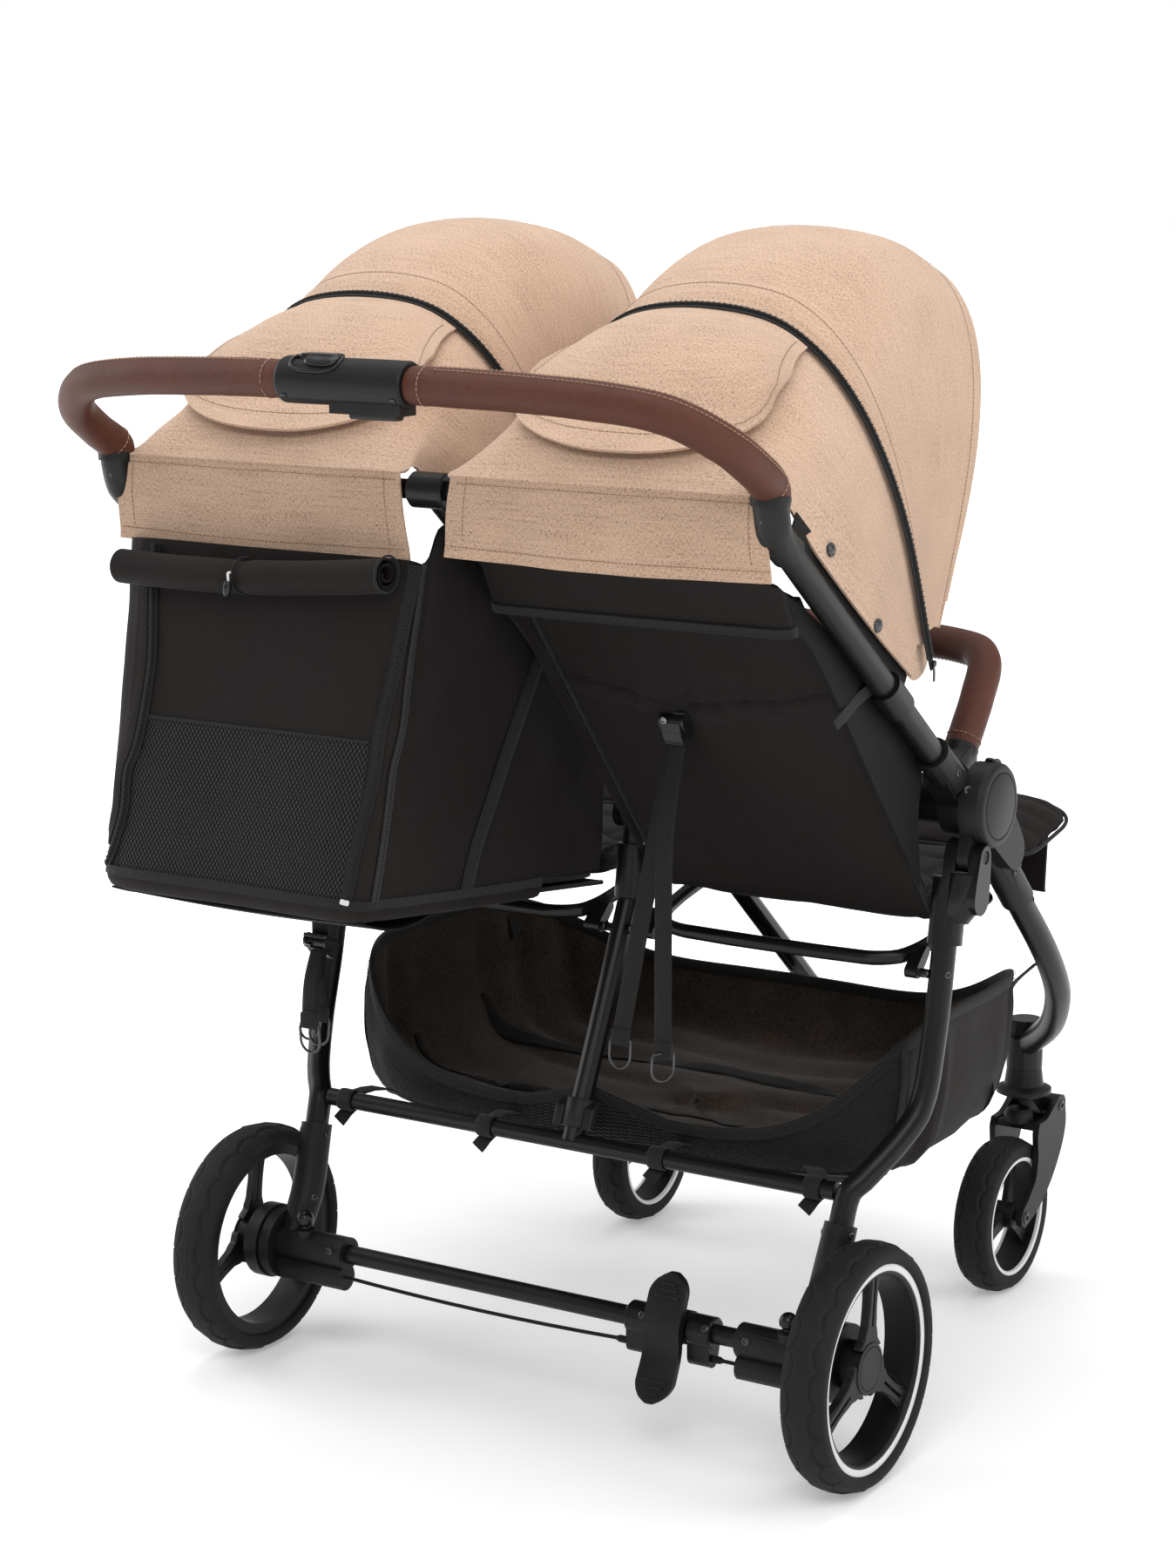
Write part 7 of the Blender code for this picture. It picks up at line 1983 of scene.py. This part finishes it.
def grip_path(sign):
    lean = math.radians(BRACKET_LEAN)

    def bracket(distance):
        return (0.352, BRACKET_TOP[0] + distance * math.sin(lean), BRACKET_TOP[1] + distance * math.cos(lean))

    marks = [bracket(0.0006), bracket(0.012), (0.353, 0.215, 0.968), (0.344, 0.252, 0.992),
             (0.308, 0.281, 1.016), (0.245, 0.293, 1.026), (0.15, 0.2975, 1.0305), (0.0666, 0.299, 1.032)]
    return smooth([at(sign * x, y, z) for x, y, z in marks], 16)


for sign, side in SIDES:
    path = grip_path(sign)
    ups = carried(path[::-1], (0, 0.15, 1))[::-1]
    leather_bar(f"grip_sleeve_{side}", f"grip_{side}", "handle_frame", path, ups, GRIP_R, math.radians(95))
    foot, above = path[0], path[6]
    axis = (above - foot).normalized()
    bm = turned([(-0.005, 0), (-0.005, GRIP_R + 0.0003), (0.0014, GRIP_R + 0.0012), (0.004, GRIP_R + 0.001),
                 (0.0048, GRIP_R - 0.001), (0.0048, 0)], foot, axis, 40)
    make(f"grip_cuff_{side}", bm, PLASTIC, 35, "handle_frame")
    outer = Vector((sign * 0.35, 0.93, -0.1)).normalized()
    start = foot + axis * 0.016 + outer * (GRIP_R + 0.0012)
    bm = rounded_block(None, start, (axis.cross(outer).normalized(), axis, outer), (0.0056, 0.008, 0.0026), 0.0007)
    make(f"grip_zip_slider_{side}", bm, DARK_STEEL, 35, "handle_frame")


def on_housing(x, turn, radius):
    """Place on the centre housing: turn in degrees from level, at its back, up to its top."""
    angle = math.radians(turn)
    return at(x, HANDLE_BACK[0] + radius * math.cos(angle), HANDLE_BACK[1] + radius * math.sin(angle))


def oval(x, half_x, turn, half_turn, radius):
    return [on_housing(x + half_x * bent(math.cos(a), 0.7), turn + half_turn * bent(math.sin(a), 0.7), radius)
            for a in turns(56)]


rim = oval(0.0262, 0.0255, 60, 34, HOUSING_R + 0.0004)
rim_ups = [(p - at(p.x, *HANDLE_BACK)).normalized() for p in rim]
cord("fold_slider_rim", rim, 0.0016, 8, rim_ups, GLOSS, body_of["handle_housing"], True)
rings = [oval(0.0205, 0.017 * scale, 62, 24 * scale, HOUSING_R + lift) for scale, lift in
         ((1.0, -0.001), (1.0, 0.0016), (0.93, 0.0028), (0.8, 0.0032), (0.4, 0.003), (0.02, 0.0029))]
make("fold_slider_button", loft(rings), GLOSS, 40, body_of["fold_slider"])
bm = bmesh.new()
for x in (-0.0575, 0.0575):
    screw(bm, on_housing(x, -40, HOUSING_R), (0, math.cos(math.radians(-40)), math.sin(math.radians(-40))), 0.0028)
make("handle_housing_screws", bm, DARK_STEEL, 35, body_of["handle_housing"])

half = [(0.317, -0.256, 0.655), (0.317, -0.29, 0.7), (0.308, -0.323, 0.733), (0.27, -0.343, 0.742),
        (0.16, -0.356, 0.745), (0.0, -0.36, 0.746)]
bumper_marks = [at(*p) for p in half] + [at(-x, y, z) for x, y, z in reversed(half[:-1])]
path = smooth(bumper_marks, 14)
middle = len(path) // 2
forward_ups = carried(path[middle:], (0, 0, 1))
backward_ups = carried(path[middle::-1], (0, 0, 1))[::-1]
leather_bar("bumper_sleeve", "bumper_bar", "bumper", path, backward_ups[:-1] + forward_ups, GRIP_R, math.radians(-90))
for sign, side in SIDES:
    bm = bmesh.new()
    ring = lens_ring(HINGE, 0.022, (-0.249, 0.648), 0.0145, 20)
    rings = [[at(sign * x, HINGE[0] + (a - HINGE[0]) * s, HINGE[1] + (b - HINGE[1]) * s) for a, b in ring]
             for x, s in ((0.304, 0.94), (0.3052, 0.99), (0.332, 0.99), (0.3334, 0.94))]
    loft(rings, bm)
    plug = path[0] if sign > 0 else path[-1]
    inward = (path[4] - path[0]).normalized() if sign > 0 else (path[-5] - path[-1]).normalized()
    turned([(-0.018, 0), (-0.018, 0.015), (-0.002, 0.0174), (0.003, 0.0176), (0.0042, 0.0168), (0.0042, 0)],
           plug, inward, 36, bm)
    make(f"bumper_plug_{side}", bm, PLASTIC, 35, "bumper")


# Shopping basket

BASKET_Y = -0.3
BASKET_HALF_Y = 0.2
LOW_BAR = (-0.0565, 0.2618)
BASKET_COLUMNS = 160
# Rows of the basket's cloth that its net band and its corner bindings reach down to
NET_ROWS = 18
CORNER_ROWS = 34


def basket_place(turn, scale, depth):
    """Place on the basket's inner cloth, by the turn about it and the depth from its rim (0) to its floor (1)."""
    c, s = math.cos(turn), math.sin(turn)
    x, y = bent(c, 0.42), bent(s, 0.42)
    front, back = max(0.0, -y), max(0.0, y)
    half_x = 0.326 - 0.062 * front ** 2
    sag = 0.036 - 0.022 * math.exp(-(x / 0.14) ** 2)
    rim = 0.32 + 0.084 * abs(x) ** 5 - back ** 4 * (1 - abs(x) ** 6) * sag + 0.014 * front * (1 - abs(x) ** 2)
    floor = 0.2415 + 0.012 * front
    z = rim + (floor - rim) * depth
    lean = 0.16 * (rim - z) * back
    return at(x * half_x * scale, BASKET_Y + y * BASKET_HALF_Y * scale + lean, z)


def basket_rows():
    marks = ((1.0, 0.0), (0.995, 0.3), (0.978, 0.62), (0.915, 0.9), (0.7, 1.0), (0.36, 1.03), (0.02, 1.04))
    profile = smooth([Vector((a, b, 0)) for a, b in marks], 6)
    return [[basket_place(turn, p.x, p.y) for turn in turns(BASKET_COLUMNS)] for p in profile]


def basket_fold(point, depth):
    """Height of the cloth's slack folds, which run across the floor and up the side walls."""
    x, y = point.x, point.y - AXLE_BACK
    side = min(1.0, abs(x) / 0.3)
    drift = noise.noise(Vector((x * 5, y * 7, 1.0)))
    phase = (y + 0.16 * abs(x) + 0.012 * drift) / 0.052
    ridge = (0.5 + 0.5 * math.cos(2 * math.pi * phase)) ** 2.2
    slack = noise.noise(Vector((x * 8, y * 8, 6.0))) * 0.004
    fine = noise.noise(Vector((x * 26, y * 26, point.z * 26))) * 0.001
    hold = min(1.0, depth / 0.25)
    return ((ridge - 0.4) * 0.0095 * (0.3 + 0.7 * side) + slack + fine) * hold


def shopping_basket():
    rows = basket_rows()
    count, quarter = BASKET_COLUMNS, BASKET_COLUMNS // 4
    centre = at(0, BASKET_Y, 0.42)
    normals = []
    for i, row in enumerate(rows):
        line = []
        for k, point in enumerate(row):
            a = row[(k + 1) % count] - row[k - 1]
            b = rows[min(i + 1, len(rows) - 1)][k] - rows[max(i - 1, 0)][k]
            normal = a.cross(b).normalized()
            line.append(normal if normal.dot(point - centre) > 0 else -normal)
        normals.append(line)
    last = len(rows) - 1
    rows = [[p + normals[i][k] * basket_fold(p, i / last * 2) * (1 if i < last - 3 else 0.3)
             for k, p in enumerate(row)] for i, row in enumerate(rows)]
    outer = [[p + normals[i][k] * 0.0028 for k, p in enumerate(row)] for i, row in enumerate(rows)]
    bm = bmesh.new()
    layer = bm.loops.layers.uv.verify()
    skins = []
    for grid, material in ((rows, 0), (outer, 1)):
        verts = [[bm.verts.new(p) for p in row] for row in grid]
        skins.append(verts)
        lengths = running([row[quarter] for row in grid])
        step = path_length(grid[0]) / count
        for face, i, k, j, _ in quads(bm, verts, True):
            net = math.sin(2 * math.pi * (k + 0.5) / count) > 0.45 and 1 <= i < NET_ROWS
            face.material_index = 2 if net else material
            lay(face, layer, k * step, (k + 1) * step, lengths[i], lengths[j])
        cap = bm.faces.new(verts[-1])
        cap.material_index = material
    for k in range(count):
        n = (k + 1) % count
        face = bm.faces.new((skins[0][0][k], skins[0][0][n], skins[1][0][n], skins[1][0][k]))
        face.material_index = 1
    tub = make("basket_cloth", bm, [MELANGE, BASKET_CLOTH, FINE_NET], 70, "chassis")
    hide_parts("basket")
    width = path_length(rows[10]) / 2
    length = max(path_length([row[k] for row in rows]) for k in (0, quarter)) * 2
    area = sum((near[(k + 1) % count] - near[k]).cross(far[k] - near[k]).length
               for near, far in zip(rows, rows[1:]) for k in range(count))
    rim = [outer[0][k].lerp(rows[0][k], 0.5) + Vector((0, 0, -0.0035)) for k in range(count)]
    sides = normals[0]
    tape("basket_rim_binding", rim, 0.0125, 0.0062, sides, BINDING, "chassis", True)
    back = [k for k, turn in enumerate(turns(count)) if math.sin(turn) > 0.42]
    tape("basket_back_binding", [outer[NET_ROWS][k] + normals[NET_ROWS][k] * 0.0004 for k in back], 0.008, 0.002,
         [normals[NET_ROWS][k] for k in back], BINDING, "chassis")
    for index, edge in enumerate((1, -1)):
        k = min(range(count), key=lambda j: abs(math.sin(2 * math.pi * j / count) - 0.45)
                + (0 if edge * math.cos(2 * math.pi * j / count) > 0 else 9))
        seam = [outer[i][k] + normals[i][k] * 0.0006 for i in range(CORNER_ROWS)]
        tape(f"basket_corner_binding_{index}", seam, 0.0075, 0.0022, [line[k] for line in normals[:CORNER_ROWS]],
             BINDING, "chassis")
    lines = []
    for shift in (-0.004, 0.004):
        line = [outer[0][k] + normals[0][k] * 0.0032 + Vector((0, 0, -0.0035 + shift)) for k in range(count)]
        lines.append((line + line[:1], sides + sides[:1]))
    stitches("basket_rim_stitches", lines, (0.0046, 0.003, 0.0004, 0.0003), GREY_TAPE, "chassis", 50)

    tree = surface_tree(rows, count)
    for index, (wide, y0, bend) in enumerate(((0.0095, -0.236, 0.03), (0.019, -0.366, 0.026))):
        line, ups = [], []
        for k in range(121):
            x = 0.313 - 0.626 * k / 120
            y = y0 - bend * (1 - (abs(x) / 0.313) ** 2) * 0.6
            place, normal, _, _ = tree.ray_cast(at(x, y, 0.6), Vector((0, 0, -1)))
            if place:
                up = normal if normal.z > 0 else -normal
                line.append(place + up * 0.0014)
                ups.append(up)
        tape(f"basket_floor_strap_{index}", line, wide, 0.0022, ups, BINDING, "chassis")


def around_bar(x, radius, first, last):
    points = []
    for k in range(15):
        turn = math.radians(first + (last - first) * k / 14)
        points.append(at(x, LOW_BAR[0] + radius * math.cos(turn), LOW_BAR[1] + radius * math.sin(turn)))
    return points


def flat_strap(name, points, width, thickness, steps):
    """Strap whose width lies across the object, along any path in its side plane."""
    path = smooth(points, steps)
    tape(name, path, width, thickness, side_ups(path), STRAP, "chassis")


shopping_basket()
for index, (x, basket_x) in enumerate(((0.272, 0.245), (0.1, 0.096), (-0.1, -0.104), (-0.272, -0.246))):
    wrap = around_bar(x, 0.0104, 150, -175)
    start = at(basket_x, -0.098, 0.266)
    flat_strap(f"basket_hold_strap_{index}", [start, start.lerp(wrap[0], 0.5) + Vector((0, 0, 0.0035))] + wrap,
               0.018, 0.0018, 2)
    end = wrap[-1]
    tail = [end + Vector(p) for p in ((0, 0.0006, 0.002), (0.001, 0.004, -0.008), (0.004, 0.011, -0.014),
                                      (0.009, 0.016, -0.022))]
    flat_strap(f"basket_strap_tail_{index}", tail, 0.017, 0.0016, 4)
for sign, side in SIDES:
    strap(f"basket_side_strap_{side}", [at(sign * 0.296, -0.41, 0.356), at(sign * 0.306, -0.41, 0.384),
                                        at(sign * 0.3325, -0.41, 0.4117)], 0.016, 0.002, (0.7 * sign, 0, -0.7),
          STRAP, "chassis", 5)
foot = at(0, -0.064, 0.274)
leg_axis = (at(0, -0.144, 0.462) - foot).normalized()
bm = turned([(0.0, 0), (0.0, 0.0142), (0.001, 0.015), (0.028, 0.0152), (0.029, 0.0144), (0.029, 0)], foot,
            leg_axis, 36)
for shift in (-1, 1):
    rounded_block(bm, foot + Vector((shift * 0.017, 0.004, 0.006)), (ACROSS, Vector((0, 0.94, -0.34)), leg_axis),
                  (0.01, 0.015, 0.021), 0.001)
make("centre_leg_clip", bm, PLASTIC, 40, "chassis")


# Recline straps, webbing and fasteners

def wire_loop(name, top, along, across, body):
    """Closed wire loop with a straight bar in the webbing and a round end."""
    points = []
    length, width = 0.027, 0.023
    half_w, straight = width / 2, length - width / 2
    for k in range(6):
        points.append(top + across * (half_w - 0.001 - (2 * half_w - 0.002) * k / 5))
    for k in range(1, 5):
        points.append(top - across * half_w + along * (straight * k / 4))
    for k in range(1, 14):
        turn = math.pi * k / 14
        points.append(top + along * (straight + half_w * math.sin(turn)) - across * half_w * math.cos(turn))
    for k in range(4, 0, -1):
        points.append(top + across * half_w + along * (straight * k / 4))
    flat = along.cross(across).normalized()
    cord(name, points, 0.0013, 10, flat, DARK_STEEL, body, True)


clip_out = Vector((0, 0.35, -0.94)).normalized()
clip_along = Vector((0, 0.94, 0.35)).normalized()
reclined = Board(1, polar(RECLINED_ANGLE, 0.0, BACK_ROOT), RECLINED_ANGLE)
root = reclined.place(0.186, 0.287, -(0.0113 - 0.0021))
left_base = root + Vector((0, 0, -0.05))
strap("recline_web_left", [root, root + Vector((0, 0.002, -0.02)), left_base + clip_out * 0.006], 0.019, 0.0018,
      (0, 1, 0), STRAP, "back_left", 5)
left_end = left_base + clip_out * 0.012
recline_clip("left", left_base, clip_along, clip_out, "back_left",
             [[left_end, left_end + Vector((-shift * 0.3, shift + lean * 0.3, -0.03)),
               left_end + Vector((-shift * 0.8, shift + lean, -0.066))]
              for shift, lean in ((0.004, 0.0), (0.0125, 0.018))])
for _, side in SIDES:
    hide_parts(f"recline_clip_{side}")
for index, (foot, lean) in enumerate(((left_end + Vector((-0.0032, 0.004, -0.068)), (0.02, 0.1, -1)),
                                      (left_end + Vector((-0.01, 0.0305, -0.068)), (-0.1, 0.05, -1)),
                                      (left_end + Vector((0.006, 0.004, -0.066)), (0.25, -0.05, -1)))):
    wire_loop(f"recline_loop_left_{index}", foot, Vector(lean).normalized(), ACROSS, "back_left")
for index, foot in enumerate((at(-0.1027, 0.0195, 0.3985), at(-0.1535, 0.0255, 0.3945))):
    across = ACROSS if index == 0 else Vector((0.55, 0.83, 0))
    wire_loop(f"recline_loop_right_{index}", foot, Vector((0.02, 0.05, -1)).normalized(), across, "back_right")

SCREWS = {
    "handle_frame": ((0.3683, -0.1473, 0.6553, (1, 0, 0), 0.0042),
                     (0.352, 0.1985, 0.923, (0.1, 0.94, -0.34), 0.004)),
    "chassis": ((0.37, -0.1652, 0.6367, (0.6, 0.8, 0.2), 0.0042), (0.3683, -0.2767, 0.5375, (1, 0, 0), 0.004),
                (0.365, -0.326, 0.4987, (1, 0, 0), 0.0036)),
    "rear_legs": ((0.3616, -0.1474, 0.4609, (0.81, 0.58, 0.11), 0.0036),
                  (0.2893, -0.0416, 0.2257, (-1, 0, 0.07), 0.0036),
                  (0.3203, -0.0394, 0.2272, (0.86, 0.49, 0.12), 0.0036),
                  (0.2863, -0.0143, 0.1661, (-0.86, 0.46, 0.22), 0.0038),
                  (0.242, 0.0212, 0.1268, (0, 0.98, 0.2), 0.004),
                  (0.015, -0.1441, 0.4618, (1, 0, 0), 0.005), (0.3403, -0.1434, 0.4602, (0, 0.92, 0.38), 0.0036))}
for body, places in SCREWS.items():
    bm = bmesh.new()
    for sign in (1, -1):
        for x, y, z, axis, radius in places:
            screw(bm, at(sign * x, y, z), (sign * axis[0], axis[1], axis[2]), radius)
    make(f"{body}_screws", bm, DARK_STEEL, 35, body)
for sign, side in SIDES:
    fork_bolts = bmesh.new()
    for out in (1, -1):
        hub_x = sign * FRONT_WHEEL[0]
        screw(fork_bolts, at(hub_x + out * 0.029, FRONT_WHEEL[1], FRONT_WHEEL[2]), (out, 0, 0), 0.0066, 0.0024)
        screw(fork_bolts, at(hub_x + out * 0.029, -0.652, 0.189), (out, 0, 0), 0.006, 0.002)
    make(f"fork_bolts_{side}", fork_bolts, DARK_STEEL, 35, body_of[f"fork_{side}"])
    cap = turned([(0, 0), (0, 0.0404), (0.018, 0.041), (0.0222, 0.0402), (0.0246, 0.0382), (0.0256, 0.035),
                  (0.0255, 0.0326), (0.0247, 0.0321), (0.0247, 0.0317), (0.0256, 0.0312), (0.0264, 0.029),
                  (0.0268, 0)], at(sign * 0.362, *HINGE), (sign, 0, 0), 96)
    make(f"hinge_cap_{side}", cap, PLASTIC, 30, body_of[f"hinge_housing_{side}"])
bm = bmesh.new()
for x in (-0.127, -0.1963):
    screw(bm, at(x, 0.0186, 0.1298), (0, 0.83, 0.56), 0.0042)
make("pedal_clamp_screws", bm, DARK_STEEL, 35, "rear_legs")


# Floor, light and camera

FLOOR_LIFT = 0.25
WORLD_LIGHT = 0.48
LAMPS = (
    ("key_left", (-1.6, 3.2, 3.4), 2.6, 2.0, 62.0),
    ("fill_right", (-3.4, -0.4, 2.2), 2.2, 2.4, 48.0),
    ("top_soft", (0.2, -0.3, 4.0), 3.0, 3.0, 60.0),
    ("rim_left", (3.2, 0.6, 2.0), 1.6, 2.6, 46.0),
)
CAMERA_PLACE = (-1.72438, 2.65719, 1.26144)
CAMERA_YAW = 32.152
CAMERA_PITCH = 11.257
FOCAL_PIXELS = 3896.54


def stage_scene():
    """Seamless pale floor, soft studio lamps and the photograph's camera."""
    floor_mesh = bpy.data.meshes.new("floor")
    floor_mesh.from_pydata([(-30, -30, 0), (30, -30, 0), (30, 30, 0), (-30, 30, 0)], [], [(0, 1, 2, 3)])
    placed("floor", floor_mesh)
    n = Nodes("pale_floor")
    grain = n.noise(n.coordinates(), 3.0, 2.0, 0.5)
    n.finish(n.ramp(grain, ((0.3, (0.86, 0.86, 0.86)), (0.7, (0.9, 0.9, 0.9)))), 0.75,
             n.bump(grain, 0.02, 0.001), Specular_IOR_Level=0.2)
    rays = n.add("ShaderNodeLightPath").outputs
    seen = n.math("MAXIMUM", rays["Is Camera Ray"], n.math("MAXIMUM", rays["Is Glossy Ray"],
                                                           rays["Is Transmission Ray"]))
    n.plug(n.shader.inputs["Emission Color"], (1.0, 1.0, 1.0, 1.0))
    away = n.add("ShaderNodeVectorMath", Vector=n.add("ShaderNodeTexCoord").outputs["Object"])
    away.operation = "LENGTH"
    lift = n.add("ShaderNodeMapRange", Value=away.outputs["Value"])
    for key, value in (("From Min", 0.7), ("From Max", 1.9), ("To Min", FLOOR_LIFT), ("To Max", 1.0)):
        lift.inputs[key].default_value = value
    n.plug(n.shader.inputs["Emission Strength"], n.math("MULTIPLY", seen, lift.outputs[0]))
    floor_mesh.materials.append(n.material)

    world = bpy.data.worlds.new("studio")
    bpy.context.scene.world = world
    world.use_nodes = True
    tree = world.node_tree
    background = tree.nodes["Background"]
    rays = tree.nodes.new("ShaderNodeLightPath").outputs
    seen = tree.nodes.new("ShaderNodeMath")
    seen.operation = "MAXIMUM"
    tree.links.new(rays["Is Camera Ray"], seen.inputs[0])
    tree.links.new(rays["Is Transmission Ray"], seen.inputs[1])
    strength = tree.nodes.new("ShaderNodeMapRange")
    tree.links.new(seen.outputs[0], strength.inputs["Value"])
    strength.inputs["To Min"].default_value = WORLD_LIGHT
    strength.inputs["To Max"].default_value = 1.0
    background.inputs["Color"].default_value = (1.0, 1.0, 1.0, 1.0)
    tree.links.new(strength.outputs[0], background.inputs["Strength"])

    target = Vector((0, 0, 0.6))
    for name, place, width, height, power in LAMPS:
        lamp = bpy.data.lights.new(name, "AREA")
        lamp.shape = "RECTANGLE"
        lamp.size = width
        lamp.size_y = height
        lamp.energy = power
        obj = placed(name, lamp)
        obj.location = place
        obj.rotation_euler = (target - Vector(place)).to_track_quat("-Z", "Y").to_euler()

    camera = bpy.data.cameras.new("camera")
    camera.sensor_fit = "VERTICAL"
    camera.sensor_height = 36.0
    camera.lens = 36.0 * FOCAL_PIXELS / 1800.0
    camera.clip_end = 100.0
    obj = placed("camera", camera)
    yaw, pitch = math.radians(CAMERA_YAW), math.radians(CAMERA_PITCH)
    direction = Vector((math.sin(yaw) * math.cos(pitch), -math.cos(yaw) * math.cos(pitch), -math.sin(pitch)))
    obj.location = at(*CAMERA_PLACE)
    obj.rotation_euler = direction.to_track_quat("-Z", "Y").to_euler()
    bpy.context.scene.camera = obj
    bpy.context.scene.view_settings.view_transform = "Standard"


stage_scene()
